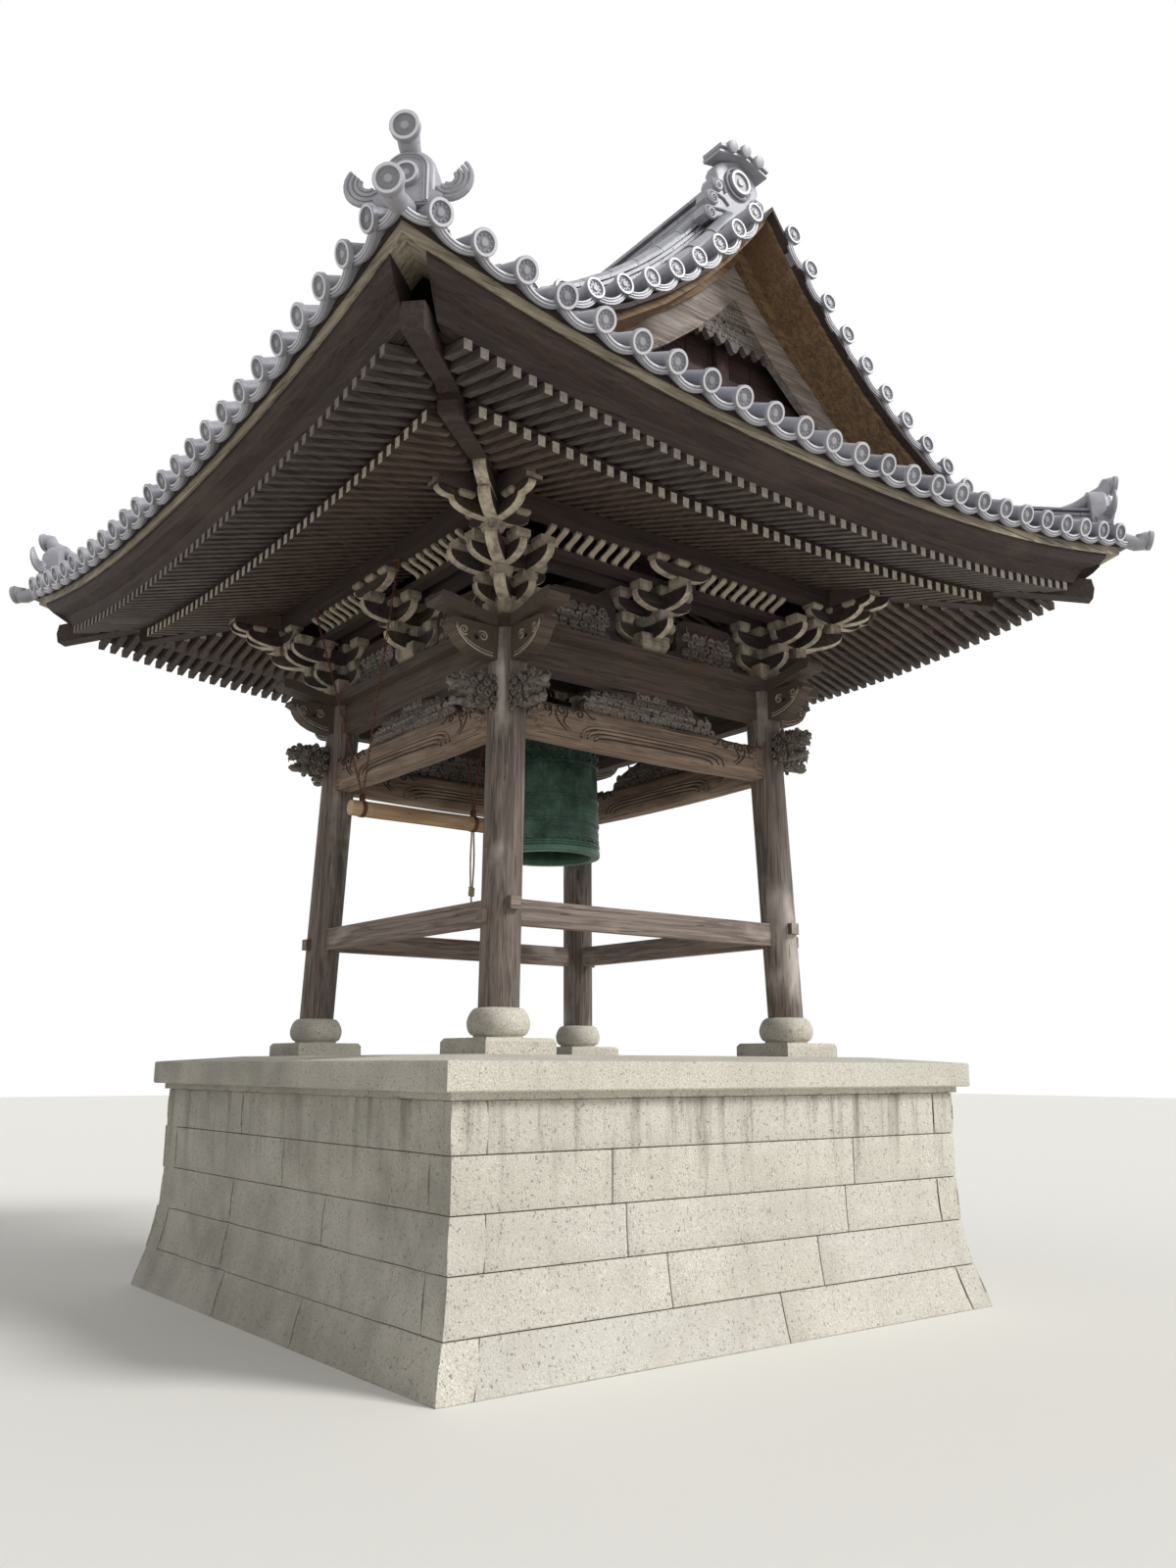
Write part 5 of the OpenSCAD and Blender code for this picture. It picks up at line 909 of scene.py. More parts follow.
bricks, cores, caps = [], [], []
stack(bricks, cores, main_line, courses(-0.07, 0.335, 8, 0.25, 0.205) + [(0.335, 0.36, 0.235)])
cap_lines = [(main_line(0.34), 1.0)]
for sign_x, sign_y in CORNERS:
    def down_line(level):
        return [Vector((sign_x * out, sign_y * DESCENT_LINE,
                        roof_height(out, DESCENT_LINE) + level * (1.04 - 0.08 * out)))
                for out in (0.13 + 1.79 * part / 8 for part in range(9))]

    def hip_line(level):
        return [Vector((sign_x * out, sign_y * out, roof_height(out, out) + level))
                for out in (2.13 + 0.80 * part / 4 for part in range(5))]
    stack(bricks, cores, down_line, courses(0.11, 0.31, 5, 0.185, 0.165) + [(0.312, 0.338, 0.18)])
    stack(bricks, cores, hip_line, courses(0.045, 0.195, 4, 0.185, 0.165) + [(0.196, 0.214, 0.18)])
    cap_lines += [(down_line(0.325)[::-1], 0.85), (hip_line(0.20)[::-1], 0.72)]
for points, size in cap_lines:
    for a, b in along_line(points, CAP_LENGTH):
        forward = (b - a).normalized()
        _, off = beside_and_off(forward)
        caps.append(move(a + off * 0.006) @ axes(forward.cross(off) * size,
                                                 forward * ((b - a).length / 0.285 + 0.03), off * size))
piece(lay(bmesh.new(), BRICK, bricks), "ridge_courses", CLAY, "roof_tile",
      stands_for=("main_ridge", "descending_ridges", "corner_ridges"))
bm = lay(bmesh.new(), BRICK, cores, tint=0.0)
# Painted shade: the bed is darkened where it shows between the courses.
mark_rim(bm, lambda face: True, -0.9)
piece(bm, "ridge_beds", CLAY, "roof_tile")
tiles("ridge_caps", ARCH, caps)

# %% [markdown]
# Where a ridge ends stands a moulded tile. Its body is a rounded block; its face is an arched plate with
# a double contour and a plain roundel; horns of four ribs curl up at both sides. The tile maker builds
# such a piece from rolls of clay, and so do we: each rib is a tube along an arc.

# %% Shape the corner ornament


def arc(centre, radius, start, end, count, y=0.0):
    """Points along an arc in the X and Z plane, angles in degrees."""
    angles = [radians(start + (end - start) * t / count) for t in range(count + 1)]
    return [Vector((centre[0] + radius * cos(angle), y, centre[1] + radius * sin(angle))) for angle in angles]


def plate(bm, outline, front, back, bevel=0.0, segments=2):
    """An outline in X and Z made into a plate from y=front to y=back, its front edge rounded."""
    face = bm.faces.new([bm.verts.new((x, back, z)) for x, z in outline])
    grown = bmesh.ops.extrude_face_region(bm, geom=[face])["geom"]
    bmesh.ops.translate(bm, verts=only(bmesh.types.BMVert, grown), vec=(0, front - back, 0))
    if bevel:
        rounded(bm, only(bmesh.types.BMEdge, grown), bevel, segments)


def mirrored(outline):
    """An outline's right half and its mirror image, from the last point back to the first."""
    return outline + [(-x, z) for x, z in reversed(outline) if x > 1e-6]


def arch_outline(half, foot, shoulder, top, steps=7):
    """Upright sides up to the shoulder and a round head."""
    return mirrored([(half, foot)] + [(half * cos(pi / 2 * t / steps), shoulder + (top - shoulder)
                                       * sin(pi / 2 * t / steps)) for t in range(steps + 1)])


def taper(start, middle, end):
    """A radius that swells from start to middle and shrinks to the end of a line."""
    return lambda t: (start + (middle - start) * min(1, t * 3) if t < 0.6
                      else middle + (end - middle) * (t - 0.6) / 0.4)


def corner_ornament():
    """Faces -Y, its foot at the origin."""
    bm = bmesh.new()
    plate(bm, arch_outline(0.132, 0.05, 0.235, 0.365), -0.06, 0.075, 0.035, 4)
    plate(bm, arch_outline(0.104, 0.055, 0.235, 0.325), -0.078, -0.055, 0.006)
    for half, top, radius in ((0.098, 0.318, 0.006), (0.082, 0.302, 0.004)):
        rim = [Vector((x, -0.079, z)) for x, z in arch_outline(half, 0.06, 0.235, top, 9)]
        tube(bm, rim, radius, sides=5)
    end_disc(bm, 0.062, 0.03, at=move((0, -0.112, 0.195)))
    plate(bm, mirrored([(0.15, 0.045), (0.17, 0.10), (0.13, 0.125)]), -0.07, 0.05, 0.012)
    for side in (-1, 1):
        start, end = (200, 405) if side > 0 else (-20, -225)
        for radius in (0.098, 0.074, 0.050, 0.028):
            line = arc((side * 0.205, 0.185), radius, start, end, 14)
            line = [point + Vector((0, -0.03 - 0.03 * index / 14, 0)) for index, point in enumerate(line)]
            tube(bm, line, taper(0.012, 0.0160, 0.010), sides=6)
    return bm


def horn_roll(bm, points, radii, disc_radius, facing):
    """A roll that bends along its points, in Y and Z, and ends in a disc that looks along facing."""
    facing = Vector(facing).normalized()
    line = smooth_line([Vector((0, *point)) for point in points], 0.035)
    line += [line[-1] + facing * 0.014, line[-1] + facing * 0.045]
    tube(bm, line, radii, sides=14)
    across = Vector((1, 0, 0))
    end_disc(bm, disc_radius, 0.030,
             at=move(line[-1] + facing * 0.022) @ axes(across, -facing, across.cross(-facing)))


SMALL_ORNAMENT = new_mesh(corner_ornament(), "small_ornament")
bm = corner_ornament()
horn_roll(bm, [(0.34, 0.20), (0.15, 0.26), (0.02, 0.335), (-0.055, 0.375), (-0.088, 0.424)],
          lambda t: 0.038 + 0.026 * t * t, 0.074, (0, -1, -0.16))
horn_roll(bm, [(-0.02, 0.050), (-0.16, -0.015), (-0.25, -0.055), (-0.288, -0.056), (-0.302, -0.026)],
          lambda t: 0.048 + 0.016 * t * t, 0.073, (0, -1, -0.20))
CORNER_ORNAMENT = new_mesh(bm, "corner_ornament")

places = [move((sign_x * CORNER_AT, sign_y * CORNER_AT, roof_height(CORNER_AT, CORNER_AT) + 0.012))
          @ turned("Z", atan2(sign_y, sign_x) + pi / 2) for sign_x, sign_y in CORNERS]
small_places = [move((sign_x * DESCENT_END, sign_y * DESCENT_LINE,
                      roof_height(DESCENT_END, DESCENT_LINE) + 0.07))
                @ turned("Z", pi / 2 * sign_x) @ Matrix.Scale(0.92, 4) for sign_x, sign_y in CORNERS]
piece(lay(bmesh.new(), CORNER_ORNAMENT, places, tint=0.85), "corner_ornaments", CLAY, "roof_tile", smooth=42,
      stands_for=("corner_end_tiles",))
piece(lay(bmesh.new(), SMALL_ORNAMENT, small_places, tint=0.8), "descending_ornaments", CLAY, "roof_tile",
      smooth=42)

# %% [markdown]
# The great end tile of the main ridge has cloud scrolls at both sides, a ringed roundel, a gabled cap
# with a double line, and three round bars on top that lean out over the gable.

# %% Shape the ridge-end ornament


def spiral(centre, radius, start, turns, count=16, shrink=0.80):
    """Points of a spiral that winds inwards, in X and Z."""
    return [(centre[0] + radius * (1 - shrink * t / count) * cos(start + tau * turns * t / count),
             centre[1] + radius * (1 - shrink * t / count) * sin(start + tau * turns * t / count))
            for t in range(count + 1)]


def ridge_end():
    """Faces -Y, its foot at the ridge's height."""
    bm = bmesh.new()
    half = [(0, 0.02), (0.13, 0.03), (0.215, -0.02), (0.275, -0.055), (0.325, -0.03), (0.315, 0.045),
            (0.262, 0.065), (0.300, 0.105), (0.292, 0.175), (0.232, 0.190), (0.250, 0.245), (0.232, 0.300),
            (0.186, 0.308), (0.205, 0.365), (0.182, 0.425), (0.140, 0.46), (0, 0.53)]
    plate(bm, mirrored(half), -0.055, 0.045, 0.016, 3)
    for side in (-1, 1):
        for centre, radius, start, tail in (
                ((0.262, 0.000), 0.052, 0.6, [(0.08, 0.075), (0.15, 0.07), (0.215, 0.055)]),
                ((0.238, 0.125), 0.050, 0.9, [(0.09, 0.13), (0.14, 0.165), (0.19, 0.172)]),
                ((0.192, 0.245), 0.044, 0.9, [(0.12, 0.215), (0.135, 0.265), (0.16, 0.288)])):
            winding = spiral((side * centre[0], centre[1]), radius, start if side > 0 else pi - start,
                             -1.6 * side, 22, 0.78)
            line = [Vector((x, -0.062, z)) for x, z in [(side * x, z) for x, z in tail] + winding]
            tube(bm, line, taper(0.009, 0.0135, 0.006), sides=6)
            bmesh.ops.create_icosphere(bm, subdivisions=2, radius=0.013,
                                       matrix=move((side * centre[0], -0.064, centre[1])))
        for low, high in (((0.10, 0.055), (0.165, -0.01)), ((0.06, 0.05), (0.10, -0.005))):
            fold = [Vector((side * low[0], -0.062, low[1])), Vector((side * (low[0] + high[0]) / 2, -0.066,
                    (low[1] + high[1]) / 2 - 0.012)), Vector((side * high[0], -0.062, high[1]))]
            tube(bm, smooth_line(fold, 0.012), 0.008, sides=6)
    end_disc(bm, 0.092, 0.036, at=move((0, -0.098, 0.335)))
    tube(bm, arc((0, 0.335), 0.112, 0, 345, 23, -0.070), 0.009, sides=6)
    for inner, outer, front in ((0.0, 0.020, -0.125), (0.034, 0.058, -0.140)):
        cap = [(0, 0.515 + inner), (0.225, 0.455 + inner), (0.232, 0.455 + outer), (0, 0.520 + outer)]
        plate(bm, mirrored(cap), front, 0.04, 0.004, 1)
    plate(bm, mirrored([(0, 0.53), (0.21, 0.478), (0.21, 0.50), (0, 0.555)]), -0.115, 0.03)
    for x, z in ((-0.125, 0.545), (0, 0.570), (0.125, 0.545)):
        made = cone(bm, 20, 0.040, 0.043, 0.235, move((x, -0.045, z)) @ turned("X", radians(102)))
        rounded(bm, capped_edges(edges_of(made)), 0.007, 2)
    return bm


places = [turned("Z", angle) @ move((0, -2.12, roof_height(0, 0) + 0.005)) for angle in (0, pi)]
piece(lay(bmesh.new(), new_mesh(ridge_end(), "ridge_end"), places, tint=0.85), "ridge_end_ornaments", CLAY,
      "roof_tile", smooth=42, stands_for=("ridge_end_tiles",))

# %% [markdown]
# The podium is faced with split granite in five courses. At the corners the ends of long stones show on
# the next side, on every second course. Each stone is a cube, cut into a grid and fitted between its
# joints and the wall's curve. Noise pushes its face in by a few millimetres, as splitting leaves it.

# %% Lay the podium's stones
WALL_HALF, FOOT_HALF, BATTER_HEIGHT, STONE_DEPTH, JOINT = 2.010, 2.145, 0.825, 0.21, 0.0055
MORTAR_SET_BACK, GRID_STEP, SPLIT_DEPTH, STONE_EDGE = 0.013, 0.15, 0.004, 0.007
COURSE_LEVELS = (0, 0.265, 0.547, 0.825, 1.111, 1.381)
# From the ground up: joints on the front and on the side, as seen by someone who faces it
FRONT_JOINTS = ((0.216,), (-0.612, 0.599), (-0.888, 0.886), (-0.985, 0.975), ())
SIDE_JOINTS = ((-0.608, 0.542), (-0.705,), (-0.698, 0.641), (0.051,), (-0.617,))
QUARTERS = [turned("Z", quarter * pi / 2) for quarter in range(4)]
MORTAR = finish_material("mortar", lambda place, normal: {
    "Base Color": place.noise(40, 4, 0.7).fade(0.35, 0.65).choose((86, 80, 70), (128, 120, 106)),
    "Roughness": 0.95})


def wall_half(height):
    """Half the podium's width at a height: straight above, flared at the foot."""
    return WALL_HALF + (FOOT_HALF - WALL_HALF) * max(0, 1 - height / BATTER_HEIGHT) ** 2


def stone(turn, start, end, low, high):
    """One stone; start and end give its ends along the wall at a height."""
    bm = bmesh.new()
    bmesh.ops.create_cube(bm, size=1)
    for axis, cuts in ((0, max(1, round((end(low) - start(low)) / GRID_STEP))), (2, 2)):
        crossed = [edge for edge in bm.edges if abs((edge.verts[0].co - edge.verts[1].co)[axis]) > 0.01]
        bmesh.ops.subdivide_edges(bm, edges=crossed, cuts=cuts, use_grid_fill=True)
    seed = Vector((random.uniform(0, 50), random.uniform(0, 50), 0))
    for vert in bm.verts:
        along, inward, up = (value + 0.5 for value in vert.co)
        height = low + (high - low) * up
        x = start(height) + (end(height) - start(height)) * along
        rim = min(along, 1 - along, up, 1 - up) < 0.001
        rough = 0.5 + noise.noise(seed + Vector((x * 5, height * 9, 0)))
        push = 0 if rim or inward > 0.5 else SPLIT_DEPTH * rough
        vert.co = turn @ Vector((x, push - wall_half(height) + inward * STONE_DEPTH, height))
    rounded(bm, [edge for edge in bm.edges if edge.calc_face_angle(0) > radians(40)], STONE_EDGE, 2)
    for vert in bm.verts:
        vert.co.z = max(vert.co.z, 0)
    return new_mesh(bm, "stone")


wall_bm, bed_bm = bmesh.new(), bmesh.new()
for course, (low, high) in enumerate(zip(COURSE_LEVELS, COURSE_LEVELS[1:])):
    for quarter, turn in enumerate(QUARTERS):
        joints = SIDE_JOINTS[course] if quarter % 2 else FRONT_JOINTS[course]
        inset = STONE_DEPTH if course % 2 == quarter % 2 else 0
        ends = [lambda height: inset - wall_half(height)] + [lambda height, x=x: x for x in joints]
        ends.append(lambda height: wall_half(height) - inset)
        for index, (start, end) in enumerate(zip(ends, ends[1:])):
            gap_start = JOINT / 2 if index or inset else 0
            gap_end = JOINT / 2 if index < len(ends) - 2 or inset else 0
            laid = stone(turn, lambda height: start(height) + gap_start, lambda height: end(height) - gap_end,
                         low + (JOINT / 2 if course else 0), high - JOINT / 2)
            lay(wall_bm, laid, [Matrix()])
    for vert in bmesh.ops.create_cube(bed_bm, size=2)["verts"]:
        height = high if vert.co.z > 0 else low
        half = wall_half(height) - MORTAR_SET_BACK
        vert.co = (vert.co.x * half, vert.co.y * half, height - (0.001 if vert.co.z > 0 else 0))
piece(wall_bm, "podium_stones", STONE, "granite", smooth=35, stands_for=("podium_wall",))
piece(bed_bm, "podium_mortar", MORTAR, "granite")

# %% [markdown]
# Long thin members and slabs are made of lengths that butt together. A joint is a shallow groove: two
# cuts close together, with the strip between them pushed in. The same helper serves stone and boards.

# %% Cut the cap's joints
FRONT, RIGHT = Vector((0, -1, 0)), Vector((1, 0, 0))


def groove(bm, point, along, width, depth, chosen):
    """A groove across the chosen faces, at a point and square to a direction."""
    point, along = Vector(point), along.normalized()
    for offset in (-width / 2, width / 2):
        faces = [face for face in bm.faces if chosen(face)]
        around = once(item for face in faces for item in (*face.verts, *face.edges))
        bmesh.ops.bisect_plane(bm, geom=faces + around, plane_co=point + along * offset, plane_no=along)
    strip = [face for face in bm.faces if chosen(face)
             and all(abs((vert.co - point).dot(along)) < width / 2 + 0.0002 for vert in face.verts)]
    if not strip:
        return
    bm.normal_update()
    grown = bmesh.ops.extrude_face_region(bm, geom=strip)["geom"]
    for vert in only(bmesh.types.BMVert, grown):
        inward = sum((face.normal for face in vert.link_faces if face in grown), Vector()).normalized()
        vert.co = vert.co - inward * depth


bm = own_copy("podium_cap")
for quarter, turn in enumerate(QUARTERS):
    outward = turn @ FRONT

    def edge_face(face):
        return (face.normal.dot(outward) > 0.5
                or (face.normal.z > 0.3 and face.calc_center_median().dot(outward) > 0))
    for x in (0.013, 1.828, -1.828) if quarter % 2 else (-0.786, 0.773):
        groove(bm, turn @ Vector((x, 0, 1.5)), turn @ RIGHT, 0.009, 0.010, edge_face)
piece(bm, "cap_stones", STONE, "granite", stands_for=("podium_cap",))

# %% [markdown]
# The rainbow beams carry shallow carving: scrolls at both ends and a triple moulding that sweeps along the
# lower half. A carver cuts along a drawn line; we lay a thin tube along it instead, half sunk into the
# wood. A ray finds the beam's surface under each point of the line, so that the carving follows its curve.

# %% Carve the rainbow beams
BEAM_LINE = 1.1625
CARVED_LINE = finish_material("carved_line", timber("ring", (38, 29, 25), (56, 44, 38), (78, 64, 56),
                                                    (50, 40, 34), worn=0.3))
beam_tree = BVHTree.FromBMesh(own_copy("rainbow_beams"))


def on_beam(points, side, proud):
    """The points put on the beam's surface, seen from the front (side -1) or from inside (side 1)."""
    line = []
    for x, z in points:
        eye, ahead = Vector((x, -BEAM_LINE + side * 0.6, z)), Vector((0, -side, 0))
        hit, normal, _, _ = beam_tree.ray_cast(eye, ahead, 0.7)
        if hit is not None:
            line.append(hit + normal * proud)
    return line


def flat_line(points, step):
    """A smooth line through points in X and Z."""
    return smooth_line([Vector((x, 0, z)) for x, z in points], step)


END_SCROLLS = [
    spiral((-0.795, 3.795), 0.046, radians(-20), 1.45)[::-1]
    + [(-0.785, 3.725), (-0.755, 3.690), (-0.722, 3.672)],
    [(-0.842, 3.800), (-0.846, 3.760), (-0.822, 3.718), (-0.785, 3.684), (-0.752, 3.664)],
    [(-0.735, 3.834), (-0.718, 3.806), (-0.700, 3.800)] + spiral((-0.655, 3.790), 0.036, radians(150), -1.3),
    [(-0.690, 3.828), (-0.650, 3.838), (-0.605, 3.822), (-0.575, 3.790), (-0.545, 3.776), (-0.520, 3.784)],
    spiral((-0.905, 3.792), 0.030, radians(30), 1.3)[::-1] + [(-0.885, 3.755), (-0.905, 3.735)],
    [(-0.870, 3.838), (-0.905, 3.842), (-0.950, 3.822), (-0.968, 3.790)]]
MOULDINGS = [
    [(-0.640, 3.650), (-0.615, 3.688), (-0.570, 3.712), (-0.480, 3.724), (-0.300, 3.728), (0, 3.730)],
    [(-0.590, 3.650), (-0.560, 3.680), (-0.500, 3.696), (-0.400, 3.701), (-0.250, 3.703), (0, 3.704)],
    [(-0.530, 3.645), (-0.500, 3.664), (-0.430, 3.673), (-0.300, 3.676), (-0.150, 3.677), (0, 3.678)]]


def on_four_sides(bm, *about, **more):
    """A piece with the same carving on each side of the tower."""
    return piece(lay(bmesh.new(), new_mesh(bm, "one_side"), QUARTERS), *about, **more)


dark_bm, rib_bm = bmesh.new(), bmesh.new()
for points in END_SCROLLS:
    flat = flat_line(points, 0.016)
    for mirror in (1, -1):
        for side in (-1, 1):
            line = on_beam([(point.x * mirror, point.z) for point in flat], side, 0.0004)
            tube(dark_bm, line, lambda t: 0.0062 * min(1.0, 0.35 + 4 * min(t, 1 - t)), sides=6)
for points in MOULDINGS:
    flat = flat_line(points + [(-x, z) for x, z in reversed(points[:-1])], 0.05)
    for side in (-1, 1):
        for bm, radius, shift, proud in ((rib_bm, 0.0115, 0, 0.000), (dark_bm, 0.0058, -0.015, 0.0003)):
            tube(bm, on_beam([(point.x, point.z + shift) for point in flat], side, proud), radius)
on_four_sides(dark_bm, "beam_scrolls", CARVED_LINE, "beam_wood", smooth=50)
on_four_sides(rib_bm, "beam_mouldings", BEAM, "beam_wood", smooth=50)

# %% [markdown]
# At both ends of each beam a lion's head looks out from the post. It is the carver's show piece: bulging
# eyes under curled brows, an open mouth with fangs, and a mane of locks that coil up. We model it as a
# carver thinks of it, as round masses first and coiled locks laid over them.

# %% Shape the lion's head
# Masses in millimetres: the middle, half the length, width and height, and the turn about the head's width
HEAD_MASSES = (((62, 0, 138), (88, 66, 106), 0), ((160, 0, 160), (84, 62, 82), 0),
               ((238, 0, 162), (66, 50, 40), 0.12), ((296, 0, 172), (24, 32, 22), 0),
               ((150, 0, 62), (104, 46, 34), 0), ((228, 0, 56), (56, 42, 24), 0.15),
               ((274, 0, 62), (22, 30, 18), 0), ((226, 0, 90), (56, 24, 9), 0.25),
               ((206, 0, 226), (34, 40, 22), 0))
FACE_MASSES = (((306, 17, 166), (12, 11, 10), 0, 1), ((232, 40, 200), (17, 14, 16), 0, 2),
               ((241, 46, 198), (8, 8, 8), 0, 1), ((262, 34, 142), (26, 18, 20), 0, 2),
               ((120, 66, 216), (22, 12, 30), -0.5, 2), ((180, 58, 122), (30, 16, 26), 0, 2))
# Teeth by place, length and root; a tooth of the upper jaw has a negative length
TEETH = ((282, 138, -34, 8), (242, 132, -18, 6), (262, 74, 26, 7))
# Locks by middle, radius, start angle, turns, thickness and the tail that leads into them
LOCKS = (((238, 46, 222), 24, 200, -1.3, 8, [(190, 52, 196), (204, 54, 214)]),
         ((284, 30, 196), 17, 180, -1.2, 7, [(248, 30, 180), (262, 32, 190)]),
         ((198, 62, 76), 22, 90, 1.3, 8, [(226, 50, 112), (212, 58, 108)]),
         ((168, 68, 178), 27, 200, -1.4), ((120, 70, 128), 28, 150, -1.4), ((130, 66, 66), 26, 120, 1.4),
         ((74, 70, 186), 28, 210, -1.4), ((66, 72, 120), 28, 170, -1.4), ((78, 66, 54), 26, 130, 1.4),
         ((28, 66, 226), 25, 220, -1.3), ((22, 68, 162), 26, 190, -1.3), ((22, 68, 90), 26, 150, 1.3),
         ((26, 62, 34), 22, 120, 1.3), ((104, 58, 244), 18, 180, -1.2), ((150, 46, 34), 18, 100, 1.2))
CREST = ((176, 244, 15), (146, 250, 16), (112, 252, 16), (78, 250, 17), (44, 246, 17), (12, 240, 16))


def ball(bm, centre, radii, turn=0.0, fine=2):
    """A round mass, as long, wide and high as its radii, in millimetres."""
    place = move(Vector(centre) / 1000) @ turned("Y", turn) @ scaled((*(Vector(radii) / 1000), 1))
    bmesh.ops.create_icosphere(bm, subdivisions=fine, radius=1, matrix=place)


def lock(bm, centre, radius, start, turns, thick=8.5, tail=()):
    """A coiled lock of mane on both sides of the head, in millimetres."""
    for side in (-1, 1):
        line = [Vector((x, side * y, z)) / 1000 for x, y, z in tail]
        for t in range(15):
            reach = radius * (1 - 0.78 * t / 14)
            angle = radians(start) + tau * turns * t / 14
            line.append(Vector((centre[0] + reach * cos(angle), side * (centre[1] + 9 * t / 14),
                                centre[2] + reach * sin(angle))) / 1000)
        tube(bm, line, lambda t: thick / 1000 * (0.75 + 0.5 * min(t * 3, 1) - 0.45 * t), sides=6)


def lion_head():
    """Looks along +X from the post's surface at the origin; up is Z, from the nosing's foot."""
    bm = bmesh.new()
    for centre, radii, turn in HEAD_MASSES:
        ball(bm, centre, radii, turn)
    for side in (-1, 1):
        for (x, y, z), radii, turn, fine in FACE_MASSES:
            ball(bm, (x, side * y, z), radii, turn, fine)
        for x, z, tip, root in TEETH:
            place = move(Vector((x, side * 32, z + tip / 2)) / 1000) @ turned("X", 0 if tip > 0 else pi)
            cone(bm, 7, root / 1000, 0.0005, abs(tip) / 1000, place)
    for row in LOCKS:
        lock(bm, *row)
    for x, z, radius in CREST:
        for side in (-1, 1):
            curl = [Vector((x + radius * (1 - 0.7 * t / 10) * cos(t * 0.75 + 2), side * (20 + 0.8 * t),
                            z - 8 + radius * (1 - 0.7 * t / 10) * sin(t * 0.75 + 2))) / 1000
                    for t in range(11)]
            tube(bm, curl, 0.0075, sides=5)
    return bm


POST_FACE, NOSING_FOOT = 1.2865, 3.694
places = []
for sign_x, sign_y in CORNERS:
    for x, y, facing in ((POST_FACE, BEAM_LINE, 0 if sign_x > 0 else pi),
                         (BEAM_LINE, POST_FACE, sign_y * pi / 2)):
        places.append(move((sign_x * x, sign_y * y, NOSING_FOOT)) @ turned("Z", facing))
piece(lay(bmesh.new(), new_mesh(lion_head(), "lion"), places), "lion_heads", CARVING, "beam_wood", smooth=60,
      stands_for=("lion_nosings",))

# %% [markdown]
# Over the beams stand pierced panels of clouds and waves, and darker ones fill the spaces between the
# bracket sets. From the ground one sees coils that overlap. A loop scatters coils of different size
# over the panel's face, each with its tail, and the panel behind them stays dark between.

# %% Carve the panels
FRIEZE_LINE = 1.149


def coil(bm, x, y, z, radius, start, turns, thick, tail):
    """One carved coil that faces along Y, with a tail that leaves it."""
    out = Vector((cos(start), 0, sin(start)))
    along = Vector((-out.z, 0, out.x)) * (-1 if turns > 0 else 1)
    centre = Vector((x, y, z))
    line = [centre + out * radius * (1 + 0.09 * t * t) + along * tail * t / 3 for t in (3, 2, 1)]
    for t in range(13):
        angle = start + tau * turns * t / 12
        line.append(centre + Vector((cos(angle), 0, sin(angle))) * (radius * (1 - 0.8 * t / 12)))
    tube(bm, line, lambda t: thick * (0.45 + 1.3 * min(t * 2, 1) - 0.85 * t), sides=5)


def carved_panel(bm, face, low, high, half, radius, thick, top):
    """Coils over a panel: rows of them, staggered, with both hands and some jitter."""
    rows = max(1, round((high - low) / (radius * 1.25)))
    count = int(2 * half / (radius * 1.55))
    for row in range(rows):
        z = low + (high - low) * (row + 0.5) / rows
        for index in range(count):
            x = -half + 2 * half * (index + (0.25 if row % 2 else 0.75)) / count
            if z + radius * 0.7 <= low + (high - low) * top(x / half):
                hand = -1 if (index + row) % 2 else 1
                coil(bm, x + random.uniform(-1, 1) * radius * 0.15, face, z,
                     radius * random.uniform(0.62, 0.8), random.uniform(0, tau),
                     hand * random.uniform(1.1, 1.5), thick, radius * random.uniform(0.5, 1.1))


bm = bmesh.new()
for side in (-1, 1):
    carved_panel(bm, -BEAM_LINE + side * 0.031, 3.852, 4.052, 0.590, 0.044, 0.0130,
                 lambda t: 0.26 + 0.80 * max(0, cos(pi / 2 * t)) ** 0.55)
on_four_sides(bm, "transom_waves", CARVING, "beam_wood", smooth=60)
bm = bmesh.new()
for centre in (-0.585, 0.585):
    for face in (-FRIEZE_LINE - 0.023, -FRIEZE_LINE + 0.023):
        patch = bmesh.new()
        carved_panel(patch, face, 4.36, 4.66, 0.235, 0.048, 0.0125, lambda t: 1.0 - 0.1 * abs(t))
        bmesh.ops.translate(patch, verts=patch.verts, vec=(centre, 0, 0))
        lay(bm, new_mesh(patch, "patch"), [Matrix()])
on_four_sides(bm, "frieze_waves", CARVING, "dark_wood", smooth=60)

# %% [markdown]
# Three tiers of brackets carry the eave. Every tier is made of the same two parts: an arm, whose underside
# turns up to its ends, and a bearing block that the next arm rests on. One function saws an arm of any
# length, one cuts a block, and a short list places them as the carpenter stacks them. The undersides
# and the blocks are paler, partly bleached and partly painted light on the undersides, so their faces
# carry a number that the finish reads.

# %% Saw the arms and the blocks
LINE, STEP, REACH = 1.1482, 0.188, 0.247
SEAT, TIER_1, TIER_2, TIER_3, EAVE_SEAT = 4.350, 4.440, 4.620, 4.800, 4.930
ARM_TALL, TOP_ARM_TALL, ARM_HALF, BROAD_HALF = 0.110, 0.090, 0.029, 0.041
BLOCK_1, BLOCK_2, BLOCK_3 = TIER_1 + ARM_TALL, TIER_2 + ARM_TALL, TIER_3 + TOP_ARM_TALL


def bracket_wood(place, normal):
    # Painted shade: this dark brown is partly the wood's own and partly shade under the roof.
    dark = timber("ring", (40, 31, 27), (72, 60, 52), (104, 92, 78), (46, 36, 31), end_look=2.0)
    made = dark(place, normal)
    streaks = place.stretched(1, 1, 0.5).noise(13, 5, 0.65).fade(0.34, 0.60) * 0.62 + 0.36
    # The marked faces are paled: partly bleached wood, partly painted light on the arms' undersides.
    made["Base Color"] = (place.face_value(RIM) * streaks).choose(made["Base Color"], (192, 180, 160))
    return made


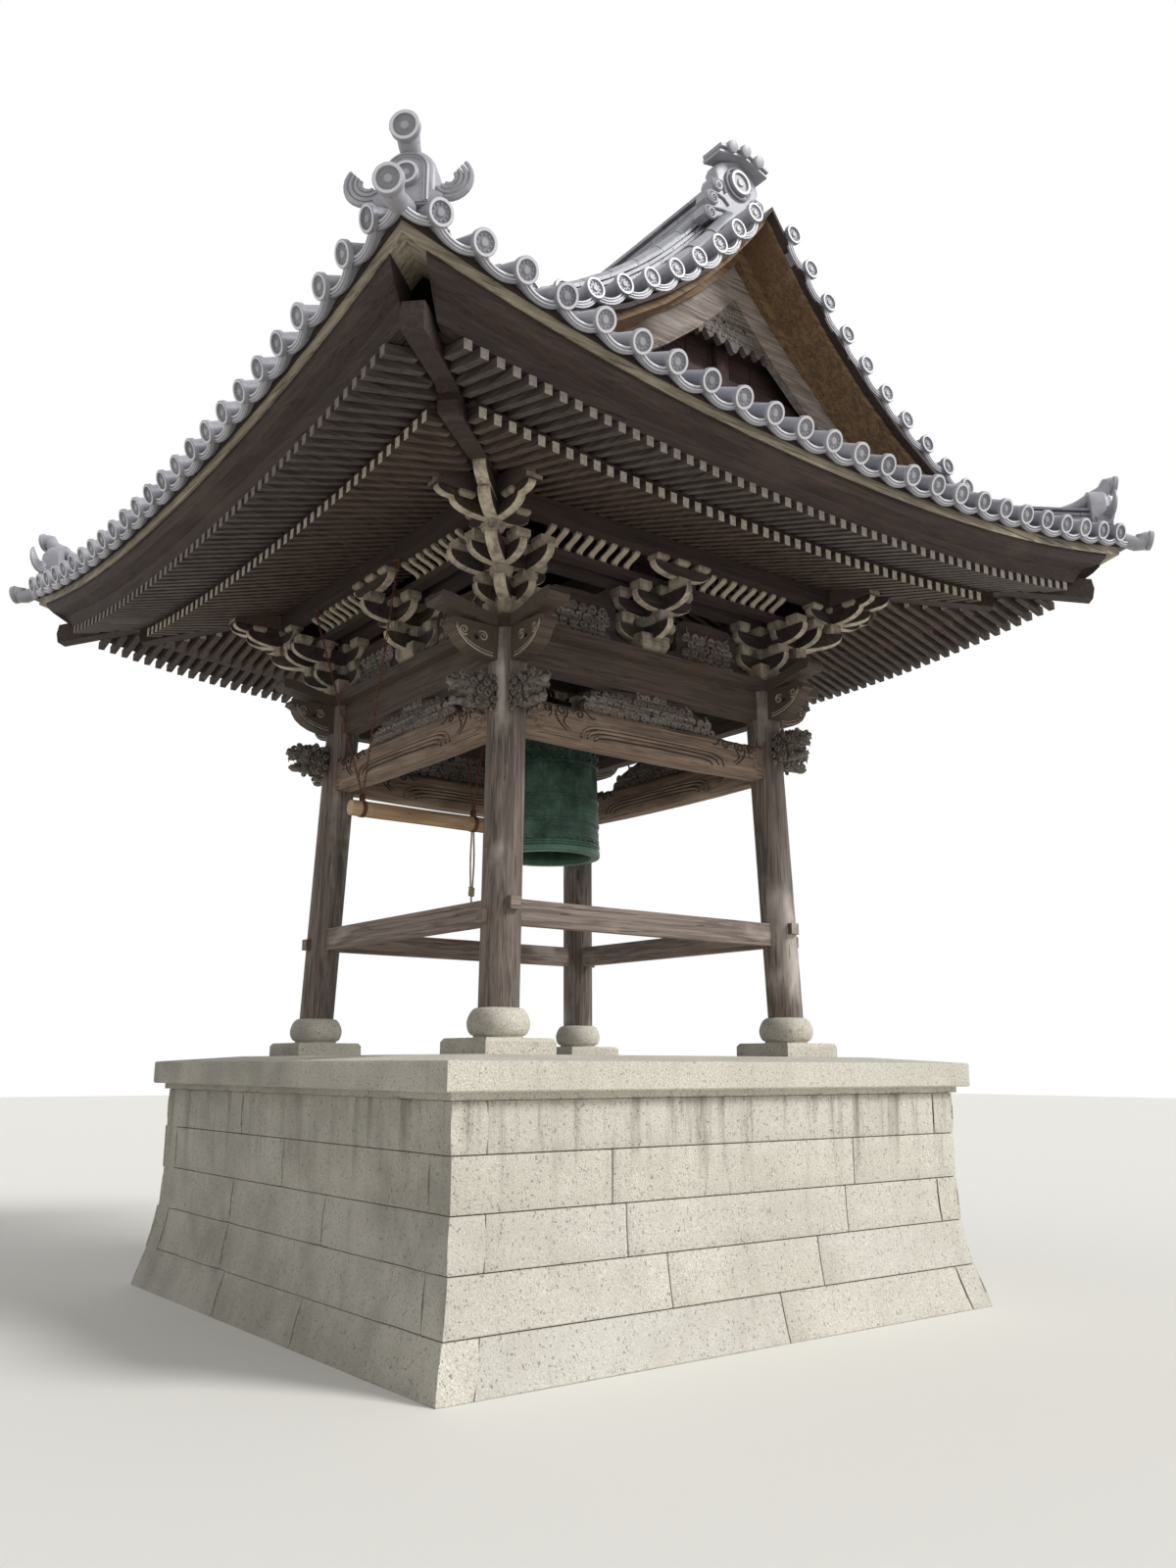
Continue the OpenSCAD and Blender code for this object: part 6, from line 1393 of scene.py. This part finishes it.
BLEACHED_AND_PAINTED_LIGHT = finish_material("bracket_wood_bleached_and_painted_light", bracket_wood)


def arm_side(reach, sweep, tall):
    """Half of an arm's outline: flat, then a quarter turn up, then the end's upright face."""
    turns = [radians(18 * t) for t in range(6)]
    return [(reach - sweep * (1 - sin(a)), tall * 0.80 * (1 - cos(a))) for a in turns] + [(reach, tall)]


def arm(bm, at, left, right=REACH, tall=ARM_TALL, half=ARM_HALF, turn=0.0, sweep=0.19):
    """An arm through a point, reaching left and right along X before it is turned about the upright."""
    arm_bm = bmesh.new()
    left_side = [(-x, z) for x, z in arm_side(left, min(sweep, left * 0.85), tall)]
    plate(arm_bm, arm_side(right, min(sweep, right * 0.85), tall) + left_side[::-1], -half, half)
    bmesh.ops.recalc_face_normals(arm_bm, faces=arm_bm.faces)
    # The undersides and ends are marked to be paled, partly as painted light.
    mark_rim(arm_bm, lambda face: abs(face.normal.y) < 0.5 and face.normal.z < 0.5)
    rounded(arm_bm, [edge for edge in arm_bm.edges
                     if sum(abs(face.normal.y) > 0.9 for face in edge.link_faces) == 1], 0.004)
    lay(bm, new_mesh(arm_bm, "arm"), [move(at) @ turned("Z", turn)])


def block(bm, x, y, z, wide=0.112, tall=0.070):
    """Square above, drawn in below."""
    block_bm = box_bm((-wide / 2, -wide / 2, tall * 0.45), (wide / 2, wide / 2, tall), 0.003)
    cone(block_bm, 4, wide * 0.53, wide * 0.70, tall * 0.47, move((0, 0, tall * 0.235)) @ turned("Z", pi / 4))
    mark_rim(block_bm, lambda face: True, 0.62)
    lay(bm, new_mesh(block_bm, "block"), [move((x, y, z))])


# %% [markdown]
# The middle set stands over each beam: arms along the wall on the first line, then on the second and the
# third, with arms across them that step out.

# %% Stack the middle sets
near, mid, far = -LINE, -LINE - STEP, -LINE - 2 * STEP
bm = bmesh.new()
block(bm, 0, near, SEAT, 0.250, 0.130)
arm(bm, (0, near, TIER_1), REACH)
arm(bm, (0, near, TIER_1), REACH + 0.030, turn=pi / 2)
arm(bm, (0, near, TIER_2), REACH + 0.020, REACH + 0.020)
arm(bm, (0, mid, TIER_2), REACH)
arm(bm, (0, near, TIER_2), REACH + STEP + 0.040, turn=pi / 2)
arm(bm, (0, far, TIER_3), REACH, tall=TOP_ARM_TALL)
for side in (-1, 0, 1):
    block(bm, side * STEP, near, BLOCK_1)
    block(bm, side * (STEP + 0.020), near, BLOCK_2)
    block(bm, side * STEP, mid, BLOCK_2)
    block(bm, side * STEP, far, BLOCK_3, tall=0.040)
block(bm, 0, mid, BLOCK_1)
block(bm, 0, far, BLOCK_2)
on_four_sides(bm, "middle_bracket_sets", BLEACHED_AND_PAINTED_LIGHT, "dark_wood", stands_for=("middle_brackets",))

# %% [markdown]
# The corner set is the same work on both sides of the diagonal, with broader arms along the diagonal
# itself. We build the side along the front, then swap X and Y for its twin. A bleached plate closes the
# end of the eave purlin that the outermost arm carries.

# %% Stack the corner sets
PURLIN_END, PURLIN_HALF, PURLIN_TALL, PLATE_THICK = far - 0.4352, 0.0585, 0.120, 0.0017
SWAP_X_AND_Y = Matrix(((0, 1, 0, 0), (1, 0, 0, 0), (0, 0, 1, 0), (0, 0, 0, 1)))
half_bm = bmesh.new()
arm(half_bm, (near, near, TIER_1), REACH + 0.020)
arm(half_bm, (near, near, TIER_2), REACH + STEP + 0.030, REACH + 0.020)
arm(half_bm, (mid, mid, TIER_2), REACH)
arm(half_bm, (far, far, TIER_3), REACH + 0.060, tall=TOP_ARM_TALL)
for x, y, z in ((near - STEP, near, BLOCK_1), (near + STEP, near, BLOCK_1),
                (near + STEP + 0.02, near, BLOCK_2), (near - 2 * STEP, near, BLOCK_2),
                (mid - STEP, mid, BLOCK_2), (mid + STEP, mid, BLOCK_2)):
    block(half_bm, x, y, z)
for x in (far - STEP - 0.03, far + STEP):
    block(half_bm, x, far, BLOCK_3, tall=0.040)
arm(half_bm, (far - 0.14, far, BLOCK_3 - 0.012), 0.275, 0.10, tall=0.050, sweep=0.09)
box_bm((PURLIN_END, far - PURLIN_HALF, EAVE_SEAT),
       (PURLIN_END + PLATE_THICK, far + PURLIN_HALF, EAVE_SEAT + PURLIN_TALL), bm=half_bm)
mark_rim(half_bm, lambda face: abs(face.calc_center_median().x - PURLIN_END) < 0.003, 0.6)
bm = lay(bmesh.new(), new_mesh(half_bm, "half_set"), [Matrix(), SWAP_X_AND_Y])
block(bm, near, near, SEAT, 0.250, 0.130)
for level, spots in ((BLOCK_1, (near, mid)), (BLOCK_2, (near, mid, far))):
    for spot in spots:
        block(bm, spot, spot, level)
block(bm, far, far, BLOCK_3, tall=0.040)
for spot, level, reach, tall, sweep in ((near, TIER_1, sqrt(2) * STEP + 0.07, ARM_TALL, 0.24),
                                        (near, TIER_2, sqrt(8) * STEP + 0.08, ARM_TALL, 0.26),
                                        (far, TIER_3, 0.300, 0.100, 0.26),
                                        (far, TIER_3 + 0.100, 0.440, ARM_TALL, 0.30)):
    arm(bm, (spot, spot, level), reach, 0.10, tall=tall, half=BROAD_HALF, turn=pi / 4, sweep=sweep)
on_four_sides(bm, "corner_bracket_sets", BLEACHED_AND_PAINTED_LIGHT, "dark_wood", stands_for=("corner_brackets",))

# %% [markdown]
# Between the purlins spring bent ribs, sawn to an S and set as far apart as they are wide.

# %% Bend the ribs
RIB_FOOT, RIB_HEAD, RIB_LOW, RIB_HIGH = LINE + STEP + 0.040, LINE + 2 * STEP - 0.022, 4.8405, 4.9295
RIB_THICK, RIB_HALF, FIRST_RIB, RIB_PITCH = 0.040, 0.0225, 0.350, 0.0997
outer = [(RIB_FOOT + (RIB_HEAD - RIB_FOOT) * (t / 10 - 0.17 * sin(tau * t / 10)),
          RIB_LOW + (RIB_HIGH - RIB_LOW) * t / 10) for t in range(11)]
rib_bm = bmesh.new()
plate(rib_bm, outer + [(x - RIB_THICK, z) for x, z in reversed(outer)], -RIB_HALF, RIB_HALF, 0.004, 1)
places = [move((side * (FIRST_RIB + RIB_PITCH * index), 0, 0)) @ turned("Z", -pi / 2)
          for side in (-1, 1) for index in range(8)]
on_four_sides(lay(bmesh.new(), new_mesh(rib_bm, "rib"), places), "bent_ribs", RIB, "dark_wood",
              stands_for=("ribs_front_back", "ribs_sides"))

# %% [markdown]
# The bell was cast with its ornament in the mould: bands of fine lines round it, four upright bands of
# rods that cross them, rows of bosses near the shoulder, two lotus discs where the log strikes, and a
# scrolled band over the lip. Rings are a small profile spun round the bell; the rest is set on its curve.

# %% Cast the bell's ornament
MOUTH, BELL_RADIUS, BELL_SIDE, STRIKE_HEIGHT = 3.065, 0.395, 1.002, 0.185
FINE_RINGS = (0.150, 0.166, 0.182, 0.214, 0.226, 0.262, 0.278, 0.300, 0.360, 0.374, 0.388, 0.640, 0.652,
              0.668, 0.930, 0.944, 0.958)
BROAD_RINGS = (0.122, 0.244, 0.318, 0.346)


def bell_radius(height):
    """The bell's radius at a height over its mouth, as the solid's curve has it."""
    t = min(1, max(0, height / BELL_SIDE))
    return BELL_RADIUS * (0.976 - 0.045 * t - 0.05 * t ** 6)


def ring_round(bm, height, proud, high):
    """A raised line round the bell: its profile, spun a full turn."""
    reach = bell_radius(height)
    profile = [(reach - 0.004, -high / 2), (reach + proud, -high * 0.3), (reach + proud, high * 0.3),
               (reach - 0.004, high / 2)]
    verts = [bm.verts.new((x, 0, MOUTH + height + z)) for x, z in profile]
    edges = [bm.edges.new((a, b)) for a, b in zip(verts, verts[1:] + verts[:1])]
    bmesh.ops.spin(bm, geom=verts + edges, cent=(0, 0, 0), axis=(0, 0, 1), angle=tau, steps=64,
                   use_merge=True)


def on_bell(angle, height, proud=0.0):
    """Placed on the bell's side: X round it, Y outwards, Z up."""
    return turned("Z", angle) @ move((0, bell_radius(height) + proud, MOUTH + height))


def on_the_bell(bm, name, smooth=60):
    piece(bm, name, BRONZE, "green_bronze", smooth=smooth)


def sphere(bm, around, high, radius, place=Matrix()):
    bmesh.ops.create_uvsphere(bm, u_segments=around, v_segments=high, radius=radius, matrix=place)


bm = bmesh.new()
for height in FINE_RINGS:
    ring_round(bm, height, 0.004, 0.007)
for height in BROAD_RINGS:
    ring_round(bm, height, 0.006, 0.013)
for quarter in range(4):
    for shift in (-0.105, -0.085, -0.060, 0, 0.060, 0.085, 0.105):
        rod = [on_bell(quarter * pi / 2 + shift, 0.39 + 0.53 * t / 8).to_translation() for t in range(9)]
        tube(bm, rod, 0.0042, sides=6)
on_the_bell(bm, "bell_bands", 50)

boss, lotus = bmesh.new(), bmesh.new()
sphere(boss, 10, 6, 0.0155)
bosses = [on_bell(quarter * pi / 2 + pi / 4 + (column - 2) * 0.215, 0.700 + row * 0.062, 0.002)
          @ scaled((0.9, 1.1, 0.9, 1)) for quarter in range(4) for row in range(4) for column in range(5)]
bm = lay(bmesh.new(), new_mesh(boss, "boss"), bosses)
cone(lotus, 32, 0.052, 0.060, 0.014, turned("X", pi / 2))
sphere(lotus, 16, 8, 0.022, move((0, 0.006, 0)) @ scaled((1, 0.5, 1, 1)))
for petal in range(8):
    sphere(lotus, 8, 6, 0.017,
           turned("Y", tau * petal / 8) @ move((0, 0.006, 0.038)) @ scaled((0.7, 0.5, 1, 1)))
lay(bm, new_mesh(lotus, "lotus"), [on_bell(angle, STRIKE_HEIGHT, 0.001) @ scaled((1, 0.6, 1, 1))
                                   for angle in (pi / 2, -pi / 2)])
on_the_bell(bm, "bell_bosses")

bm = bmesh.new()
for index in range(44):
    patch = bmesh.new()
    coil(patch, 0, 0, 0, 0.021, index * 0.9, (-1) ** index * 1.3, 0.0042, 0.014)
    lay(bm, new_mesh(patch, "patch"), [on_bell(tau * index / 44, 0.087, 0.001)])
on_the_bell(bm, "bell_scrolls")

# %% [markdown]
# The bell hangs by a loop that is cast as two dragon heads back to back. The solid loop gets what the
# eye looks for: brows, snouts that rest on the crown, and scales of a crest.

# %% Cast the loop's heads
CROWN = 4.155
bm = bmesh.new()
for side in (-1, 1):
    def mass(x, y, z, radii, fine=2):
        bmesh.ops.create_icosphere(bm, subdivisions=fine, radius=1,
                                   matrix=move((side * x, y, CROWN + z)) @ scaled((*radii, 1)))
    mass(0.118, 0, 0.042, (0.042, 0.044, 0.034))
    mass(0.150, 0, 0.020, (0.026, 0.036, 0.020))
    mass(0.100, 0, 0.092, (0.034, 0.042, 0.036))
    for y in (-1, 1):
        mass(0.138, y * 0.030, 0.060, (0.011, 0.010, 0.011), 1)
        mass(0.166, y * 0.018, 0.030, (0.008, 0.008, 0.008), 1)
        horn = [Vector((side * x, y * 0.036, CROWN + z))
                for x, z in ((0.128, 0.082), (0.104, 0.112), (0.076, 0.122))]
        tube(bm, smooth_line(horn, 0.01), lambda t: 0.009 - 0.006 * t, sides=6)
    for step in range(5):
        mass(0.078 - step * 0.017, 0, 0.128 + step * 0.008, (0.013, 0.040, 0.013), 1)
on_the_bell(bm, "bell_loop_heads")

# %% [markdown]
# The log hangs on chains. A link is a small tube bent into a long ring; each next link is turned by a
# quarter, and their number fills the whole length from the eye in the beam to the ring on the log.

# %% Hang the chains
LINK_PITCH, HOOK_HEIGHT, PIN_HEIGHT, SLING_OUT, EYE_RADIUS = 0.0295, 3.339, 4.8843, 1.550, 0.0130
link, eye = bmesh.new(), bmesh.new()
oval = [Vector((0.0075 * sin(angle), 0, 0.0105 * cos(angle) + copysign(0.0075, cos(angle))))
        for angle in (tau * t / 12 for t in range(12))]
tube(link, oval + [oval[0]], 0.0031, sides=5)
LINK = new_mesh(link, "link")
ring = [Vector((EYE_RADIUS * cos(tau * t / 18), 0, EYE_RADIUS * sin(tau * t / 18))) for t in range(19)]
tube(eye, ring, 0.0038, sides=7)
EYE = new_mesh(eye, "eye")
for body, x, spread in (("outer_sling", -SLING_OUT, (-0.370, 0.870)),
                        ("inner_sling", -SLING_IN, (-0.350, 0.350))):
    links, eyes = [], [move((x, 0, HOOK_HEIGHT))]
    for y in spread:
        low, high = Vector((x, copysign(0.004, y), HOOK_HEIGHT + 0.013)), Vector((x, y, PIN_HEIGHT))
        run = high - low
        run -= run.normalized() * 0.013
        count = round(run.length / LINK_PITCH)
        tilt = Vector((0, 0, 1)).rotation_difference(run).to_matrix().to_4x4()
        links += [move(low + run * (index + 0.5) / count) @ tilt @ turned("Z", pi / 2 * (index % 2))
                  @ scaled((1, 1, run.length / count / LINK_PITCH, 1)) for index in range(count)]
        eyes.append(move(high))
    piece(lay(lay(bmesh.new(), LINK, links), EYE, eyes), body + "_chain", IRON, "rusty_iron", body=body,
          smooth=60, stands_for=[body])

# %% [markdown]
# The log is a peeled trunk with two iron straps that carry the rings. Its edges are rounded by use.

# %% Turn the log and forge its straps
LOG_TAIL, LOG_HEAD, LOG_RADIUS, STRAP_THICK = -1.640, -0.480, 0.055, 0.004
bm = bmesh.new()
line = [Vector((LOG_TAIL + 0.0005 + (LOG_HEAD - LOG_TAIL - 0.001) * t / 20, 0, LOG_HEIGHT))
        for t in range(21)]
tube(bm, line, lambda t: LOG_RADIUS * (0.985 + 0.012 * sin(t * 9)), sides=28)
rounded(bm, capped_edges(bm.edges), 0.009, 3)
piece(bm, "peeled_log", LOG, "log_wood", body="striker", smooth=50, stands_for=["striker_log"])
bm = bmesh.new()
for x in (-SLING_OUT, -SLING_IN):
    reach = LOG_RADIUS + STRAP_THICK
    band = cone(bm, 36, reach, reach, 0.032, move((x, 0, LOG_HEIGHT)) @ turned("Y", pi / 2))
    rounded(bm, capped_edges(edges_of(band)), 0.0015)
    for side in (-1, 1):
        box_bm((x - 0.012, side * 0.020 - STRAP_THICK, LOG_HEIGHT + LOG_RADIUS - 0.006),
               (x + 0.012, side * 0.020 + STRAP_THICK, HOOK_HEIGHT + 0.012), 0.002, bm)
    for length, radius in ((0.048, 0.008), (0.058, 0.0048)):
        cone(bm, 16, radius, radius, length, move((x, 0, HOOK_HEIGHT)) @ turned("X", pi / 2))
piece(bm, "log_straps", IRON, "rusty_iron", body="striker", smooth=40)

# %% [markdown]
# The boards under the tiles are too long for one tree, so they are butted end to end. The joints show as
# dark lines, cut with the same groove that parts the cap's stones. The eave board's upper half lies in
# the tiles' shade and is as dark as the soffit.

# %% Part the eave boards and the verge boards
bm = own_copy("eave_boards")
bm.normal_update()
for turn in QUARTERS:
    outward = turn @ FRONT
    upper = {vert for vert in bm.verts if vert.normal.z > 0}
    across = once(edge for face in bm.faces if face.normal.dot(outward) > 0.7 for edge in face.edges
                  if len(upper.intersection(edge.verts)) == 1)
    bmesh.ops.subdivide_edges(bm, edges=across, cuts=1)
    bm.normal_update()
    for face in bm.faces:
        if face.normal.dot(outward) > 0.7 and upper.intersection(face.verts):
            face.material_index = 1

    def seen_face(face):
        return face.calc_center_median().dot(outward) > 2.75 and face.normal.z < 0.6
    for x in (-2.564, -2.085, -1.528, -0.969, -0.327, 0.327, 0.969, 1.528, 2.085, 2.564):
        groove(bm, turn @ Vector((x, -3.0, 5)), turn @ RIGHT, 0.005, 0.006, seen_face)
piece(bm, "eave_planks", PALE, "pale_wood", stands_for=("eave_boards",), second=[SOFFIT])

bm = own_copy("verge_boards")
for sign_y in (-1, 1):
    for x in (-1.50, -1.12, -0.74, -0.36, 0.36, 0.74, 1.12, 1.50):
        slope = (roof_height(abs(x) + 0.02, 0) - roof_height(abs(x) - 0.02, 0)) / 0.04 * copysign(1, x)
        groove(bm, (x, sign_y * 2.3, roof_height(abs(x), 0) - 0.1), Vector((1, 0, slope)), 0.006, 0.006,
               lambda face: face.calc_center_median().y * sign_y > 2.10 and face.normal.z < 0.1)
piece(bm, "verge_planks", VERGE, "pale_wood", stands_for=("verge_boards",))

# %% [markdown]
# The gable shows its carpentry. Two fine lines follow each bargeboard's lower edge, the pendant between
# them is carved in waves, and a tie beam with a short post stands out from the boarded wall.

# %% Carve the gable
BARGE_FACE, PENDANT_FACE, WALL_FACE = 2.120, 2.111, 1.951
UP = Vector((0, 0, 1))


def on_both_gables(bm, name, material):
    both = lay(bmesh.new(), new_mesh(bm, name), [Matrix(), turned("Z", pi)])
    piece(both, name, material, "pale_wood", smooth=60)


barge_tree = BVHTree.FromBMesh(own_copy("bargeboards"))
lines = bmesh.new()
for side in (-1, 1):
    for rise, radius in ((0.020, 0.0045), (0.036, 0.0030)):
        edge = []
        for part in range(30):
            x = 0.345 + (1.74 - 0.345) * part / 29
            hit = barge_tree.ray_cast(Vector((side * x, -2.09, 5.2)), UP, 3)[0]
            if hit is not None:
                edge.append(Vector((side * x, -BARGE_FACE, hit.z + rise)))
        tube(lines, edge, radius, sides=6)
on_both_gables(lines, "bargeboard_lines", BARGE)

pendant_tree = BVHTree.FromBMesh(own_copy("gable_pendants"))
waves = bmesh.new()
for row, z in enumerate((6.345, 6.405, 6.465, 6.525, 6.585)):
    for column in range(-6, 7):
        x = (column + 0.5 * (row % 2)) * 0.052
        hit = pendant_tree.ray_cast(Vector((x, -2.3, z)), -FRONT, 0.4)[0]
        if hit is not None and abs(hit.y + PENDANT_FACE) <= 0.006:
            coil(waves, x, -PENDANT_FACE, z, random.uniform(0.021, 0.027), random.uniform(0, tau),
                 (1 if x > 0 else -1) * random.uniform(1.1, 1.4), 0.0062, 0.024)
on_both_gables(waves, "pendant_waves", CARVING)

bm = own_copy("gable_walls")
for sign_y in (-1, 1):
    for index in range(-7, 8):
        groove(bm, (index * 0.2 + 0.1, sign_y * 1.95, 6.3), RIGHT, 0.005, 0.007,
               lambda face: face.normal.y * sign_y > 0.9 and abs(face.calc_center_median().y) > 1.9)
    for half, thick, low, high in ((0.98, 0.055, 5.98, 6.11), (0.06, 0.045, 6.11, 6.62),
                                   (0.52, 0.050, 6.36, 6.47)):
        near_y, far_y = sorted((sign_y * WALL_FACE, sign_y * (WALL_FACE + thick)))
        box_bm((-half, near_y, low), (half, far_y, high), 0.006, bm)
piece(bm, "gable_boarding", GABLE, "dark_wood", stands_for=("gable_walls",))

# %% [markdown]
# The ends of the head ties are cut to a scroll. A raised line follows the curve underneath and coils up
# near the tip, on both faces of each nosing.

# %% Carve the tie nosings
TIE_HALF = 0.054
tie_tree = BVHTree.FromBMesh(own_copy("head_ties"))
bm = bmesh.new()
for side, end in CORNERS:
    face_y = -LINE + side * TIE_HALF
    edge = []
    for part in range(12):
        x = end * (1.30 + 0.30 * part / 11)
        hit = tie_tree.ray_cast(Vector((x, -LINE, 3.9)), UP, 0.5)[0]
        if hit is not None and hit.z < 4.24:
            edge.append(Vector((x, face_y, hit.z + 0.018)))
    for offset, radius in ((0, 0.0060), (0.020, 0.0035)):
        tube(bm, [point + UP * offset for point in edge[:-1]], radius, sides=6)
    for centre, reach, start in (((1.515, 4.205), 0.034, -2.2), ((1.375, 4.190), 0.036, 0.6)):
        tube(bm, [Vector((end * x, face_y, z)) for x, z in spiral(centre, reach, start, 1.5)],
             lambda t: 0.0065 - 0.002 * t, sides=6)
on_four_sides(bm, "nosing_scrolls", RIB, "dark_wood", smooth=60)

# %% [markdown]
# A plain pale floor, a white backdrop that the camera and mirroring surfaces see, and soft light from the
# front right.

# %% Floor, backdrop and light
floor_bm = bmesh.new()
bmesh.ops.create_grid(floor_bm, x_segments=1, y_segments=1, size=60)
floor_finish = finish_material("floor", lambda place, normal: {"Base Color": linear((226, 224, 218)),
                                                               "Roughness": 0.95})
placed("floor", new_mesh(floor_bm, "floor", [floor_finish]))

world = bpy.data.worlds.new("studio")
bpy.context.scene.world = world
world.use_nodes = True
sky = world.node_tree
rays = sky.nodes.new("ShaderNodeLightPath").outputs
camera_ray, glossy_ray, through_ray = (Tone(sky, rays[f"Is {kind} Ray"]) for kind in ("Camera", "Glossy",
                                                                                     "Transmission"))
seen = camera_ray.math("MAXIMUM", glossy_ray.math("MAXIMUM", through_ray))
fill, backdrop = sky.nodes["Background"], sky.nodes.new("ShaderNodeBackground")
fill.inputs["Strength"].default_value = 0.55
for light in (fill, backdrop):
    light.inputs["Color"].default_value = (1.0, 1.0, 1.0, 1.0)
mixed = seen.node("ShaderNodeMixShader", {}, {0: seen, 1: Tone(sky, fill.outputs[0]),
                                              2: Tone(sky, backdrop.outputs[0])})
sky.links.new(mixed.socket, sky.nodes["World Output"].inputs["Surface"])

sun_data = bpy.data.lights.new("soft_sun", "SUN")
sun_data.energy = 2.5
sun_data.angle = radians(18)
sun = placed("soft_sun", sun_data)
sun.rotation_euler = Vector((0.55, -0.75, 0.72)).to_track_quat("Z", "Y").to_euler()
bpy.context.scene.view_settings.view_transform = "Standard"
